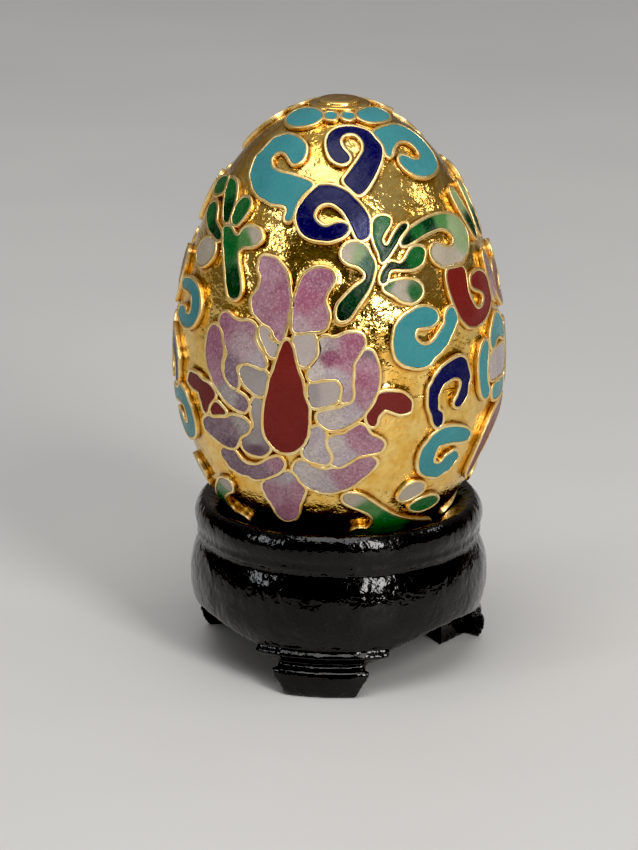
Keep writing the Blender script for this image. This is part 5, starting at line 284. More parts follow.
        (0, [[-62.01,21.533],[-62.83,21.533],[-63.65,21.542],[-64.45,21.586],[-65.23,21.644],[-66.0,21.713],[-66.73,21.802],[-67.41,21.914],[-68.04,22.041],[-68.63,22.182],[-69.21,22.327],[-69.7,22.491],[-70.09,22.673],[-70.36,22.874],[-70.52,23.085],[-70.52,23.303],[-70.47,23.523],[-70.35,23.74],[-70.08,23.95],[-69.68,24.145],[-69.19,24.322],[-68.6,24.473],[-67.96,24.604],[-67.27,24.71],[-66.55,24.798],[-65.81,24.865],[-65.05,24.907],[-64.28,24.913],[-63.52,24.912],[-62.77,24.875],[-62.04,24.807],[-61.34,24.718],[-60.69,24.606],[-60.05,24.484],[-59.42,24.359],[-58.81,24.223],[-58.26,24.068],[-57.76,23.899],[-57.33,23.716],[-56.96,23.521],[-56.65,23.32],[-56.42,23.11],[-56.3,22.892],[-56.36,22.674],[-56.52,22.461],[-56.82,22.258],[-57.25,22.074],[-57.81,21.917],[-58.49,21.794],[-58.85,21.745]]),
        (0, [[-67.95,16.409],[-68.5,16.218],[-69.21,16.052],[-69.87,15.876],[-70.29,15.67],[-70.54,15.452],[-70.97,15.245],[-71.75,15.087],[-72.76,15.043],[-73.79,15.043],[-74.79,15.067],[-75.77,15.1],[-76.74,15.14],[-77.68,15.194],[-78.59,15.259],[-79.46,15.339],[-80.3,15.429],[-81.08,15.534],[-81.83,15.643],[-82.53,15.768],[-83.15,15.906],[-83.64,16.069],[-83.96,16.255],[-84.05,16.463],[-83.85,16.682],[-83.3,16.885],[-82.6,17.066],[-81.81,17.223],[-80.96,17.356],[-80.05,17.454],[-79.12,17.523],[-78.18,17.564],[-77.25,17.583],[-76.32,17.582],[-75.42,17.56],[-74.53,17.524],[-73.65,17.478],[-72.77,17.425],[-71.92,17.36],[-71.08,17.285],[-70.26,17.195],[-69.47,17.096],[-68.72,16.977],[-68.1,16.826],[-67.79,16.626],[-67.82,16.517]]),
    ],
    "scroll_red": [
        (1, [[45.27,23.924],[44.49,23.934],[43.83,24.038],[43.31,24.194],[42.92,24.376],[42.69,24.581],[42.57,24.796],[42.54,25.015],[42.52,25.234],[42.57,25.454],[42.62,25.674],[42.66,25.895],[42.7,26.115],[42.75,26.335],[42.87,26.554],[43.03,26.771],[43.2,26.988],[43.41,27.202],[43.64,27.414],[43.9,27.624],[44.17,27.832],[44.45,28.039],[44.73,28.246],[45.0,28.453],[45.27,28.661],[45.56,28.866],[45.88,29.067],[46.23,29.263],[46.63,29.45],[47.08,29.626],[47.55,29.796],[48.06,29.958],[48.55,30.121],[49.09,30.269],[49.63,30.418],[50.23,30.543],[50.88,30.636],[51.57,30.701],[52.27,30.756],[52.97,30.807],[53.67,30.85],[54.38,30.881],[55.1,30.884],[55.81,30.883],[56.52,30.858],[57.23,30.825],[57.94,30.788],[58.65,30.745],[59.35,30.7],[60.04,30.644],[60.73,30.581],[61.42,30.511],[62.09,30.432],[62.75,30.342],[63.39,30.234],[64.01,30.118],[64.62,29.995],[65.21,29.866],[65.81,29.738],[66.4,29.605],[66.97,29.461],[67.53,29.316],[68.06,29.16],[68.59,29.003],[68.99,28.816],[69.22,28.604],[69.29,28.385],[69.3,28.165],[69.25,27.946],[69.17,27.729],[69.1,27.511],[69.06,27.292],[69.0,27.074],[68.93,26.856],[68.82,26.64],[68.62,26.431],[68.33,26.233],[67.94,26.05],[67.48,25.882],[66.99,25.722],[66.44,25.578],[65.82,25.458],[65.14,25.365],[64.44,25.283],[63.74,25.203],[63.02,25.135],[62.27,25.088],[61.51,25.068],[60.75,25.077],[59.98,25.09],[59.22,25.124],[58.46,25.167],[57.72,25.221],[56.99,25.289],[56.33,25.399],[55.8,25.559],[55.45,25.752],[55.22,25.962],[55.13,26.18],[55.15,26.4],[55.43,26.603],[55.92,26.768],[56.55,26.888],[57.22,26.987],[57.9,27.074],[58.58,27.159],[59.27,27.244],[59.94,27.333],[60.59,27.438],[61.21,27.554],[61.74,27.704],[62.11,27.891],[62.2,28.107],[61.97,28.317],[61.56,28.5],[61.03,28.655],[60.42,28.782],[59.77,28.882],[59.08,28.951],[58.36,28.983],[57.63,28.957],[56.98,28.862],[56.42,28.723],[55.91,28.566],[55.46,28.391],[55.13,28.195],[54.83,27.994],[54.53,27.792],[54.24,27.589],[53.97,27.383],[53.75,27.172],[53.58,26.957],[53.51,26.739],[53.5,26.518],[53.58,26.3],[53.68,26.082],[53.81,25.866],[53.94,25.649],[54.06,25.432],[54.14,25.213],[54.21,24.994],[54.2,24.774],[54.09,24.556],[53.8,24.351],[53.31,24.18],[52.67,24.055],[51.92,23.986],[51.15,23.964],[50.36,23.964],[49.58,23.964],[48.79,23.964],[48.01,23.948],[47.23,23.938],[46.44,23.924],[45.66,23.924]]),
    ],
    "leaf_edge_red": [
        (1, [[78.66,40.107],[77.95,40.116],[77.26,40.155],[76.57,40.211],[75.89,40.275],[75.22,40.344],[74.55,40.415],[73.9,40.499],[73.25,40.59],[72.6,40.681],[71.97,40.779],[71.32,40.87],[70.68,40.972],[70.07,41.084],[69.47,41.207],[68.89,41.336],[68.3,41.465],[67.73,41.6],[67.18,41.741],[66.66,41.896],[66.14,42.052],[65.62,42.209],[65.15,42.38],[64.7,42.555],[64.27,42.735],[63.86,42.921],[63.46,43.108],[63.08,43.301],[62.72,43.497],[62.37,43.695],[62.06,43.898],[61.74,44.101],[61.46,44.308],[61.17,44.515],[60.91,44.726],[60.66,44.937],[60.43,45.15],[60.2,45.364],[59.97,45.578],[59.78,45.794],[59.58,46.011],[59.43,46.229],[59.28,46.448],[59.2,46.668],[59.14,46.889],[59.08,47.109],[59.02,47.33],[59.04,47.549],[59.1,47.766],[59.25,47.979],[59.48,48.183],[59.87,48.366],[60.43,48.512],[61.19,48.566],[61.97,48.508],[62.57,48.35],[63.03,48.161],[63.42,47.962],[63.77,47.759],[64.08,47.553],[64.39,47.345],[64.68,47.136],[64.97,46.929],[65.28,46.724],[65.62,46.522],[65.97,46.321],[66.31,46.121],[66.69,45.927],[67.1,45.737],[67.52,45.551],[67.95,45.368],[68.4,45.188],[68.86,45.012],[69.34,44.84],[69.82,44.669],[70.29,44.5],[70.77,44.33],[71.26,44.163],[71.75,43.998],[72.28,43.845],[72.82,43.696],[73.36,43.549],[73.91,43.404],[74.48,43.267],[75.09,43.147],[75.72,43.04],[76.36,42.941],[77.01,42.845],[77.68,42.761],[78.35,42.678],[79.01,42.595],[79.67,42.505],[80.3,42.407],[80.93,42.302],[81.54,42.188],[82.12,42.064],[82.64,41.919],[83.13,41.761],[83.48,41.573],[83.69,41.366],[83.71,41.146],[83.56,40.93],[83.27,40.726],[82.88,40.539],[82.38,40.379],[81.78,40.254],[81.12,40.17],[80.43,40.118],[79.72,40.107],[79.01,40.107]]),
    ],
    "leaf_edge_mauve": [
        (1, [[71.81,23.727],[71.14,23.835],[70.56,23.983],[70.05,24.147],[69.71,24.342],[69.54,24.555],[69.48,24.773],[69.45,24.992],[69.46,25.212],[69.47,25.431],[69.48,25.651],[69.49,25.87],[69.5,26.09],[69.58,26.308],[69.59,26.528],[69.6,26.747],[69.67,26.965],[69.68,27.185],[69.76,27.403],[69.85,27.621],[69.96,27.838],[70.06,28.056],[70.16,28.274],[70.29,28.49],[70.5,28.7],[70.83,28.896],[71.31,29.062],[71.87,29.198],[72.55,29.269],[73.23,29.21],[73.74,29.054],[74.17,28.876],[74.52,28.683],[74.77,28.476],[74.95,28.263],[75.11,28.049],[75.25,27.833],[75.34,27.615],[75.36,27.395],[75.36,27.176],[75.37,26.956],[75.37,26.737],[75.31,26.519],[75.23,26.301],[75.15,26.083],[75.08,25.865],[75.01,25.647],[74.96,25.428],[74.91,25.21],[74.86,24.991],[74.83,24.772],[74.75,24.554],[74.54,24.344],[74.23,24.143],[73.82,23.958],[73.3,23.796],[72.59,23.712]]),
    ],
    "sprig_low": [
        (1, [[3.62,47.486],[2.83,47.496],[2.06,47.588],[1.42,47.749],[1.03,47.955],[0.86,48.175],[0.81,48.391],[0.95,48.597],[1.23,48.784],[1.64,48.95],[2.1,49.105],[2.65,49.24],[3.25,49.36],[3.88,49.472],[4.54,49.575],[5.2,49.681],[5.86,49.785],[6.53,49.889],[7.2,49.993],[7.86,50.103],[8.53,50.212],[9.2,50.32],[9.87,50.433],[10.53,50.549],[11.18,50.669],[11.8,50.799],[12.37,50.943],[12.87,51.105],[13.37,51.268],[13.82,51.441],[14.21,51.626],[14.45,51.828],[14.63,52.035],[14.78,52.246],[14.88,52.459],[14.73,52.677],[14.38,52.891],[13.94,53.099],[13.36,53.291],[12.47,53.368],[11.57,53.318],[10.7,53.255],[9.8,53.211],[8.85,53.21],[7.87,53.263],[6.95,53.376],[6.15,53.541],[5.59,53.746],[5.3,53.965],[5.21,54.182],[5.33,54.387],[5.57,54.581],[5.92,54.764],[6.35,54.937],[6.9,55.093],[7.55,55.232],[8.28,55.358],[9.11,55.46],[9.98,55.551],[10.95,55.617],[11.96,55.662],[13.02,55.685],[14.1,55.684],[15.2,55.657],[16.29,55.602],[17.33,55.51],[18.28,55.381],[19.15,55.236],[20.0,55.086],[20.94,54.973],[21.98,54.929],[23.02,54.929],[24.05,54.947],[25.08,54.966],[26.12,54.966],[27.17,54.966],[28.2,54.981],[29.25,54.986],[30.29,55.007],[31.33,55.034],[32.37,55.07],[33.41,55.108],[34.46,55.15],[35.51,55.195],[36.56,55.243],[37.62,55.292],[38.68,55.34],[39.75,55.393],[40.83,55.441],[41.91,55.488],[43.0,55.535],[44.09,55.578],[45.19,55.621],[46.3,55.661],[47.41,55.705],[48.53,55.76],[49.66,55.817],[50.79,55.862],[51.91,55.886],[53.01,55.886],[54.07,55.863],[55.02,55.802],[55.77,55.688],[56.15,55.517],[56.0,55.303],[55.5,55.088],[54.73,54.892],[53.89,54.713],[53.01,54.544],[52.1,54.388],[51.14,54.256],[50.15,54.146],[49.15,54.056],[48.15,53.971],[47.15,53.89],[46.16,53.814],[45.17,53.738],[44.2,53.661],[43.23,53.582],[42.28,53.501],[41.33,53.42],[40.39,53.338],[39.46,53.254],[38.53,53.17],[37.62,53.083],[36.72,52.997],[35.83,52.906],[34.95,52.81],[34.09,52.711],[33.23,52.613],[32.38,52.515],[31.54,52.416],[30.7,52.318],[29.88,52.215],[29.07,52.113],[28.27,52.007],[27.49,51.897],[26.72,51.784],[25.97,51.667],[25.24,51.546],[24.5,51.428],[23.78,51.306],[23.1,51.176],[22.44,51.039],[21.79,50.899],[21.15,50.76],[20.52,50.62],[19.9,50.48],[19.28,50.34],[18.66,50.201],[18.04,50.063],[17.44,49.923],[16.84,49.784],[16.25,49.642],[15.66,49.502],[15.08,49.36],[14.5,49.219],[13.92,49.08],[13.34,48.943],[12.76,48.805],[12.19,48.668],[11.61,48.531],[11.05,48.391],[10.52,48.246],[9.96,48.107],[9.38,47.978],[8.72,47.875],[8.06,47.777],[7.36,47.698],[6.64,47.628],[5.92,47.568],[5.17,47.519],[4.41,47.487]]),
        (1, [[29.72,46.833],[28.94,46.842],[28.2,46.898],[27.46,46.971],[26.75,47.057],[26.06,47.165],[25.44,47.297],[24.89,47.458],[24.45,47.642],[24.07,47.837],[23.76,48.041],[23.49,48.25],[23.3,48.464],[23.27,48.683],[23.33,48.9],[23.63,49.098],[24.19,49.252],[24.88,49.368],[25.63,49.456],[26.44,49.493],[27.27,49.493],[28.09,49.474],[28.89,49.418],[29.66,49.34],[30.41,49.25],[31.13,49.149],[31.83,49.039],[32.51,48.924],[33.18,48.804],[33.81,48.673],[34.37,48.523],[34.79,48.343],[35.0,48.136],[34.96,47.917],[34.75,47.704],[34.38,47.506],[33.92,47.326],[33.34,47.171],[32.69,47.046],[31.99,46.949],[31.25,46.88],[30.49,46.834]]),
        (1, [[38.59,49.27],[37.76,49.28],[36.95,49.31],[36.13,49.347],[35.33,49.392],[34.54,49.453],[33.77,49.531],[33.02,49.619],[32.28,49.719],[31.57,49.831],[30.9,49.961],[30.32,50.121],[30.01,50.322],[30.02,50.542],[30.34,50.747],[30.88,50.924],[31.51,51.08],[32.2,51.223],[32.99,51.334],[33.81,51.427],[34.66,51.509],[35.52,51.584],[36.4,51.644],[37.3,51.67],[38.2,51.67],[39.09,51.659],[39.98,51.642],[40.86,51.615],[41.73,51.582],[42.58,51.534],[43.39,51.464],[44.13,51.367],[44.81,51.25],[45.43,51.114],[45.91,50.95],[46.21,50.757],[46.2,50.539],[45.91,50.324],[45.41,50.127],[44.8,49.953],[44.12,49.797],[43.41,49.656],[42.65,49.537],[41.87,49.433],[41.07,49.349],[40.25,49.288],[39.42,49.27]]),
    ],
    "rosette_a": [
        (1, [[-48.61,3.697],[-52.04,3.706],[-55.3,3.754],[-58.36,3.818],[-61.24,3.893],[-63.86,3.983],[-66.11,4.094],[-68.11,4.216],[-69.93,4.343],[-71.43,4.484],[-72.62,4.639],[-73.47,4.807],[-73.78,4.998],[-73.67,5.202],[-73.2,5.416],[-72.3,5.635],[-71.41,5.855],[-70.14,6.068],[-68.58,6.266],[-66.86,6.447],[-65.07,6.608],[-63.3,6.763],[-61.47,6.893],[-59.59,6.993],[-57.7,7.063],[-55.81,7.118],[-53.94,7.166],[-52.09,7.209],[-50.25,7.236],[-48.41,7.256],[-46.58,7.247],[-44.74,7.22],[-42.91,7.184],[-41.06,7.137],[-39.2,7.082],[-37.32,7.024],[-35.43,6.949],[-33.54,6.855],[-31.64,6.749],[-29.79,6.613],[-27.98,6.458],[-26.21,6.287],[-24.54,6.097],[-23.04,5.893],[-21.81,5.677],[-20.89,5.458],[-20.47,5.245],[-20.49,5.044],[-20.85,4.854],[-21.49,4.675],[-22.58,4.514],[-23.91,4.363],[-25.72,4.236],[-27.74,4.116],[-30.06,4.011],[-32.71,3.925],[-35.54,3.847],[-38.57,3.78],[-41.77,3.725],[-45.15,3.697]]),
    ],
    "rosette_b": [
        (1, [[45.89,3.654],[42.4,3.663],[39.01,3.693],[35.77,3.741],[32.79,3.81],[30.1,3.898],[27.77,4.006],[25.83,4.133],[24.28,4.277],[23.02,4.433],[22.03,4.598],[21.67,4.789],[21.86,4.996],[22.75,5.216],[23.74,5.436],[25.22,5.647],[27.12,5.832],[29.18,5.988],[31.3,6.116],[33.44,6.217],[35.57,6.298],[37.68,6.35],[39.78,6.382],[41.86,6.415],[43.93,6.448],[45.97,6.476],[48.0,6.505],[50.03,6.514],[52.07,6.512],[54.11,6.488],[56.17,6.459],[58.24,6.433],[60.33,6.405],[62.44,6.347],[64.53,6.246],[66.57,6.114],[68.58,5.958],[70.63,5.796],[72.02,5.587],[73.11,5.368],[73.89,5.148],[74.53,4.931],[74.68,4.724],[74.3,4.534],[73.3,4.368],[71.94,4.216],[70.07,4.089],[67.87,3.978],[65.38,3.879],[62.66,3.791],[59.61,3.726],[56.36,3.676],[52.92,3.654],[49.41,3.654]]),
    ],
    "cobalt_left": [
        (1, [[-86.1,32.892],[-86.8,32.902],[-87.48,32.958],[-88.12,33.05],[-88.72,33.164],[-89.26,33.302],[-89.72,33.466],[-90.08,33.653],[-90.35,33.856],[-90.53,34.068],[-90.74,34.276],[-90.98,34.483],[-91.16,34.694],[-91.29,34.91],[-91.29,35.129],[-91.29,35.349],[-91.29,35.568],[-91.28,35.788],[-91.25,36.007],[-91.07,36.22],[-90.86,36.429],[-90.68,36.642],[-90.57,36.859],[-90.49,37.077],[-90.36,37.292],[-90.09,37.495],[-89.75,37.685],[-89.31,37.857],[-88.86,38.022],[-88.41,38.19],[-87.93,38.349],[-87.39,38.489],[-86.75,38.578],[-86.06,38.611],[-85.37,38.586],[-84.69,38.527],[-84.07,38.428],[-83.55,38.281],[-83.21,38.091],[-83.2,37.872],[-83.46,37.669],[-83.86,37.487],[-84.31,37.321],[-84.77,37.154],[-85.11,36.964],[-85.39,36.762],[-85.72,36.569],[-86.01,36.369],[-86.21,36.159],[-86.31,35.942],[-86.18,35.726],[-85.81,35.541],[-85.25,35.414],[-84.6,35.33],[-83.92,35.281],[-83.22,35.272],[-82.53,35.298],[-81.85,35.358],[-81.19,35.429],[-80.53,35.502],[-79.86,35.567],[-79.23,35.663],[-78.75,35.821],[-78.37,36.004],[-77.98,36.186],[-77.52,36.353],[-77.08,36.524],[-76.84,36.728],[-76.76,36.945],[-76.83,37.164],[-76.89,37.382],[-76.95,37.601],[-76.92,37.82],[-76.82,38.037],[-76.57,38.242],[-76.1,38.405],[-75.44,38.471],[-74.74,38.465],[-74.05,38.426],[-73.4,38.346],[-72.87,38.209],[-72.53,38.017],[-72.33,37.807],[-72.23,37.591],[-72.18,37.372],[-72.18,37.152],[-72.18,36.933],[-72.18,36.713],[-72.18,36.493],[-72.24,36.275],[-72.24,36.055],[-72.24,35.835],[-72.34,35.619],[-72.7,35.432],[-73.19,35.275],[-73.67,35.117],[-74.01,34.927],[-74.26,34.722],[-74.59,34.53],[-75.07,34.372],[-75.63,34.243],[-76.18,34.107],[-76.64,33.942],[-77.14,33.788],[-77.72,33.665],[-78.35,33.571],[-78.98,33.473],[-79.62,33.383],[-80.27,33.298],[-80.94,33.228],[-81.61,33.164],[-82.3,33.107],[-82.98,33.048],[-83.66,32.991],[-84.34,32.938],[-85.04,32.897],[-85.74,32.892]]),
    ],
    "rosette_c": [
        (1, [[-16.89,3.92],[-19.56,4.0],[-21.31,4.139],[-21.99,4.326],[-21.86,4.536],[-21.0,4.755],[-20.03,4.975],[-18.44,5.182],[-16.41,5.356],[-14.03,5.459],[-11.6,5.503],[-9.23,5.504],[-7.0,5.451],[-5.06,5.336],[-3.48,5.176],[-2.37,4.983],[-1.93,4.769],[-2.12,4.549],[-2.96,4.336],[-4.53,4.143],[-7.24,4.015],[-10.38,3.925],[-13.69,3.905]]),
        (1, [[7.21,3.944],[4.4,4.07],[2.57,4.256],[1.67,4.469],[1.58,4.691],[2.13,4.905],[3.25,5.101],[4.79,5.268],[6.48,5.415],[8.44,5.523],[10.69,5.567],[13.09,5.534],[15.49,5.442],[17.76,5.297],[19.58,5.101],[20.82,4.882],[21.37,4.662],[21.27,4.455],[20.43,4.272],[18.9,4.118],[16.62,4.006],[13.78,3.937],[10.52,3.927]]),
    ],
    "sprig_low_left": [
        (1, [[-50.81,47.788],[-51.6,47.797],[-52.35,47.842],[-53.07,47.91],[-53.76,47.993],[-54.42,48.095],[-55.05,48.208],[-55.65,48.332],[-56.24,48.461],[-56.81,48.596],[-57.37,48.736],[-57.94,48.876],[-58.5,49.017],[-59.07,49.155],[-59.64,49.296],[-60.23,49.434],[-60.8,49.577],[-61.37,49.721],[-61.96,49.863],[-62.56,50.0],[-63.17,50.137],[-63.78,50.277],[-64.39,50.417],[-65.0,50.558],[-65.62,50.699],[-66.25,50.838],[-66.87,50.98],[-67.51,51.12],[-68.16,51.26],[-68.82,51.397],[-69.5,51.53],[-70.2,51.659],[-70.91,51.786],[-71.66,51.904],[-72.42,52.021],[-73.18,52.136],[-73.96,52.249],[-74.76,52.359],[-75.56,52.471],[-76.37,52.578],[-77.2,52.684],[-78.05,52.782],[-78.91,52.88],[-79.77,52.978],[-80.66,53.069],[-81.54,53.167],[-82.44,53.257],[-83.34,53.349],[-84.27,53.437],[-85.2,53.522],[-86.13,53.61],[-87.08,53.696],[-88.04,53.778],[-89.01,53.858],[-89.99,53.934],[-90.98,54.01],[-91.97,54.087],[-92.97,54.168],[-93.98,54.256],[-94.99,54.342],[-96.01,54.434],[-97.03,54.53],[-98.01,54.659],[-98.93,54.814],[-99.82,54.984],[-100.69,55.161],[-101.49,55.354],[-102.03,55.568],[-102.27,55.785],[-101.91,55.959],[-101.17,56.075],[-100.24,56.15],[-99.2,56.187],[-98.08,56.188],[-96.94,56.159],[-95.78,56.106],[-94.64,56.053],[-93.5,56.0],[-92.36,55.956],[-91.24,55.909],[-90.12,55.87],[-89.0,55.827],[-87.9,55.784],[-86.79,55.737],[-85.7,55.688],[-84.62,55.634],[-83.54,55.577],[-82.47,55.526],[-81.4,55.479],[-80.33,55.432],[-79.27,55.389],[-78.21,55.348],[-77.16,55.318],[-76.09,55.308],[-75.03,55.307],[-73.98,55.288],[-72.92,55.288],[-71.86,55.279],[-70.81,55.259],[-69.77,55.231],[-68.72,55.208],[-67.67,55.229],[-66.68,55.321],[-65.79,55.462],[-64.95,55.617],[-64.02,55.754],[-62.98,55.851],[-61.89,55.922],[-60.77,55.966],[-59.67,55.968],[-58.57,55.964],[-57.51,55.931],[-56.51,55.876],[-55.55,55.804],[-54.68,55.707],[-53.93,55.586],[-53.29,55.442],[-52.72,55.287],[-52.24,55.12],[-51.83,54.945],[-51.51,54.758],[-51.3,54.561],[-51.33,54.347],[-51.58,54.128],[-52.05,53.914],[-52.74,53.726],[-53.63,53.587],[-54.61,53.517],[-55.59,53.508],[-56.52,53.536],[-57.4,53.598],[-58.27,53.665],[-59.21,53.643],[-59.87,53.462],[-60.38,53.259],[-60.76,53.048],[-60.95,52.831],[-60.94,52.614],[-60.83,52.401],[-60.66,52.192],[-60.4,51.993],[-60.04,51.804],[-59.61,51.626],[-59.17,51.451],[-58.65,51.293],[-58.06,51.15],[-57.44,51.02],[-56.8,50.893],[-56.15,50.771],[-55.5,50.654],[-54.86,50.532],[-54.21,50.416],[-53.55,50.306],[-52.85,50.207],[-52.16,50.109],[-51.48,50.011],[-50.8,49.912],[-50.12,49.814],[-49.47,49.707],[-48.86,49.588],[-48.31,49.451],[-47.87,49.291],[-47.49,49.12],[-47.2,48.933],[-47.0,48.735],[-46.92,48.526],[-47.06,48.307],[-47.4,48.098],[-48.04,47.936],[-48.82,47.837],[-49.62,47.79],[-50.42,47.788]]),
        (1, [[-76.18,47.132],[-76.96,47.141],[-77.73,47.192],[-78.47,47.274],[-79.14,47.393],[-79.73,47.547],[-80.22,47.724],[-80.63,47.918],[-80.94,48.126],[-81.07,48.344],[-81.04,48.563],[-80.68,48.756],[-80.15,48.916],[-79.53,49.054],[-78.87,49.181],[-78.19,49.301],[-77.5,49.421],[-76.77,49.526],[-76.01,49.614],[-75.23,49.692],[-74.41,49.75],[-73.58,49.788],[-72.74,49.792],[-71.91,49.763],[-71.12,49.689],[-70.4,49.58],[-69.81,49.43],[-69.41,49.241],[-69.26,49.027],[-69.34,48.807],[-69.51,48.589],[-69.77,48.378],[-70.1,48.173],[-70.5,47.979],[-70.96,47.796],[-71.52,47.633],[-72.11,47.484],[-72.79,47.369],[-73.5,47.27],[-74.24,47.192],[-75.0,47.14],[-75.78,47.132]]),
        (1, [[-85.33,49.571],[-86.17,49.58],[-87.0,49.624],[-87.82,49.698],[-88.6,49.799],[-89.36,49.921],[-90.06,50.068],[-90.73,50.224],[-91.39,50.388],[-91.95,50.574],[-92.25,50.787],[-92.35,51.006],[-92.13,51.206],[-91.7,51.38],[-91.11,51.522],[-90.43,51.638],[-89.69,51.735],[-88.89,51.812],[-88.06,51.876],[-87.19,51.916],[-86.31,51.946],[-85.42,51.963],[-84.52,51.971],[-83.61,51.971],[-82.71,51.953],[-81.81,51.906],[-80.93,51.839],[-80.08,51.753],[-79.26,51.654],[-78.48,51.54],[-77.75,51.409],[-77.09,51.258],[-76.5,51.093],[-76.1,50.897],[-76.06,50.678],[-76.33,50.473],[-76.85,50.302],[-77.5,50.164],[-78.2,50.046],[-78.93,49.943],[-79.68,49.851],[-80.46,49.776],[-81.25,49.715],[-82.05,49.662],[-82.86,49.616],[-83.67,49.583],[-84.5,49.571]]),
    ],
    "scroll_red_left": [
        (1, [[-86.87,24.133],[-87.65,24.142],[-88.42,24.185],[-89.17,24.25],[-89.87,24.346],[-90.53,24.466],[-91.06,24.627],[-91.39,24.825],[-91.5,25.042],[-91.5,25.262],[-91.42,25.481],[-91.31,25.698],[-91.2,25.916],[-91.09,26.133],[-90.99,26.351],[-90.91,26.569],[-90.86,26.788],[-90.9,27.007],[-91.03,27.224],[-91.23,27.436],[-91.45,27.647],[-91.69,27.856],[-91.96,28.06],[-92.26,28.26],[-92.63,28.451],[-93.04,28.634],[-93.51,28.8],[-94.13,28.913],[-94.85,28.926],[-95.56,28.872],[-96.24,28.79],[-96.86,28.673],[-97.36,28.512],[-97.73,28.322],[-97.9,28.108],[-97.7,27.899],[-97.28,27.72],[-96.75,27.571],[-96.12,27.459],[-95.46,27.361],[-94.8,27.262],[-94.13,27.164],[-93.48,27.058],[-92.86,26.939],[-92.35,26.779],[-92.05,26.578],[-92.01,26.359],[-92.02,26.139],[-92.25,25.931],[-92.64,25.742],[-93.19,25.592],[-93.84,25.48],[-94.57,25.408],[-95.31,25.359],[-96.07,25.332],[-96.83,25.313],[-97.6,25.313],[-98.35,25.34],[-99.08,25.401],[-99.79,25.478],[-100.47,25.568],[-101.12,25.678],[-101.71,25.806],[-102.26,25.953],[-102.72,26.12],[-103.11,26.304],[-103.43,26.498],[-103.66,26.704],[-103.81,26.917],[-103.91,27.134],[-103.96,27.353],[-103.99,27.571],[-104.02,27.79],[-104.08,28.009],[-104.11,28.227],[-104.08,28.447],[-103.96,28.665],[-103.69,28.872],[-103.32,29.064],[-102.82,29.227],[-102.28,29.38],[-101.72,29.524],[-101.15,29.664],[-100.59,29.806],[-100.01,29.943],[-99.42,30.072],[-98.8,30.187],[-98.15,30.286],[-97.5,30.384],[-96.83,30.466],[-96.15,30.538],[-95.46,30.601],[-94.76,30.645],[-94.05,30.684],[-93.34,30.716],[-92.63,30.747],[-91.92,30.753],[-91.2,30.75],[-90.5,30.71],[-89.8,30.655],[-89.12,30.586],[-88.45,30.501],[-87.81,30.398],[-87.22,30.273],[-86.66,30.13],[-86.15,29.973],[-85.69,29.801],[-85.28,29.618],[-84.91,29.426],[-84.57,29.229],[-84.26,29.028],[-83.96,28.824],[-83.67,28.62],[-83.39,28.414],[-83.1,28.21],[-82.84,28.001],[-82.6,27.791],[-82.38,27.579],[-82.18,27.365],[-82.0,27.149],[-81.83,26.933],[-81.7,26.715],[-81.58,26.497],[-81.52,26.277],[-81.42,26.058],[-81.38,25.838],[-81.36,25.618],[-81.39,25.4],[-81.46,25.182],[-81.53,24.964],[-81.65,24.749],[-81.89,24.545],[-82.39,24.386],[-83.06,24.289],[-83.79,24.22],[-84.55,24.173],[-85.31,24.139],[-86.09,24.133]]),
    ],
    "flower": [
        (1, [[59.47,32.471],[58.83,32.559],[58.25,32.678],[57.69,32.809],[57.16,32.949],[56.67,33.103],[56.22,33.269],[55.85,33.455],[55.55,33.651],[55.29,33.853],[55.06,34.059],[54.86,34.268],[54.73,34.484],[54.63,34.701],[54.55,34.918],[54.5,35.137],[54.5,35.356],[54.51,35.576],[54.51,35.796],[54.52,36.015],[54.55,36.235],[54.65,36.452],[54.75,36.669],[54.88,36.885],[55.03,37.099],[55.2,37.312],[55.4,37.523],[55.62,37.731],[55.86,37.936],[56.13,38.137],[56.44,38.333],[56.82,38.517],[57.25,38.686],[57.75,38.839],[58.31,38.966],[58.94,39.062],[59.61,39.121],[60.31,39.135],[61.01,39.106],[61.67,39.033],[62.26,38.912],[62.71,38.744],[62.9,38.533],[62.88,38.314],[62.69,38.103],[62.38,37.907],[62.03,37.719],[61.67,37.53],[61.36,37.334],[61.13,37.126],[60.93,36.917],[60.78,36.702],[60.7,36.484],[60.7,36.264],[60.76,36.046],[60.84,35.828],[60.95,35.611],[61.08,35.395],[61.25,35.182],[61.43,34.971],[61.6,34.758],[61.73,34.543],[61.86,34.327],[61.98,34.111],[62.09,33.894],[62.17,33.677],[62.16,33.457],[62.15,33.238],[62.05,33.02],[61.83,32.811],[61.44,32.627],[60.87,32.496],[60.18,32.455]]),
        (1, [[71.64,30.377],[70.92,30.386],[70.23,30.454],[69.59,30.551],[68.98,30.666],[68.4,30.795],[67.84,30.933],[67.3,31.074],[66.77,31.221],[66.26,31.375],[65.74,31.524],[65.23,31.676],[64.77,31.842],[64.31,32.01],[63.99,32.204],[63.72,32.407],[63.55,32.621],[63.47,32.839],[63.48,33.059],[63.49,33.28],[63.65,33.495],[63.96,33.695],[64.42,33.861],[64.98,33.994],[65.66,34.034],[66.35,33.98],[67.0,33.898],[67.62,33.792],[68.21,33.671],[68.78,33.545],[69.39,33.434],[70.04,33.348],[70.73,33.292],[71.42,33.257],[72.13,33.239],[72.82,33.281],[73.48,33.356],[74.13,33.443],[74.78,33.533],[75.42,33.625],[76.06,33.716],[76.71,33.798],[77.4,33.837],[78.11,33.835],[78.78,33.773],[79.28,33.616],[79.62,33.423],[79.84,33.213],[79.92,32.994],[79.91,32.774],[79.8,32.557],[79.61,32.345],[79.38,32.138],[79.06,31.942],[78.66,31.761],[78.21,31.593],[77.72,31.434],[77.19,31.288],[76.65,31.143],[76.1,31.004],[75.54,30.869],[74.96,30.742],[74.35,30.626],[73.71,30.526],[73.05,30.436],[72.36,30.383]]),
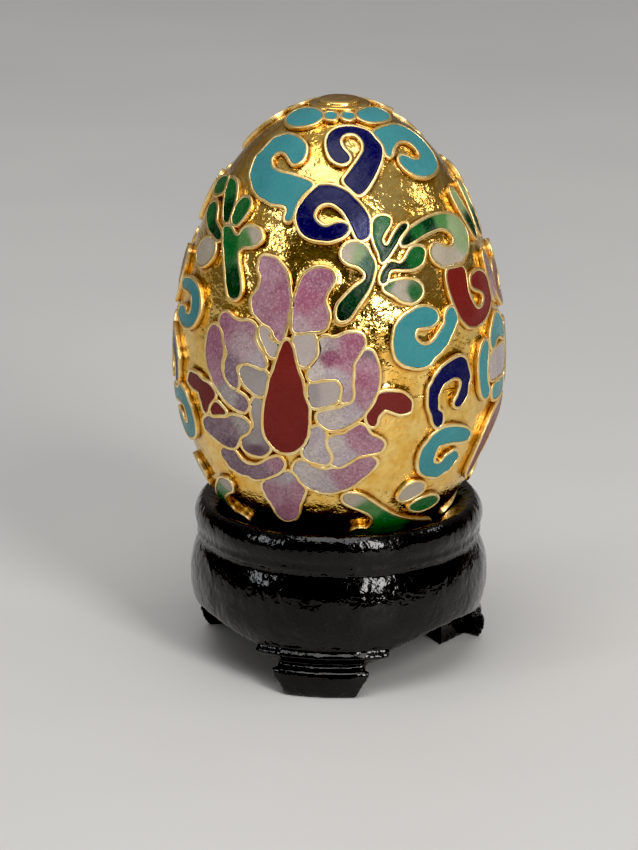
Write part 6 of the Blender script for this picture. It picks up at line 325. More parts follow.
        (1, [[68.12,37.757],[67.43,37.767],[66.76,37.836],[66.13,37.932],[65.54,38.052],[65.04,38.205],[64.69,38.395],[64.6,38.611],[64.6,38.831],[64.73,39.046],[64.97,39.252],[65.32,39.441],[65.8,39.599],[66.35,39.735],[66.97,39.834],[67.64,39.907],[68.32,39.956],[69.02,39.989],[69.72,40.012],[70.43,40.017],[71.13,40.017],[71.84,40.017],[72.55,40.017],[73.25,40.017],[73.96,39.999],[74.65,39.971],[75.34,39.919],[76.01,39.848],[76.65,39.76],[77.24,39.643],[77.77,39.5],[78.2,39.329],[78.53,39.136],[78.74,38.927],[78.85,38.711],[78.84,38.491],[78.67,38.279],[78.23,38.108],[77.66,37.979],[77.04,37.88],[76.37,37.809],[75.69,37.765],[74.99,37.757],[74.29,37.776],[73.6,37.811],[72.92,37.865],[72.25,37.922],[71.56,37.948],[70.87,37.907],[70.19,37.858],[69.51,37.804],[68.82,37.76]]),
        (0, [[66.08,34.163],[65.39,34.209],[64.71,34.267],[64.05,34.337],[63.41,34.429],[62.83,34.552],[62.34,34.708],[61.91,34.882]]),
        (0, [[61.18,36.157],[61.31,36.373],[61.52,36.583],[61.78,36.787],[62.14,36.976],[62.58,37.148],[63.13,37.284],[63.76,37.381],[64.43,37.447],[65.11,37.492],[65.81,37.521],[66.51,37.544],[67.2,37.564],[67.9,37.584],[68.6,37.603],[68.95,37.604]]),
        (0, [[68.6,37.603],[69.3,37.604],[70.0,37.623],[70.7,37.624],[71.41,37.624],[72.11,37.624],[72.81,37.624],[73.51,37.615],[74.21,37.604],[74.91,37.589]]),
        (0, [[74.21,37.604],[74.91,37.589],[75.61,37.582],[76.31,37.564],[77.01,37.545],[77.71,37.525],[78.4,37.496],[79.08,37.448],[79.74,37.373],[80.36,37.27],[80.89,37.126],[81.36,36.963],[81.7,36.771],[81.93,36.563],[82.06,36.346],[82.11,36.126],[82.11,35.906],[82.11,35.686],[82.03,35.467],[81.87,35.253],[81.59,35.052],[81.16,34.88],[80.66,34.724],[80.11,34.587],[79.52,34.47],[78.9,34.369],[78.24,34.291],[77.57,34.221],[76.9,34.162],[76.21,34.113],[75.52,34.067],[74.83,34.028],[74.13,34.001],[73.43,33.978],[72.73,33.964],[72.02,33.964],[71.32,33.964],[70.61,33.964],[69.91,33.984],[69.21,34.006],[68.51,34.034],[67.81,34.065],[67.12,34.101],[66.42,34.141],[66.08,34.163]]),
        (0, [[82.51,36.459],[82.44,36.677],[82.32,36.894],[82.14,37.106],[81.91,37.313],[81.59,37.508],[81.25,37.7],[80.93,37.895],[80.63,38.092],[80.37,38.295],[80.31,38.513],[80.46,38.725],[80.92,38.892],[81.51,39.012],[82.16,39.097],[82.86,39.129],[83.56,39.122],[84.23,39.068],[84.87,38.977],[85.45,38.855],[85.94,38.702],[86.36,38.529],[86.73,38.343],[87.06,38.151],[87.35,37.952],[87.61,37.749],[87.84,37.542],[88.02,37.33],[88.18,37.116],[88.32,36.901],[88.47,36.687],[88.59,36.47],[88.63,36.251],[88.54,36.033],[88.41,35.817],[88.29,35.601],[88.28,35.382],[88.41,35.166],[88.57,34.951],[88.61,34.732],[88.54,34.514],[88.38,34.301],[88.19,34.09],[87.98,33.882],[87.72,33.68],[87.41,33.483],[87.05,33.298],[86.63,33.125],[86.14,32.968],[85.65,32.814],[85.11,32.676],[84.51,32.562],[83.86,32.484],[83.16,32.47],[82.45,32.487],[81.9,32.622],[81.47,32.798],[81.16,32.997],[81.0,33.211],[80.99,33.431],[81.05,33.65],[81.12,33.868],[81.22,34.085],[81.33,34.302],[81.45,34.518],[81.6,34.732],[81.77,34.945]]),
    ],
    "foot_rosette_a": [
        (1, [[-79.55,60.578],[-81.16,60.587],[-82.76,60.625],[-84.35,60.687],[-85.94,60.764],[-87.51,60.862],[-89.11,60.964],[-90.69,61.085],[-92.27,61.216],[-93.85,61.36],[-95.37,61.524],[-96.76,61.709],[-97.94,61.914],[-98.72,62.131],[-99.37,62.35],[-99.52,62.561],[-99.34,62.762],[-98.94,62.954],[-98.37,63.139],[-97.7,63.32],[-96.88,63.496],[-95.91,63.666],[-94.69,63.825],[-93.34,63.98],[-91.87,64.134],[-90.06,64.269],[-87.98,64.391],[-85.57,64.49],[-82.87,64.563],[-79.94,64.601],[-76.92,64.613],[-73.95,64.582],[-71.22,64.511],[-68.78,64.412],[-66.65,64.293],[-64.82,64.157],[-63.22,64.011],[-61.83,63.856],[-60.58,63.698],[-59.54,63.531],[-58.62,63.36],[-57.87,63.182],[-57.3,62.996],[-56.94,62.802],[-56.81,62.599],[-56.86,62.39],[-57.36,62.172],[-58.03,61.953],[-59.17,61.747],[-60.55,61.56],[-62.1,61.399],[-63.63,61.245],[-65.19,61.107],[-66.76,60.982],[-68.34,60.873],[-69.93,60.78],[-71.53,60.706],[-73.13,60.645],[-74.73,60.603],[-76.33,60.578],[-77.94,60.578]]),
    ],
    "foot_rosette_b": [
        (1, [[-19.55,60.578],[-21.16,60.587],[-22.76,60.625],[-24.35,60.687],[-25.94,60.764],[-27.51,60.862],[-29.11,60.964],[-30.69,61.085],[-32.27,61.216],[-33.85,61.36],[-35.37,61.524],[-36.76,61.709],[-37.94,61.914],[-38.72,62.131],[-39.37,62.35],[-39.52,62.561],[-39.34,62.762],[-38.94,62.954],[-38.37,63.139],[-37.7,63.32],[-36.88,63.496],[-35.91,63.666],[-34.69,63.825],[-33.34,63.98],[-31.87,64.134],[-30.06,64.269],[-27.98,64.391],[-25.57,64.49],[-22.87,64.563],[-19.94,64.601],[-16.92,64.613],[-13.95,64.582],[-11.22,64.511],[-8.78,64.412],[-6.65,64.293],[-4.82,64.157],[-3.22,64.011],[-1.83,63.856],[-0.58,63.698],[0.46,63.531],[1.38,63.36],[2.13,63.182],[2.7,62.996],[3.06,62.802],[3.19,62.599],[3.14,62.39],[2.64,62.172],[1.97,61.953],[0.83,61.747],[-0.55,61.56],[-2.1,61.399],[-3.63,61.245],[-5.19,61.107],[-6.76,60.982],[-8.34,60.873],[-9.93,60.78],[-11.53,60.706],[-13.13,60.645],[-14.73,60.603],[-16.33,60.578],[-17.94,60.578]]),
    ],
    "foot_rosette_c": [
        (1, [[40.45,60.578],[38.84,60.587],[37.24,60.625],[35.65,60.687],[34.06,60.764],[32.49,60.862],[30.89,60.964],[29.31,61.085],[27.73,61.216],[26.15,61.36],[24.63,61.524],[23.24,61.709],[22.06,61.914],[21.28,62.131],[20.63,62.35],[20.48,62.561],[20.66,62.762],[21.06,62.954],[21.63,63.139],[22.3,63.32],[23.12,63.496],[24.09,63.666],[25.31,63.825],[26.66,63.98],[28.13,64.134],[29.94,64.269],[32.02,64.391],[34.43,64.49],[37.13,64.563],[40.06,64.601],[43.08,64.613],[46.05,64.582],[48.78,64.511],[51.22,64.412],[53.35,64.293],[55.18,64.157],[56.78,64.011],[58.17,63.856],[59.42,63.698],[60.46,63.531],[61.38,63.36],[62.13,63.182],[62.7,62.996],[63.06,62.802],[63.19,62.599],[63.14,62.39],[62.64,62.172],[61.97,61.953],[60.83,61.747],[59.45,61.56],[57.9,61.399],[56.37,61.245],[54.81,61.107],[53.24,60.982],[51.66,60.873],[50.07,60.78],[48.47,60.706],[46.87,60.645],[45.27,60.603],[43.67,60.578],[42.06,60.578]]),
    ],
}
# where a filling changes colour: motif, cell, azimuth, drop, colour
SPOTS = [
    ("lotus", "petal_upper_left", -26.9, 23.42, "pink"),
    ("lotus", "petal_upper_left", -21.1, 26.17, "pinkdeep"),
    ("lotus", "petal_upper_left", -28.1, 26.35, "pink"),
    ("lotus", "petal_upper_left", -19.5, 29.03, "pink"),
    ("lotus", "petal_upper_right", -7.4, 23.45, "pinkdeep"),
    ("lotus", "petal_upper_right", -11.6, 26.34, "rose"),
    ("lotus", "petal_upper_right", -7.3, 27.85, "pink"),
    ("lotus", "petal_upper_right", -13.5, 29.13, "pinkpale"),
    ("lotus", "petal_left", -43.4, 29.28, "pinkdeep"),
    ("lotus", "petal_left", -33.6, 31.24, "pinkpale"),
    ("lotus", "petal_left", -26.9, 33.08, "lilac"),
    ("lotus", "petal_left", -32, 29.6, "pink"),
    ("lotus", "petal_left", -40.5, 34.43, "mauve"),
    ("lotus", "petal_left", -33.6, 37.65, "mauve"),
    ("lotus", "petal_left_outer", -47.4, 31.94, "pinkdeep"),
    ("lotus", "petal_left_outer", -46.1, 35.07, "pink"),
    ("lotus", "petal_left_outer", -40.7, 37.25, "grey"),
    ("lotus", "petal_left_outer", -33.7, 38.2, "mauve"),
    ("lotus", "small_left", -24.1, 30.38, "white"),
    ("lotus", "small_right", -12.4, 30.67, "white"),
    ("lotus", "small_right", -12.7, 31.82, "white"),
    ("lotus", "petal_right", -6.3, 30.63, "white"),
    ("lotus", "petal_right", -8.1, 33.45, "white"),
    ("lotus", "petal_right", -3.3, 30.63, "pinkpale"),
    ("lotus", "petal_right", 3.4, 30.58, "rose"),
    ("lotus", "petal_right", 6.2, 30, "rose"),
    ("lotus", "petal_right", 1.6, 32.74, "pink"),
    ("lotus", "petal_right", -3, 31.98, "rosedeep"),
    ("lotus", "petal_right", 1.3, 32.43, "rose"),
    ("lotus", "petal_right", -0.8, 33.88, "lilac"),
    ("lotus", "petal_right", 1.7, 35.91, "pinkpale"),
    ("lotus", "petal_right_outer", 8.2, 32.53, "pink"),
    ("lotus", "petal_right_outer", 8.7, 34.33, "rose"),
    ("lotus", "petal_right_outer", 10.8, 33.64, "pink"),
    ("lotus", "petal_right_outer", 7.9, 36.33, "pink"),
    ("lotus", "petal_right_outer", 3.5, 37.77, "lilac"),
    ("lotus", "petal_right_outer", -1.1, 38.6, "white"),
    ("lotus", "petal_right_outer", -5.5, 38.81, "white"),
    ("lotus", "petal_right_outer", 9.4, 31.61, "mauve"),
    ("lotus", "inner_left", -29.5, 35.31, "grey"),
    ("lotus", "inner_right", -4.2, 35.56, "white"),
    ("lotus", "inner_right", -9.2, 35.68, "grey"),
    ("lotus", "strip_left", -28.6, 37.98, "grey"),
    ("lotus", "strip_left", -30.6, 41.79, "grey"),
    ("lotus", "strip_left", -30.2, 42.72, "mauvedark"),
    ("lotus", "lower_left", -50, 40.86, "mauve"),
    ("lotus", "lower_left", -42.3, 41.38, "mauve"),
    ("lotus", "lower_left", -33.8, 39.99, "grey"),
    ("lotus", "lower_left", -41.6, 42.99, "mauvedark"),
    ("lotus", "bottom_left", -41.4, 44.43, "mauve"),
    ("lotus", "bottom_left", -30.5, 45.7, "mauve"),
    ("lotus", "bottom_left", -21.2, 44.07, "pink"),
    ("lotus", "lower_right", -7.9, 40.28, "lilac"),
    ("lotus", "lower_right", -9, 42.61, "white"),
    ("lotus", "lower_right", -5.5, 42.24, "lilac"),
    ("lotus", "star_right", -2.4, 41.54, "white"),
    ("lotus", "star_right", 1.3, 42.74, "lilac"),
    ("lotus", "star_right", 6.1, 41.06, "pink"),
    ("lotus", "star_right", 11.2, 41.06, "pink"),
    ("lotus", "star_right", 7.4, 39.38, "pinkdeep"),
    ("lotus", "bottom_right", -15.1, 44.53, "white"),
    ("lotus", "bottom_right", -10.4, 45.73, "white"),
    ("lotus", "bottom_right", -5.4, 46.62, "lilac"),
    ("lotus", "bottom_right", 0.8, 45.72, "pink"),
    ("lotus", "bottom_right", 6.8, 44.17, "pink"),
    ("lotus", "bottom_right", 11.4, 43.43, "pink"),
    ("lotus", "petal_bottom", -19.2, 45.39, "lilac"),
    ("lotus", "petal_bottom", -26.3, 48.9, "pink"),
    ("lotus", "petal_bottom", -15.4, 47.14, "pink"),
    ("lotus", "petal_bottom", -22.5, 50.55, "pinkdeep"),
    ("sprig_right", "leaf_lower", 3.2, 21.33, "palewhite"),
    ("sprig_right", "leaf_lower", 7, 21.58, "greenpale"),
    ("sprig_right", "leaf_lower", 9.5, 22.24, "greenteal"),
    ("sprig_right", "leaf_lower", 10.1, 24.11, "greendark"),
    ("sprig_right", "leaf_lower", 4.7, 26.07, "greendark"),
    ("sprig_right", "leaf_lower", 1, 27.67, "greenblack"),
    ("sprig_right", "leaf_upper", 19.6, 18.07, "greenmid"),
    ("sprig_right", "leaf_upper", 15.7, 19.25, "greenmid"),
    ("sprig_right", "leaf_upper", 20.4, 20.63, "greendark"),
    ("sprig_right", "leaf_upper", 27.1, 18.94, "greenblack"),
    ("sprig_right", "leaf_small", 31.4, 21.65, "greenmid"),
    ("sprig_right", "leaf_small", 30.2, 22.44, "greenmid"),
    ("sprig_right", "leaf_small", 23.1, 22.8, "greenblack"),
    ("sprig_right", "leaf_round", 22, 24.84, "palewhite"),
    ("sprig_right", "leaf_round", 26.7, 25.84, "greenmid"),
    ("sprig_right", "leaf_round", 18.4, 24.21, "greenmid"),
    ("sprig_right", "leaf_round", 24.1, 26.16, "palewhite"),
    ("sprig_comma", "comma", 27.9, 20.03, "greenblack"),
    ("sprig_comma", "comma", 33.3, 19.49, "greenmid"),
    ("sprig_comma", "comma", 41, 18.96, "greendark"),
    ("sprig_comma", "comma", 47.3, 18.83, "greenlight"),
    ("sprig_comma", "comma", 55.4, 19.83, "greenpale"),
    ("sprig_comma", "comma", 56.8, 21.69, "greenpale"),
    ("sprig_comma", "comma", 50.3, 23.26, "palewhite"),
    ("sprig_comma", "comma", 43.2, 22.21, "palewhite"),
    ("sprig_left", "stem", -36, 20, "palewhite"),
    ("sprig_left", "stem", -41, 21, "greenlight"),
    ("sprig_left", "stem", -48, 21.5, "greenmid"),
    ("sprig_left", "stem", -41, 25.5, "greendark"),
    ("sprig_left", "leaf_mid", -65, 16, "greenmid"),
    ("sprig_left", "leaf_mid", -57, 18.5, "greendark"),
    ("sprig_left", "leaf_in", -49, 17.5, "greenmid"),
    ("sprig_left", "leaf_out", -73, 19, "greenmid"),
    ("sprig_left", "leaf_out", -58, 20.5, "greendark"),
    ("sprig_left", "leaf_low", -63, 23, "palewhite"),
    ("sprig_left", "leaf_tip", -76, 16.4, "greenmid"),
    ("sprig_low", "stem", 4, 48.3, "palewhite"),
    ("sprig_low", "stem", 10, 50.5, "greenlight"),
    ("sprig_low", "stem", 22, 52.5, "greenmid"),
    ("sprig_low", "stem", 9, 54.5, "greenteal"),
    ("sprig_low", "stem", 45, 55, "greendark"),
    ("sprig_low", "leaf_green", 38, 50.5, "greenmid"),
    ("sprig_low", "leaf_white", 29, 48, "palewhite"),
    ("sprig_low_left", "stem", -50, 48.5, "palewhite"),
    ("sprig_low_left", "stem", -56, 50.5, "greenlight"),
    ("sprig_low_left", "stem", -68, 52.5, "greenmid"),
    ("sprig_low_left", "stem", -55, 54.5, "greenteal"),
    ("sprig_low_left", "stem", -90, 55, "greendark"),
    ("sprig_low_left", "leaf_green", -84, 50.7, "greenmid"),
    ("sprig_low_left", "leaf_white", -75, 48.4, "palewhite"),
    ("sprig_edge", "leaf_a", 66, 17, "greenpale"),
    ("sprig_edge", "leaf_a", 70, 21, "greendark"),
    ("sprig_edge", "leaf_b", 79, 17, "greenpale"),
    ("sprig_edge", "leaf_b", 75, 21, "greendark"),
    ("flower", "centre", 66, 36, "white"),
    ("flower", "centre", 72, 36, "lilac"),
    ("flower", "centre", 78, 36, "white"),
    ("leaf_edge_mauve", "leaf", 72.5, 25, "mauve"),
    ("leaf_edge_mauve", "leaf", 72.5, 28, "pink"),
    ("cobalt_mid", "scroll", 11, 19, "cobaltlight"),
    ("cobalt_mid", "scroll", 4, 16.5, "cobalt"),
    ("cobalt_mid", "scroll", -14, 16, "cobalt"),
    ("cobalt_mid", "scroll", -8, 19, "cobalt"),
]
NODES = {
    "lotus_wires": [("lotus", "wires")],
    "lotus_heart_red": [("lotus", ["heart"])],
    "lotus_petals_upper_pink": [("lotus", ["petal_upper_left", "petal_upper_right"])],
    "lotus_petals_left_pink": [("lotus", ["petal_left", "petal_left_outer"])],
    "lotus_petals_right_pink": [("lotus", ["petal_right", "petal_right_outer"])],
    "lotus_petals_lower_pink": [("lotus", ["lower_left", "bottom_left", "lower_right",
                                            "star_right", "bottom_right", "petal_bottom"])],
    "lotus_cells_white": [("lotus", ["small_left", "small_right", "inner_left",
                                      "inner_right", "strip_left"])],
    "red_leaf_wires": [("leaf_right", "wires"), ("leaf_left", "wires"),
                       ("leaf_edge_red", "wires")],
    "red_leaf_enamel": [("leaf_right", ["leaf"]), ("leaf_left", ["leaf", "bud"]),
                        ("leaf_edge_red", ["leaf"])],
    "crown_scroll_left_wires": [("scroll_upper_left", "wires")],
    "crown_scroll_left_turquoise": [("scroll_upper_left", ["scroll"])],
    "crown_scroll_right_wires": [("scroll_upper_right", "wires")],
    "crown_scroll_right_turquoise": [("scroll_upper_right", ["scroll"])],
    "mid_scroll_right_wires": [("scroll_mid_right", "wires")],
    "mid_scroll_right_turquoise": [("scroll_mid_right", ["scroll"])],
    "mid_scroll_left_wires": [("scroll_edge_left", "wires")],
    "mid_scroll_left_turquoise": [("scroll_edge_left", ["scroll"])],
    "low_scroll_wires": [("scroll_low_right", "wires"), ("scroll_foot_left", "wires")],
    "low_scroll_turquoise": [("scroll_low_right", ["scroll"]), ("scroll_foot_left", ["scroll"])],
    "crown_hook_wires": [("cobalt_top", "wires")],
    "crown_hook_cobalt": [("cobalt_top", ["scroll"])],
    "shoulder_scroll_wires": [("cobalt_mid", "wires")],
    "shoulder_scroll_cobalt": [("cobalt_mid", ["scroll"])],
    "side_scroll_wires": [("cobalt_right", "wires"), ("cobalt_left", "wires")],
    "side_scroll_cobalt": [("cobalt_right", ["scroll"]), ("cobalt_left", ["scroll"])],
    "sprig_right_wires": [("sprig_right", "wires")],
    "sprig_right_green": [("sprig_right", ["leaf_lower", "leaf_upper", "leaf_small", "leaf_round"])],
    "comma_wires": [("sprig_comma", "wires"), ("sprig_edge", "wires")],
    "comma_green": [("sprig_comma", ["comma"]), ("sprig_edge", ["leaf_a", "leaf_b"])],
    "sprig_left_wires": [("sprig_left", "wires")],
    "sprig_left_green": [("sprig_left", ["stem", "leaf_mid", "leaf_in", "leaf_out", "leaf_tip"])],
    "sprig_left_white": [("sprig_left", ["leaf_low"])],
    "red_scroll_wires": [("scroll_red", "wires"), ("scroll_red_left", "wires")],
    "red_scroll_enamel": [("scroll_red", ["scroll"]), ("scroll_red_left", ["scroll"])],
    "flower_wires": [("flower", "wires"), ("leaf_edge_mauve", "wires")],
    "flower_petals_turquoise": [("flower", ["petal_side_a", "petal_side_b", "petal_top", "petal_low"])],
    "flower_centre_white": [("flower", ["centre"])],
    "flower_bud_pink": [("leaf_edge_mauve", ["leaf"])],
    "low_sprig_wires": [("sprig_low", "wires"), ("sprig_low_left", "wires")],
    "low_sprig_green": [("sprig_low", ["stem", "leaf_green"]), ("sprig_low_left", ["stem", "leaf_green"])],
    "low_sprig_white": [("sprig_low", ["leaf_white"]), ("sprig_low_left", ["leaf_white"])],
    "top_rosette_wires": [("rosette_a", "wires"), ("rosette_b", "wires"), ("rosette_c", "wires")],
    "top_rosette_turquoise": [("rosette_a", ["petal"]), ("rosette_b", ["petal"]),
                              ("rosette_c", ["drop_a", "drop_b"])],
    "foot_rosette_wires": [("foot_rosette_a", "wires"), ("foot_rosette_b", "wires"),
                           ("foot_rosette_c", "wires")],
    "foot_rosette_turquoise": [("foot_rosette_a", ["petal"]), ("foot_rosette_b", ["petal"]),
                               ("foot_rosette_c", ["petal"])],
}

MM = 0.001

# the egg over the tops of the wires: two half ellipsoids
R_EGG, H_UP, H_LOW, Z_GIRTH = 18.0, 28.3, 22.6, 33.4
RELIEF = 0.65        # the gilt ground lies this far below the wires
RECESS = 0.07        # the enamel lies this far below the wires
_t = np.linspace(0.0, math.pi, 8001)
_r = R_EGG * np.sin(_t)
_z = np.where(_t <= math.pi / 2, H_UP, H_LOW) * np.cos(_t)
_s = np.concatenate([[0.0], np.cumsum(np.hypot(np.diff(_r), np.diff(_z)))])
S_GIRTH = float(np.interp(math.pi / 2, _t, _s))
S_END = float(_s[-1])


def radius_at(drop):
    return np.interp(drop, _s, _r)


def on_egg(az, drop, inset=0.0):
    """Points (mm) and outward normals of the egg, inset along the normal."""
    az, drop = np.asarray(az, float), np.asarray(drop, float)
    r, z = np.interp(drop, _s, _r), np.interp(drop, _s, _z)
    semi = np.where(z >= 0, H_UP, H_LOW)
    nr, nz = r / R_EGG ** 2, z / semi ** 2
    size = np.hypot(nr, nz)
    nr, nz = nr / size, nz / size
    a = np.radians(az)
    n = np.stack([nr * np.sin(a), -nr * np.cos(a), nz], 1)
    p = np.stack([r * np.sin(a), -r * np.cos(a), z + Z_GIRTH], 1)
    return p - n * np.reshape(inset * np.ones(len(p)), (-1, 1)), n


# ---------------------------------------------------------------- noise
_lattice = np.random.RandomState(20611).rand(40, 40, 40) * 2 - 1


def vnoise(p, size, seed=0):
    """Smooth lattice noise in -1..1 with features of the given size."""
    q = p / size + np.array([3.17, 7.31, 1.73]) * (seed + 1) + 400.0
    i = np.floor(q).astype(int)
    f = q - i
    f = f * f * f * (f * (f * 6 - 15) + 10)
    i0, i1 = i % 40, (i + 1) % 40
    out = 0.0
    for cx, wx in ((i0[:, 0], 1 - f[:, 0]), (i1[:, 0], f[:, 0])):
        for cy, wy in ((i0[:, 1], 1 - f[:, 1]), (i1[:, 1], f[:, 1])):
            for cz, wz in ((i0[:, 2], 1 - f[:, 2]), (i1[:, 2], f[:, 2])):
                out = out + _lattice[cx, cy, cz] * wx * wy * wz
    return out


# ---------------------------------------------------------------- meshes
def mesh_object(name, verts_mm, faces, scalars=None, colours=None):
    me = bpy.data.meshes.new(name)
    me.from_pydata((np.asarray(verts_mm) * MM).tolist(), [], faces)
    me.update()
    for key, values in (scalars or {}).items():
        me.attributes.new(key, "FLOAT", "POINT").data.foreach_set("value", np.asarray(values, np.float32))
    if colours is not None:
        rgba = np.ones((len(verts_mm), 4), np.float32)
        rgba[:, :3] = colours
        me.attributes.new("tint", "FLOAT_COLOR", "POINT").data.foreach_set("color", rgba.ravel())
    me.polygons.foreach_set("use_smooth", np.ones(len(me.polygons), bool))
    o = bpy.data.objects.new(name, me)
    bpy.context.scene.collection.objects.link(o)
    return o


class Build:
    """Gathers several closed shapes into one mesh."""

    def __init__(self):
        self.verts, self.faces, self.tint, self.flat, self.count = [], [], [], [], 0

    def add(self, verts, faces, tint=None):
        self.verts.append(np.asarray(verts, float))
        self.faces += [tuple(int(i) + self.count for i in f) for f in faces]
        if tint is not None:
            self.tint.append(np.asarray(tint, float))
        self.count += len(verts)

    def make(self, name):
        return mesh_object(name, np.vstack(self.verts), self.faces,
                           colours=np.vstack(self.tint) if self.tint else None)


# ---------------------------------------------------------------- splines
def periodic_spline(K, spacing):
    """Closed centripetal cubic spline through the points K."""
    K = np.asarray(K, float)
    n = len(K)
    nxt = np.roll(K, -1, 0)
    h = np.hypot(*(nxt - K).T) ** 0.5
    hp = np.roll(h, 1)
    A = np.zeros((n, n))
    rhs = np.zeros((n, 2))
    slope = (nxt - K) / h[:, None]
    for i in range(n):
        A[i, i] += 2 * (hp[i] + h[i])
        A[i, (i - 1) % n] += hp[i]
        A[i, (i + 1) % n] += h[i]
        rhs[i] = 6 * (slope[i] - slope[(i - 1) % n])
    M = np.linalg.solve(A, rhs)
    Mn = np.roll(M, -1, 0)
    out = []
    for i in range(n):
        m = max(2, int(math.ceil(h[i] ** 2 / spacing)))
        u = np.linspace(0, h[i], m, endpoint=False)[:, None]
        a, b = (h[i] - u), u
        out.append(M[i] * a ** 3 / (6 * h[i]) + Mn[i] * b ** 3 / (6 * h[i])
                   + (K[i] / h[i] - M[i] * h[i] / 6) * a + (nxt[i] / h[i] - Mn[i] * h[i] / 6) * b)
    return np.vstack(out)


def signed_area(P):
    x, y = P[:, 0], P[:, 1]
    return 0.5 * float(np.sum(x * np.roll(y, -1) - np.roll(x, -1) * y))


def edge_distance(P, Q):
    """Distance from each point P to the closed polyline Q."""
    best = np.full(len(P), 1e9)
    a, b = Q, np.roll(Q, -1, 0)
    d = b - a
    dd = np.maximum((d ** 2).sum(1), 1e-12)
    for k in range(0, len(P), 1500):
        p = P[k:k + 1500, None, :]
        u = np.clip(((p - a) * d).sum(2) / dd, 0, 1)
        near = a + d * u[..., None]
        best[k:k + 1500] = np.sqrt(((p - near) ** 2).sum(2)).min(1)
    return best


def inside(P, Q):
    a, b = Q, np.roll(Q, -1, 0)
    out = np.zeros(len(P), bool)
    for k in range(0, len(P), 1500):
        p = P[k:k + 1500, None, :]
        cross = (a[:, 1] > p[..., 1]) != (b[:, 1] > p[..., 1])
        with np.errstate(divide="ignore", invalid="ignore"):
            x = (b[:, 0] - a[:, 0]) * (p[..., 1] - a[:, 1]) / (b[:, 1] - a[:, 1]) + a[:, 0]
        out[k:k + 1500] = (cross & (p[..., 0] < x)).sum(1) % 2 == 1
    return out


def linear(rgb):
    c = np.asarray(rgb, float) / 255.0
    return np.where(c <= 0.04045, c / 12.92, ((c + 0.055) / 1.055) ** 2.4)


# ---------------------------------------------------------------- enamel
def enamel_cell(build, knots, spots, base, turns):
    """One filling of glass: crowned against its fence, dished in the middle."""
    K = np.asarray(knots, float)
    a0 = float(K[:, 0].mean())
    flat = np.stack([radius_at(K[:, 1]) * np.radians(K[:, 0] - a0), K[:, 1]], 1)
    P = periodic_spline(flat, 0.13)
    if signed_area(P) < 0:
        P = P[::-1]
    d = np.roll(P, -1, 0) - np.roll(P, 1, 0)
    nrm = np.stack([d[:, 1], -d[:, 0]], 1) / np.maximum(np.hypot(*d.T), 1e-9)[:, None]
    edge = P + nrm * 0.06
    ring = P - nrm * 0.07
    ring2 = P - nrm * 0.22
    lo, hi = edge.min(0), edge.max(0)
    step = 0.19
    xs, ys = np.arange(lo[0], hi[0], step), np.arange(lo[1], hi[1], step * 0.866)
    gx, gy = np.meshgrid(xs, ys)
    gx = gx + (np.arange(len(ys)) % 2)[:, None] * step / 2
    grid = np.stack([gx.ravel(), gy.ravel()], 1)
    grid = grid[inside(grid, edge)]
    grid = grid[edge_distance(grid, edge) > 0.36]
    for extra, least in ((ring, 0.10), (ring2, 0.24)):
        extra = extra[inside(extra, edge)]
        extra = extra[edge_distance(extra, edge) > least]
        if len(extra):
            keep = [0]
            for i in range(1, len(extra)):
                if np.hypot(*(extra[i] - extra[keep[-1]])) > 0.09:
                    keep.append(i)
            grid = np.vstack([grid, extra[keep]])
    pts = np.vstack([edge, grid])
    n = len(edge)
    verts, _e, tris, _a, _b, _c = delaunay_2d_cdt(
        [Vector(p) for p in pts.tolist()], [(i, (i + 1) % n) for i in range(n)], [], 1, 1e-5)
    V = np.array([tuple(v) for v in verts])
    dist = edge_distance(V, edge)
    r = radius_at(V[:, 1])
    az = a0 + np.degrees(V[:, 0] / r)
    # colour: blended between the cell's colour spots
    if spots:
        S = np.array([[radius_at(s[1]) * math.radians(s[0] - a0), s[1]] for s in spots])
        C = np.array([linear(COLOURS[s[2]]) for s in spots])
        W = 1.0 / (((V[:, None, :] - S[None]) ** 2).sum(2) + 0.10) ** 2.5
        tint = (W[..., None] * C[None]).sum(1) / W.sum(1)[:, None]
    else:
        tint = np.tile(linear(COLOURS[base]), (len(V), 1))
    # outline edges belong to one triangle only
    seen = {}
    for t in tris:
        for i in range(3):
            a, b = t[i], t[(i + 1) % 3]
            key = (min(a, b), max(a, b))
            seen[key] = None if key in seen else (a, b)
    rim = [e for e in seen.values() if e is not None]
    m = len(V)
    for turn in turns:
        p0, nn = on_egg(az + turn, V[:, 1], 0.0)
        lift = (RECESS + 0.015 - 0.03 * np.exp(-dist / 0.07) + 0.022 * (1 - np.exp(-dist / 0.7))
                + 0.016 * vnoise(p0, 1.3, 4) + 0.007 * vnoise(p0, 0.5, 5))
        top = p0 - nn * lift[:, None]
        low = p0 - nn * 0.72
        faces = []
        flip = None
        a, b, c = (top[i] for i in tris[0])
        flip = float(np.dot(np.cross(b - a, c - a), nn[tris[0][0]])) < 0
        for t in tris:
            f = (t[0], t[2], t[1]) if flip else tuple(t)
            faces.append(f)
            faces.append((f[0] + m, f[2] + m, f[1] + m))
        for a, b in rim:
            if flip:
                a, b = b, a
            faces.append((b, a, a + m, b + m))
        shade = 1.0 + 0.10 * vnoise(p0, 2.2, 9)[:, None]
        build.add(np.vstack([top, low]), faces, np.vstack([tint * shade, tint * shade]))


# ---------------------------------------------------------------- wires
SECTION = np.array([(-0.188, -0.80), (-0.186, -0.11), (-0.166, -0.042), (-0.108, -0.008), (0.0, 0.0),
                    (0.108, -0.008), (0.166, -0.042), (0.186, -0.11), (0.188, -0.80)])
wire_points = []


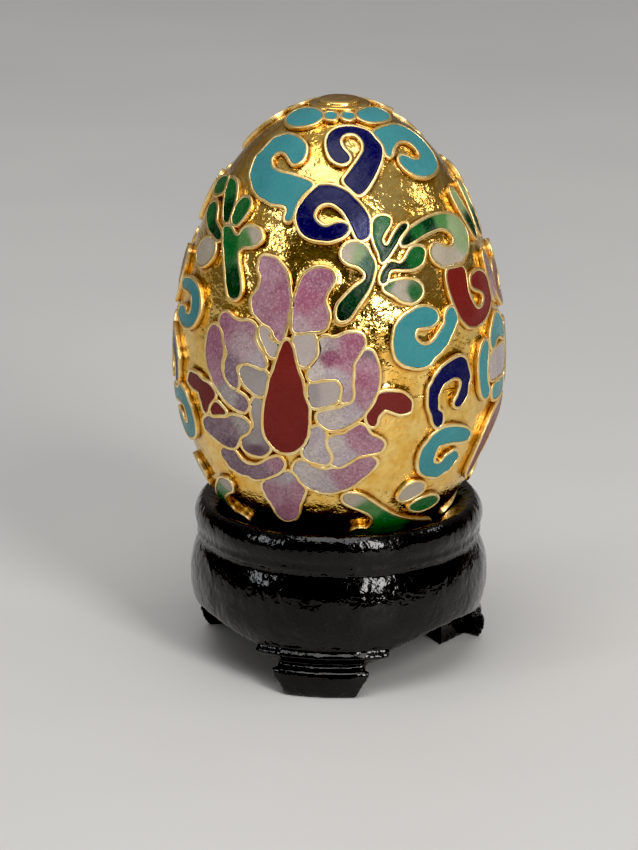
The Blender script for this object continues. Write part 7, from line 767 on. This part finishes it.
def wire(build, closed, knots, turns, seed):
    """A strip of flattened wire standing on edge along the path."""
    K = np.asarray(knots, float)
    for turn in turns:
        p, _n = on_egg(K[:, 0] + turn, K[:, 1])
        if closed:
            p = (np.roll(p, 1, 0) + 4 * p + np.roll(p, -1, 0)) / 6
            prv, nxt, nx2 = np.roll(p, 1, 0), np.roll(p, -1, 0), np.roll(p, -2, 0)
            mid = (-prv + 9 * p + 9 * nxt - nx2) / 16
            q = np.empty((2 * len(p), 3))
            q[0::2], q[1::2] = p, mid
            tan = np.roll(q, -1, 0) - np.roll(q, 1, 0)
        else:
            mid = (p[:-1] + p[1:]) / 2
            q = np.empty((2 * len(p) - 1, 3))
            q[0::2], q[1::2] = p, mid
            tan = np.gradient(q, axis=0)
        # back onto the egg
        zr = q[:, 2] - Z_GIRTH
        semi = np.where(zr >= 0, H_UP, H_LOW)
        k = 1.0 / np.sqrt((q[:, 0] ** 2 + q[:, 1] ** 2) / R_EGG ** 2 + zr ** 2 / semi ** 2)
        q = np.stack([q[:, 0] * k, q[:, 1] * k, zr * k + Z_GIRTH], 1)
        zr = q[:, 2] - Z_GIRTH
        n = np.stack([q[:, 0] / R_EGG ** 2, q[:, 1] / R_EGG ** 2, zr / semi ** 2], 1)
        n /= np.linalg.norm(n, axis=1)[:, None]
        side = np.cross(tan, n)
        side /= np.maximum(np.linalg.norm(side, axis=1), 1e-9)[:, None]
        wire_points.append(q)
        q = q + side * (0.022 * vnoise(q, 1.1, seed))[:, None]
        width = 1.0 + 0.10 * vnoise(q, 1.4, seed + 1) + 0.05 * vnoise(q, 0.5, seed + 2)
        rise = 0.012 * vnoise(q, 1.2, seed + 3) + 0.006 * vnoise(q, 0.45, seed + 4) - 0.012
        tilt = 0.10 * vnoise(q, 1.7, seed + 5)
        m, c = len(q), len(SECTION)
        x, y = SECTION[:, 0], SECTION[:, 1]
        up = np.where(y > -0.5, 1.0, 0.0)
        X = x[None] * width[:, None]
        Y = y[None] + up[None] * (rise[:, None] + tilt[:, None] * x[None])
        ringv = q[:, None, :] + side[:, None, :] * X[..., None] + n[:, None, :] * Y[..., None]
        faces = []
        for i in range(m if closed else m - 1):
            j = (i + 1) % m
            for s in range(c):
                t = (s + 1) % c
                faces.append((i * c + s, j * c + s, j * c + t, i * c + t))
        if not closed:
            faces.append(tuple(range(c)))
            faces.append(tuple((m - 1) * c + s for s in reversed(range(c))))
        build.add(ringv.reshape(-1, 3), faces)


# ---------------------------------------------------------------- node helpers
class Mat:
    def __init__(self, name):
        self.m = bpy.data.materials.new(name)
        self.m.use_nodes = True
        self.t = self.m.node_tree
        self.t.nodes.clear()
        self.out = self.t.nodes.new("ShaderNodeOutputMaterial")
        self.b = self.t.nodes.new("ShaderNodeBsdfPrincipled")
        self.t.links.new(self.b.outputs[0], self.out.inputs[0])
        self.co = self.t.nodes.new("ShaderNodeTexCoord").outputs["Object"]

    def set(self, **kw):
        for k, v in kw.items():
            socket = self.b.inputs[k.replace("_", " ")]
            if isinstance(v, (int, float, tuple, list)):
                socket.default_value = v
            else:
                self.t.links.new(v, socket)

    def noise(self, scale, detail=3.0, rough=0.55, distortion=0.0, stretch=None):
        n = self.t.nodes.new("ShaderNodeTexNoise")
        n.inputs["Scale"].default_value = scale
        n.inputs["Detail"].default_value = detail
        n.inputs["Roughness"].default_value = rough
        n.inputs["Distortion"].default_value = distortion
        self.t.links.new(self.co, n.inputs["Vector"])
        return n.outputs["Fac"]

    def cells(self, scale, feature="F1"):
        n = self.t.nodes.new("ShaderNodeTexVoronoi")
        n.feature = feature
        n.inputs["Scale"].default_value = scale
        self.t.links.new(self.co, n.inputs["Vector"])
        return n.outputs["Distance"]

    def attr(self, name, out="Fac"):
        n = self.t.nodes.new("ShaderNodeAttribute")
        n.attribute_name = name
        return n.outputs[out]

    def remap(self, v, a, b, c, d, smooth=False):
        n = self.t.nodes.new("ShaderNodeMapRange")
        n.clamp = True
        if smooth:
            n.interpolation_type = "SMOOTHSTEP"
        for i, x in enumerate((a, b, c, d)):
            n.inputs[i + 1].default_value = x
        self.t.links.new(v, n.inputs[0])
        return n.outputs[0]

    def math(self, op, a, b=None):
        n = self.t.nodes.new("ShaderNodeMath")
        n.operation = op
        for i, x in enumerate((a, b)):
            if x is None:
                continue
            if isinstance(x, (int, float)):
                n.inputs[i].default_value = x
            else:
                self.t.links.new(x, n.inputs[i])
        return n.outputs[0]

    def mix(self, fac, a, b, mode="MIX"):
        n = self.t.nodes.new("ShaderNodeMix")
        n.data_type = "RGBA"
        n.blend_type = mode
        for socket, x in ((n.inputs[0], fac), (n.inputs[6], a), (n.inputs[7], b)):
            if isinstance(x, (int, float)):
                socket.default_value = x
            elif isinstance(x, (tuple, list)):
                socket.default_value = (*x[:3], 1.0)
            else:
                self.t.links.new(x, socket)
        return n.outputs[2]

    def bump(self, *layers):
        """layers: (height socket, distance in mm, strength)"""
        normal = None
        for height, mm, strength in layers:
            n = self.t.nodes.new("ShaderNodeBump")
            n.inputs["Strength"].default_value = strength
            n.inputs["Distance"].default_value = mm * MM
            self.t.links.new(height, n.inputs["Height"])
            if normal is not None:
                self.t.links.new(normal, n.inputs["Normal"])
            normal = n.outputs[0]
        self.t.links.new(normal, self.b.inputs["Normal"])
        self.t.links.new(normal, self.b.inputs["Coat Normal"])


def srgb(r, g, b):
    return tuple(float(x) for x in linear((r, g, b)))


def gilt_ground():
    m = Mat("gilt_ground")
    near = m.attr("near")
    cloud = m.remap(m.noise(260, 4, 0.6), 0.38, 0.66, 0, 1, True)
    fine = m.remap(m.noise(1500, 3, 0.6), 0.42, 0.70, 0, 1, True)
    base = m.mix(cloud, srgb(250, 214, 130), srgb(240, 190, 92))
    base = m.mix(m.math("MULTIPLY", fine, 0.35), base, srgb(212, 142, 54))
    stain = m.math("MULTIPLY", m.remap(near, 0.25, 0.95, 0, 1, True), m.remap(m.noise(420, 3), 0.36, 0.62, 0.15, 0.85))
    base = m.mix(stain, base, srgb(168, 86, 20))
    seam = m.math("MULTIPLY", m.remap(near, 0.66, 0.97, 0, 1, True), m.remap(m.noise(900, 3), 0.38, 0.58, 0.35, 0.95))
    base = m.mix(seam, base, srgb(72, 36, 8))
    m.set(Base_Color=base, Metallic=1.0,
          Roughness=m.math("ADD", m.remap(fine, 0, 1, 0.10, 0.22), m.math("MULTIPLY", stain, 0.12)))
    pits = m.remap(m.cells(1400), 0.0, 0.22, 0, 1, True)
    m.bump((m.noise(700, 3, 0.55), 0.14, 0.8), (m.noise(1500, 2, 0.55, 0.4), 0.09, 0.75), (m.noise(2800, 2, 0.6), 0.025, 0.6), (pits, 0.03, 0.35))
    return m.m


def gilt_wire():
    m = Mat("gilt_wire")
    cloud = m.remap(m.noise(600, 3, 0.6), 0.35, 0.68, 0, 1, True)
    base = m.mix(cloud, srgb(253, 228, 168), srgb(244, 204, 128))
    m.set(Base_Color=base, Metallic=1.0, Roughness=m.remap(m.noise(2600, 3), 0.3, 0.7, 0.30, 0.48))
    m.bump((m.noise(2200, 3, 0.6), 0.04, 0.6), (m.noise(7000, 2), 0.012, 0.5))
    return m.m


def gilt_cap():
    m = Mat("gilt_cap")
    cloud = m.remap(m.noise(500, 3, 0.6), 0.35, 0.68, 0, 1, True)
    base = m.mix(cloud, srgb(248, 210, 128), srgb(232, 172, 78))
    m.set(Base_Color=base, Metallic=1.0, Roughness=m.remap(m.noise(1800, 3), 0.3, 0.7, 0.16, 0.32))
    m.bump((m.noise(1300, 3, 0.6), 0.05, 0.6), (m.noise(6000, 2), 0.012, 0.5))
    return m.m


def enamel(name, grain, grain_light, grain_dark, rough=(0.18, 0.34)):
    """Glass paste: the cell's colour broken up by small lighter and darker grains."""
    m = Mat(name)
    tint = m.attr("tint", "Color")
    light = m.mix(1.0, tint, (grain_light,) * 3, "ADD")
    dark = m.mix(1.0, tint, (grain_dark,) * 3, "MULTIPLY")
    blotch = m.remap(m.noise(1200, 3, 0.6), 0.44, 0.66, 0, grain * 0.5, True)
    speck = m.remap(m.noise(4200, 2, 0.6), 0.50, 0.66, 0, grain, True)
    deep = m.remap(m.noise(3000, 3, 0.65, 0.3), 0.53, 0.68, 0, grain, True)
    base = m.mix(blotch, tint, light)
    base = m.mix(deep, base, dark)
    base = m.mix(speck, base, light)
    pin = m.remap(m.cells(900), 0.0, 0.10, 1, 0, True)
    pin = m.math("MULTIPLY", pin, m.remap(m.noise(500, 1), 0.5, 0.6, 0, 1))
    base = m.mix(m.math("MULTIPLY", pin, 0.55), base, dark)
    m.set(Base_Color=base, Roughness=m.remap(m.noise(1900, 3), 0.3, 0.7, rough[0], rough[1]),
          IOR=1.52, Specular_IOR_Level=0.22)
    m.bump((m.noise(1700, 3, 0.6), 0.04, 0.45), (m.math("SUBTRACT", 1.0, pin), 0.05, 0.5),
           (m.noise(5200, 2, 0.6), 0.012, 0.5))
    return m.m


def lacquer():
    m = Mat("black_lacquer")
    cloud = m.noise(240, 4, 0.6)
    base = m.mix(m.remap(cloud, 0.35, 0.7, 0, 1), (0.0012, 0.0010, 0.0012), (0.0030, 0.0024, 0.0027))
    dust = m.remap(m.cells(2300), 0.0, 0.13, 1, 0, True)
    dust = m.math("MULTIPLY", dust, m.remap(m.noise(800, 2), 0.5, 0.66, 0, 1))
    base = m.mix(m.math("MULTIPLY", dust, 0.5), base, (0.035, 0.03, 0.03))
    m.set(Base_Color=base, Roughness=m.remap(m.noise(1300, 4, 0.65), 0.34, 0.70, 0.14, 0.34),
          IOR=1.5, Specular_IOR_Level=0.14, Coat_Weight=0.62, Coat_Roughness=0.03, Coat_IOR=1.5)
    m.bump((m.noise(380, 2, 0.5, 0.5), 0.30, 0.7), (m.noise(1000, 2, 0.6, 0.5), 0.12, 0.7), (m.noise(2600, 2, 0.6), 0.02, 0.6), (dust, 0.02, 0.5))
    return m.m


def floor_material():
    m = Mat("floor")
    m.set(Base_Color=m.mix(m.remap(m.noise(9, 3), 0.3, 0.7, 0, 1), srgb(216, 215, 212), srgb(208, 207, 205)),
          Roughness=0.55)
    return m.m


# ---------------------------------------------------------------- egg pieces
GROUND, WIRE, CAP = gilt_ground(), gilt_wire(), gilt_cap()
GLASS = {
    "turquoise": enamel("enamel_turquoise", 0.30, 0.05, 0.80),
    "cobalt": enamel("enamel_cobalt", 0.35, 0.03, 0.70),
    "red": enamel("enamel_red", 0.22, 0.02, 0.82),
    "green": enamel("enamel_green", 0.45, 0.06, 0.62),
    "pink": enamel("enamel_pink", 0.85, 0.13, 0.62),
    "white": enamel("enamel_white", 0.40, 0.06, 0.80),
}
COLOUR_OF = {"turq": "turquoise", "cobalt": "cobalt", "red": "red", "green": "green", "pink": "pink", "white": "white"}
TURNS = (0.0, 180.0)
spots_of = {}
for motif, cell, az, drop, colour in SPOTS:
    spots_of.setdefault((motif, cell), []).append((az, drop, colour))

cells_of = {m: {c[0]: c for c in data} for m, data in CELLS.items()}
for number, (node, sources) in enumerate(NODES.items()):
    build = Build()
    kind = None
    for motif, what in sources:
        if what == "wires":
            kind = "wires"
            for closed, knots in WIRES[motif]:
                wire(build, closed, knots, TURNS, 20 + number)
        else:
            for cell in what:
                name, colour, knots = cells_of[motif][cell]
                kind = COLOUR_OF[colour]
                enamel_cell(build, knots, spots_of.get((motif, cell)), kind, TURNS)
    piece = build.make(node + "_vis")
    if kind == "wires":
        piece.data.flip_normals()
    piece.data.materials.append(WIRE if kind == "wires" else GLASS[kind])
    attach(piece, "egg")
    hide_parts(node)

tree_points = np.vstack(wire_points)
tree = KDTree(len(tree_points))
for i, p in enumerate(tree_points):
    tree.insert(Vector(p), i)
tree.balance()


def half_shell(node, d0, d1, rings):
    """One half of the gilt ground: a closed thin shell with an uneven outside."""
    columns = 470
    az = np.linspace(0, 360, columns, endpoint=False)
    drops = np.linspace(d0, d1, rings)
    A, D = np.meshgrid(az, drops)
    p, n = on_egg(A.ravel(), D.ravel(), RELIEF)
    dist = np.array([tree.find(Vector(q))[2] for q in p])
    gap = np.maximum(np.sqrt(np.maximum(dist ** 2 - RELIEF ** 2, 0)) - 0.19, 0.0)
    near = np.exp(-gap / 0.45)
    up = (0.042 * vnoise(p, 2.3, 1) + 0.034 * vnoise(p, 1.05, 2) + 0.016 * vnoise(p, 0.5, 3)
          + 0.15 * np.exp(-gap / 0.16))
    up = np.minimum(up, 0.3)
    outer = p + n * up[:, None]
    inner_rows = np.linspace(d0, d1, 12)
    A2, D2 = np.meshgrid(az, inner_rows)
    q, _n = on_egg(A2.ravel(), D2.ravel(), RELIEF + 0.9)
    verts = np.vstack([outer, q])
    base = rings * columns
    faces = []
    for j in range(rings - 1):
        for i in range(columns):
            k = (i + 1) % columns
            faces.append((j * columns + i, (j + 1) * columns + i, (j + 1) * columns + k, j * columns + k))
    for j in range(11):
        for i in range(columns):
            k = (i + 1) % columns
            faces.append((base + j * columns + i, base + j * columns + k,
                          base + (j + 1) * columns + k, base + (j + 1) * columns + i))
    for i in range(columns):
        k = (i + 1) % columns
        faces.append((i, k, base + k, base + i))
        last = (rings - 1) * columns
        blast = base + 11 * columns
        faces.append((last + k, last + i, blast + i, blast + k))
    o = mesh_object(node + "_vis", verts, faces, scalars={"near": np.concatenate([near, np.zeros(len(q))])})
    o.data.materials.append(GROUND)
    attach(o, "egg")
    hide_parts(node)
    return o


half_shell("shell_upper", 1.35, S_GIRTH, 168)
half_shell("shell_lower", S_GIRTH, S_END - 1.35, 148)


def lathe(name, profile, columns, wobble):
    """Turned shape: closed by its own profile, which starts and ends on the axis."""
    prof = np.asarray(profile, float)
    az = np.linspace(0, 2 * math.pi, columns, endpoint=False)
    verts, faces, rows = [], [], []
    for r, z in prof:
        if r < 1e-6:
            rows.append([len(verts)])
            verts.append((0, 0, z))
        else:
            rows.append(list(range(len(verts), len(verts) + columns)))
            verts += [(r * math.sin(a), -r * math.cos(a), z) for a in az]
    for a, b in zip(rows[:-1], rows[1:]):
        for i in range(columns):
            k = (i + 1) % columns
            if len(a) == 1:
                faces.append((a[0], b[i], b[k]))
            elif len(b) == 1:
                faces.append((a[i], b[0], a[k]))
            else:
                faces.append((a[i], b[i], b[k], a[k]))
    v = np.array(verts)
    out = v.copy()
    r = np.hypot(v[:, 0], v[:, 1])
    radial = np.stack([v[:, 0], v[:, 1], np.zeros(len(v))], 1) / np.maximum(r, 1e-6)[:, None]
    out += radial * (wobble * vnoise(v, 1.2, 31) * (r > 0.4))[:, None]
    out[:, 2] += wobble * vnoise(v, 0.9, 32)
    return mesh_object(name, out, faces)


def smooth_profile(points, passes=2):
    P = [np.array(p, float) for p in points]
    for _ in range(passes):
        Q = [P[0]]
        for a, b in zip(P[:-1], P[1:]):
            Q += [a * 0.75 + b * 0.25, a * 0.25 + b * 0.75]
        Q.append(P[-1])
        P = Q
    return [tuple(p) for p in P]


top = Z_GIRTH + H_UP
cap_profile = [(0.0, top - 0.02), (1.3, top - 0.03), (1.95, top - 0.06), (2.28, top - 0.2), (2.36, top - 0.42),
               (2.40, top - 0.50), (2.9, top - 0.47), (3.2, top - 0.56), (3.3, top - 0.75), (3.28, top - 1.02),
               (2.9, top - 0.98), (1.2, top - 0.70), (1.17, top - 2.6), (0.0, top - 2.62)]
# bottom to top order so that the faces look outwards
o = lathe("top_cap_vis", smooth_profile(cap_profile), 96, 0.02)
o.data.materials.append(CAP)
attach(o, "egg")
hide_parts("top_cap")
foot = Z_GIRTH - H_LOW
o = lathe("bottom_cap_vis", [(r, foot + (top - z)) for r, z in smooth_profile(cap_profile)][::-1], 96, 0.02)
o.data.materials.append(CAP)
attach(o, "egg")
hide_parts("bottom_cap")


# ---------------------------------------------------------------- stand
def stand_piece():
    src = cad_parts["stand"]
    me = src.data.copy()
    o = bpy.data.objects.new("stand_vis", me)
    o.matrix_world = src.matrix_world.copy()
    bpy.context.scene.collection.objects.link(o)
    me.materials.clear()
    mod = o.modifiers.new("remesh", "REMESH")
    mod.mode = "VOXEL"
    mod.voxel_size = 0.24 * MM
    mod.use_smooth_shade = True
    mod = o.modifiers.new("soften", "SMOOTH")
    mod.factor = 0.5
    mod.iterations = 7
    dg = bpy.context.evaluated_depsgraph_get()
    done = bpy.data.meshes.new_from_object(o.evaluated_get(dg), depsgraph=dg)
    o.modifiers.clear()
    o.data = done
    n = len(done.vertices)
    co = np.empty(n * 3, np.float32)
    no = np.empty(n * 3, np.float32)
    done.vertices.foreach_get("co", co)
    done.vertices.foreach_get("normal", no)
    co, no = co.reshape(-1, 3).astype(float) / MM, no.reshape(-1, 3).astype(float)
    # lacquer over hand-turned wood: slow ripples, a light orange peel
    up = 0.045 * vnoise(co, 3.4, 41) + 0.022 * vnoise(co, 1.5, 42) + 0.012 * vnoise(co, 0.7, 43)
    up = np.where(co[:, 2] < 0.25, 0.0, up)
    co = co + no * up[:, None]
    co[:, 2] = np.maximum(co[:, 2], 0.0)
    done.vertices.foreach_set("co", (co * MM).astype(np.float32).ravel())
    done.update()
    done.polygons.foreach_set("use_smooth", np.ones(len(done.polygons), bool))
    done.materials.clear()
    done.materials.append(lacquer())
    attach(o, "stand")
    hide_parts("stand")
    return o


stand_piece()

# ---------------------------------------------------------------- stage
floor = mesh_object("floor", [(-4000, -2500, 0), (4000, -2500, 0), (4000, 5000, 0), (-4000, 5000, 0)], [(0, 1, 2, 3)])
floor.data.materials.append(floor_material())


def softbox(name, azimuth, elevation, distance, size, power, colour=(1, 1, 1), aim=(0, 0, 0.034)):
    lamp = bpy.data.lights.new(name, "AREA")
    lamp.shape = "RECTANGLE"
    lamp.size, lamp.size_y = size
    lamp.energy = power
    lamp.color = colour
    o = bpy.data.objects.new(name, lamp)
    a, e = math.radians(azimuth), math.radians(elevation)
    way = Vector((math.sin(a) * math.cos(e), -math.cos(a) * math.cos(e), math.sin(e)))
    o.location = Vector(aim) + way * distance
    o.rotation_mode = "QUATERNION"
    o.rotation_quaternion = (-way).to_track_quat("-Z", "Y")
    bpy.context.scene.collection.objects.link(o)
    return o


softbox("window", 30, 28, 0.60, (0.14, 0.34), 2.1, (1.0, 0.985, 0.96))
softbox("overhead", -12, 70, 0.80, (0.60, 0.60), 3.2, (1.0, 0.995, 0.98))
softbox("fill", -62, 26, 0.80, (0.14, 0.22), 0.55, (0.95, 0.98, 1.0))
softbox("side", 97, 34, 0.70, (0.08, 0.12), 0.20, (1.0, 0.99, 0.97))

world = bpy.data.worlds.new("studio")
bpy.context.scene.world = world
world.use_nodes = True
wt = world.node_tree
wt.nodes.clear()
w_out = wt.nodes.new("ShaderNodeOutputWorld")
w_bg = wt.nodes.new("ShaderNodeBackground")
w_ramp = wt.nodes.new("ShaderNodeValToRGB")
w_map = wt.nodes.new("ShaderNodeMapRange")
w_sep = wt.nodes.new("ShaderNodeSeparateXYZ")
w_co = wt.nodes.new("ShaderNodeTexCoord")
wt.links.new(w_co.outputs["Generated"], w_sep.inputs[0])
wt.links.new(w_sep.outputs["Z"], w_map.inputs[0])
w_map.inputs[1].default_value, w_map.inputs[2].default_value = -0.2, 1.0
wt.links.new(w_map.outputs[0], w_ramp.inputs[0])
ramp = w_ramp.color_ramp
ramp.elements[0].position, ramp.elements[0].color = 0.0, (0.30, 0.28, 0.26, 1)
ramp.elements[1].position, ramp.elements[1].color = 1.0, (0.75, 0.76, 0.78, 1)
e = ramp.elements.new(0.30)
e.color = (0.22, 0.19, 0.17, 1)
e = ramp.elements.new(0.60)
e.color = (0.42, 0.41, 0.41, 1)
wt.links.new(w_ramp.outputs[0], w_bg.inputs[0])
# the room is darker on the viewer's side
w_dot = wt.nodes.new("ShaderNodeVectorMath")
w_dot.operation = "DOT_PRODUCT"
w_dot.inputs[1].default_value = (-0.10, -0.92, 0.38)
wt.links.new(w_co.outputs["Generated"], w_dot.inputs[0])
w_dark = wt.nodes.new("ShaderNodeMapRange")
w_dark.interpolation_type = "SMOOTHSTEP"
wt.links.new(w_dot.outputs["Value"], w_dark.inputs[0])
for slot, x in enumerate((0.50, 0.92, 0.56, 0.16)):
    w_dark.inputs[slot + 1].default_value = x
wt.links.new(w_dark.outputs[0], w_bg.inputs[1])
wt.links.new(w_bg.outputs[0], w_out.inputs[0])

view = bpy.context.scene.view_settings
view.view_transform = "Standard"
view.look = "None"
view.exposure = 0.0
view.gamma = 1.0
view.use_curve_mapping = True
view.curve_mapping.black_level = (0.013, 0.013, 0.013)
view.curve_mapping.update()

camera_data = bpy.data.cameras.new("camera")
camera = bpy.data.objects.new("camera", camera_data)
bpy.context.scene.collection.objects.link(camera)
camera.location = (-0.00215, -0.3725, 0.1415)
camera.rotation_euler = (math.radians(90 - 17.3), 0.0, 0.0)
camera_data.sensor_width = 36.0
camera_data.lens = 3600.0 / 850.0 * 36.0
camera_data.clip_start, camera_data.clip_end = 0.01, 20.0
bpy.context.scene.camera = camera

bpy.context.view_layer.update()
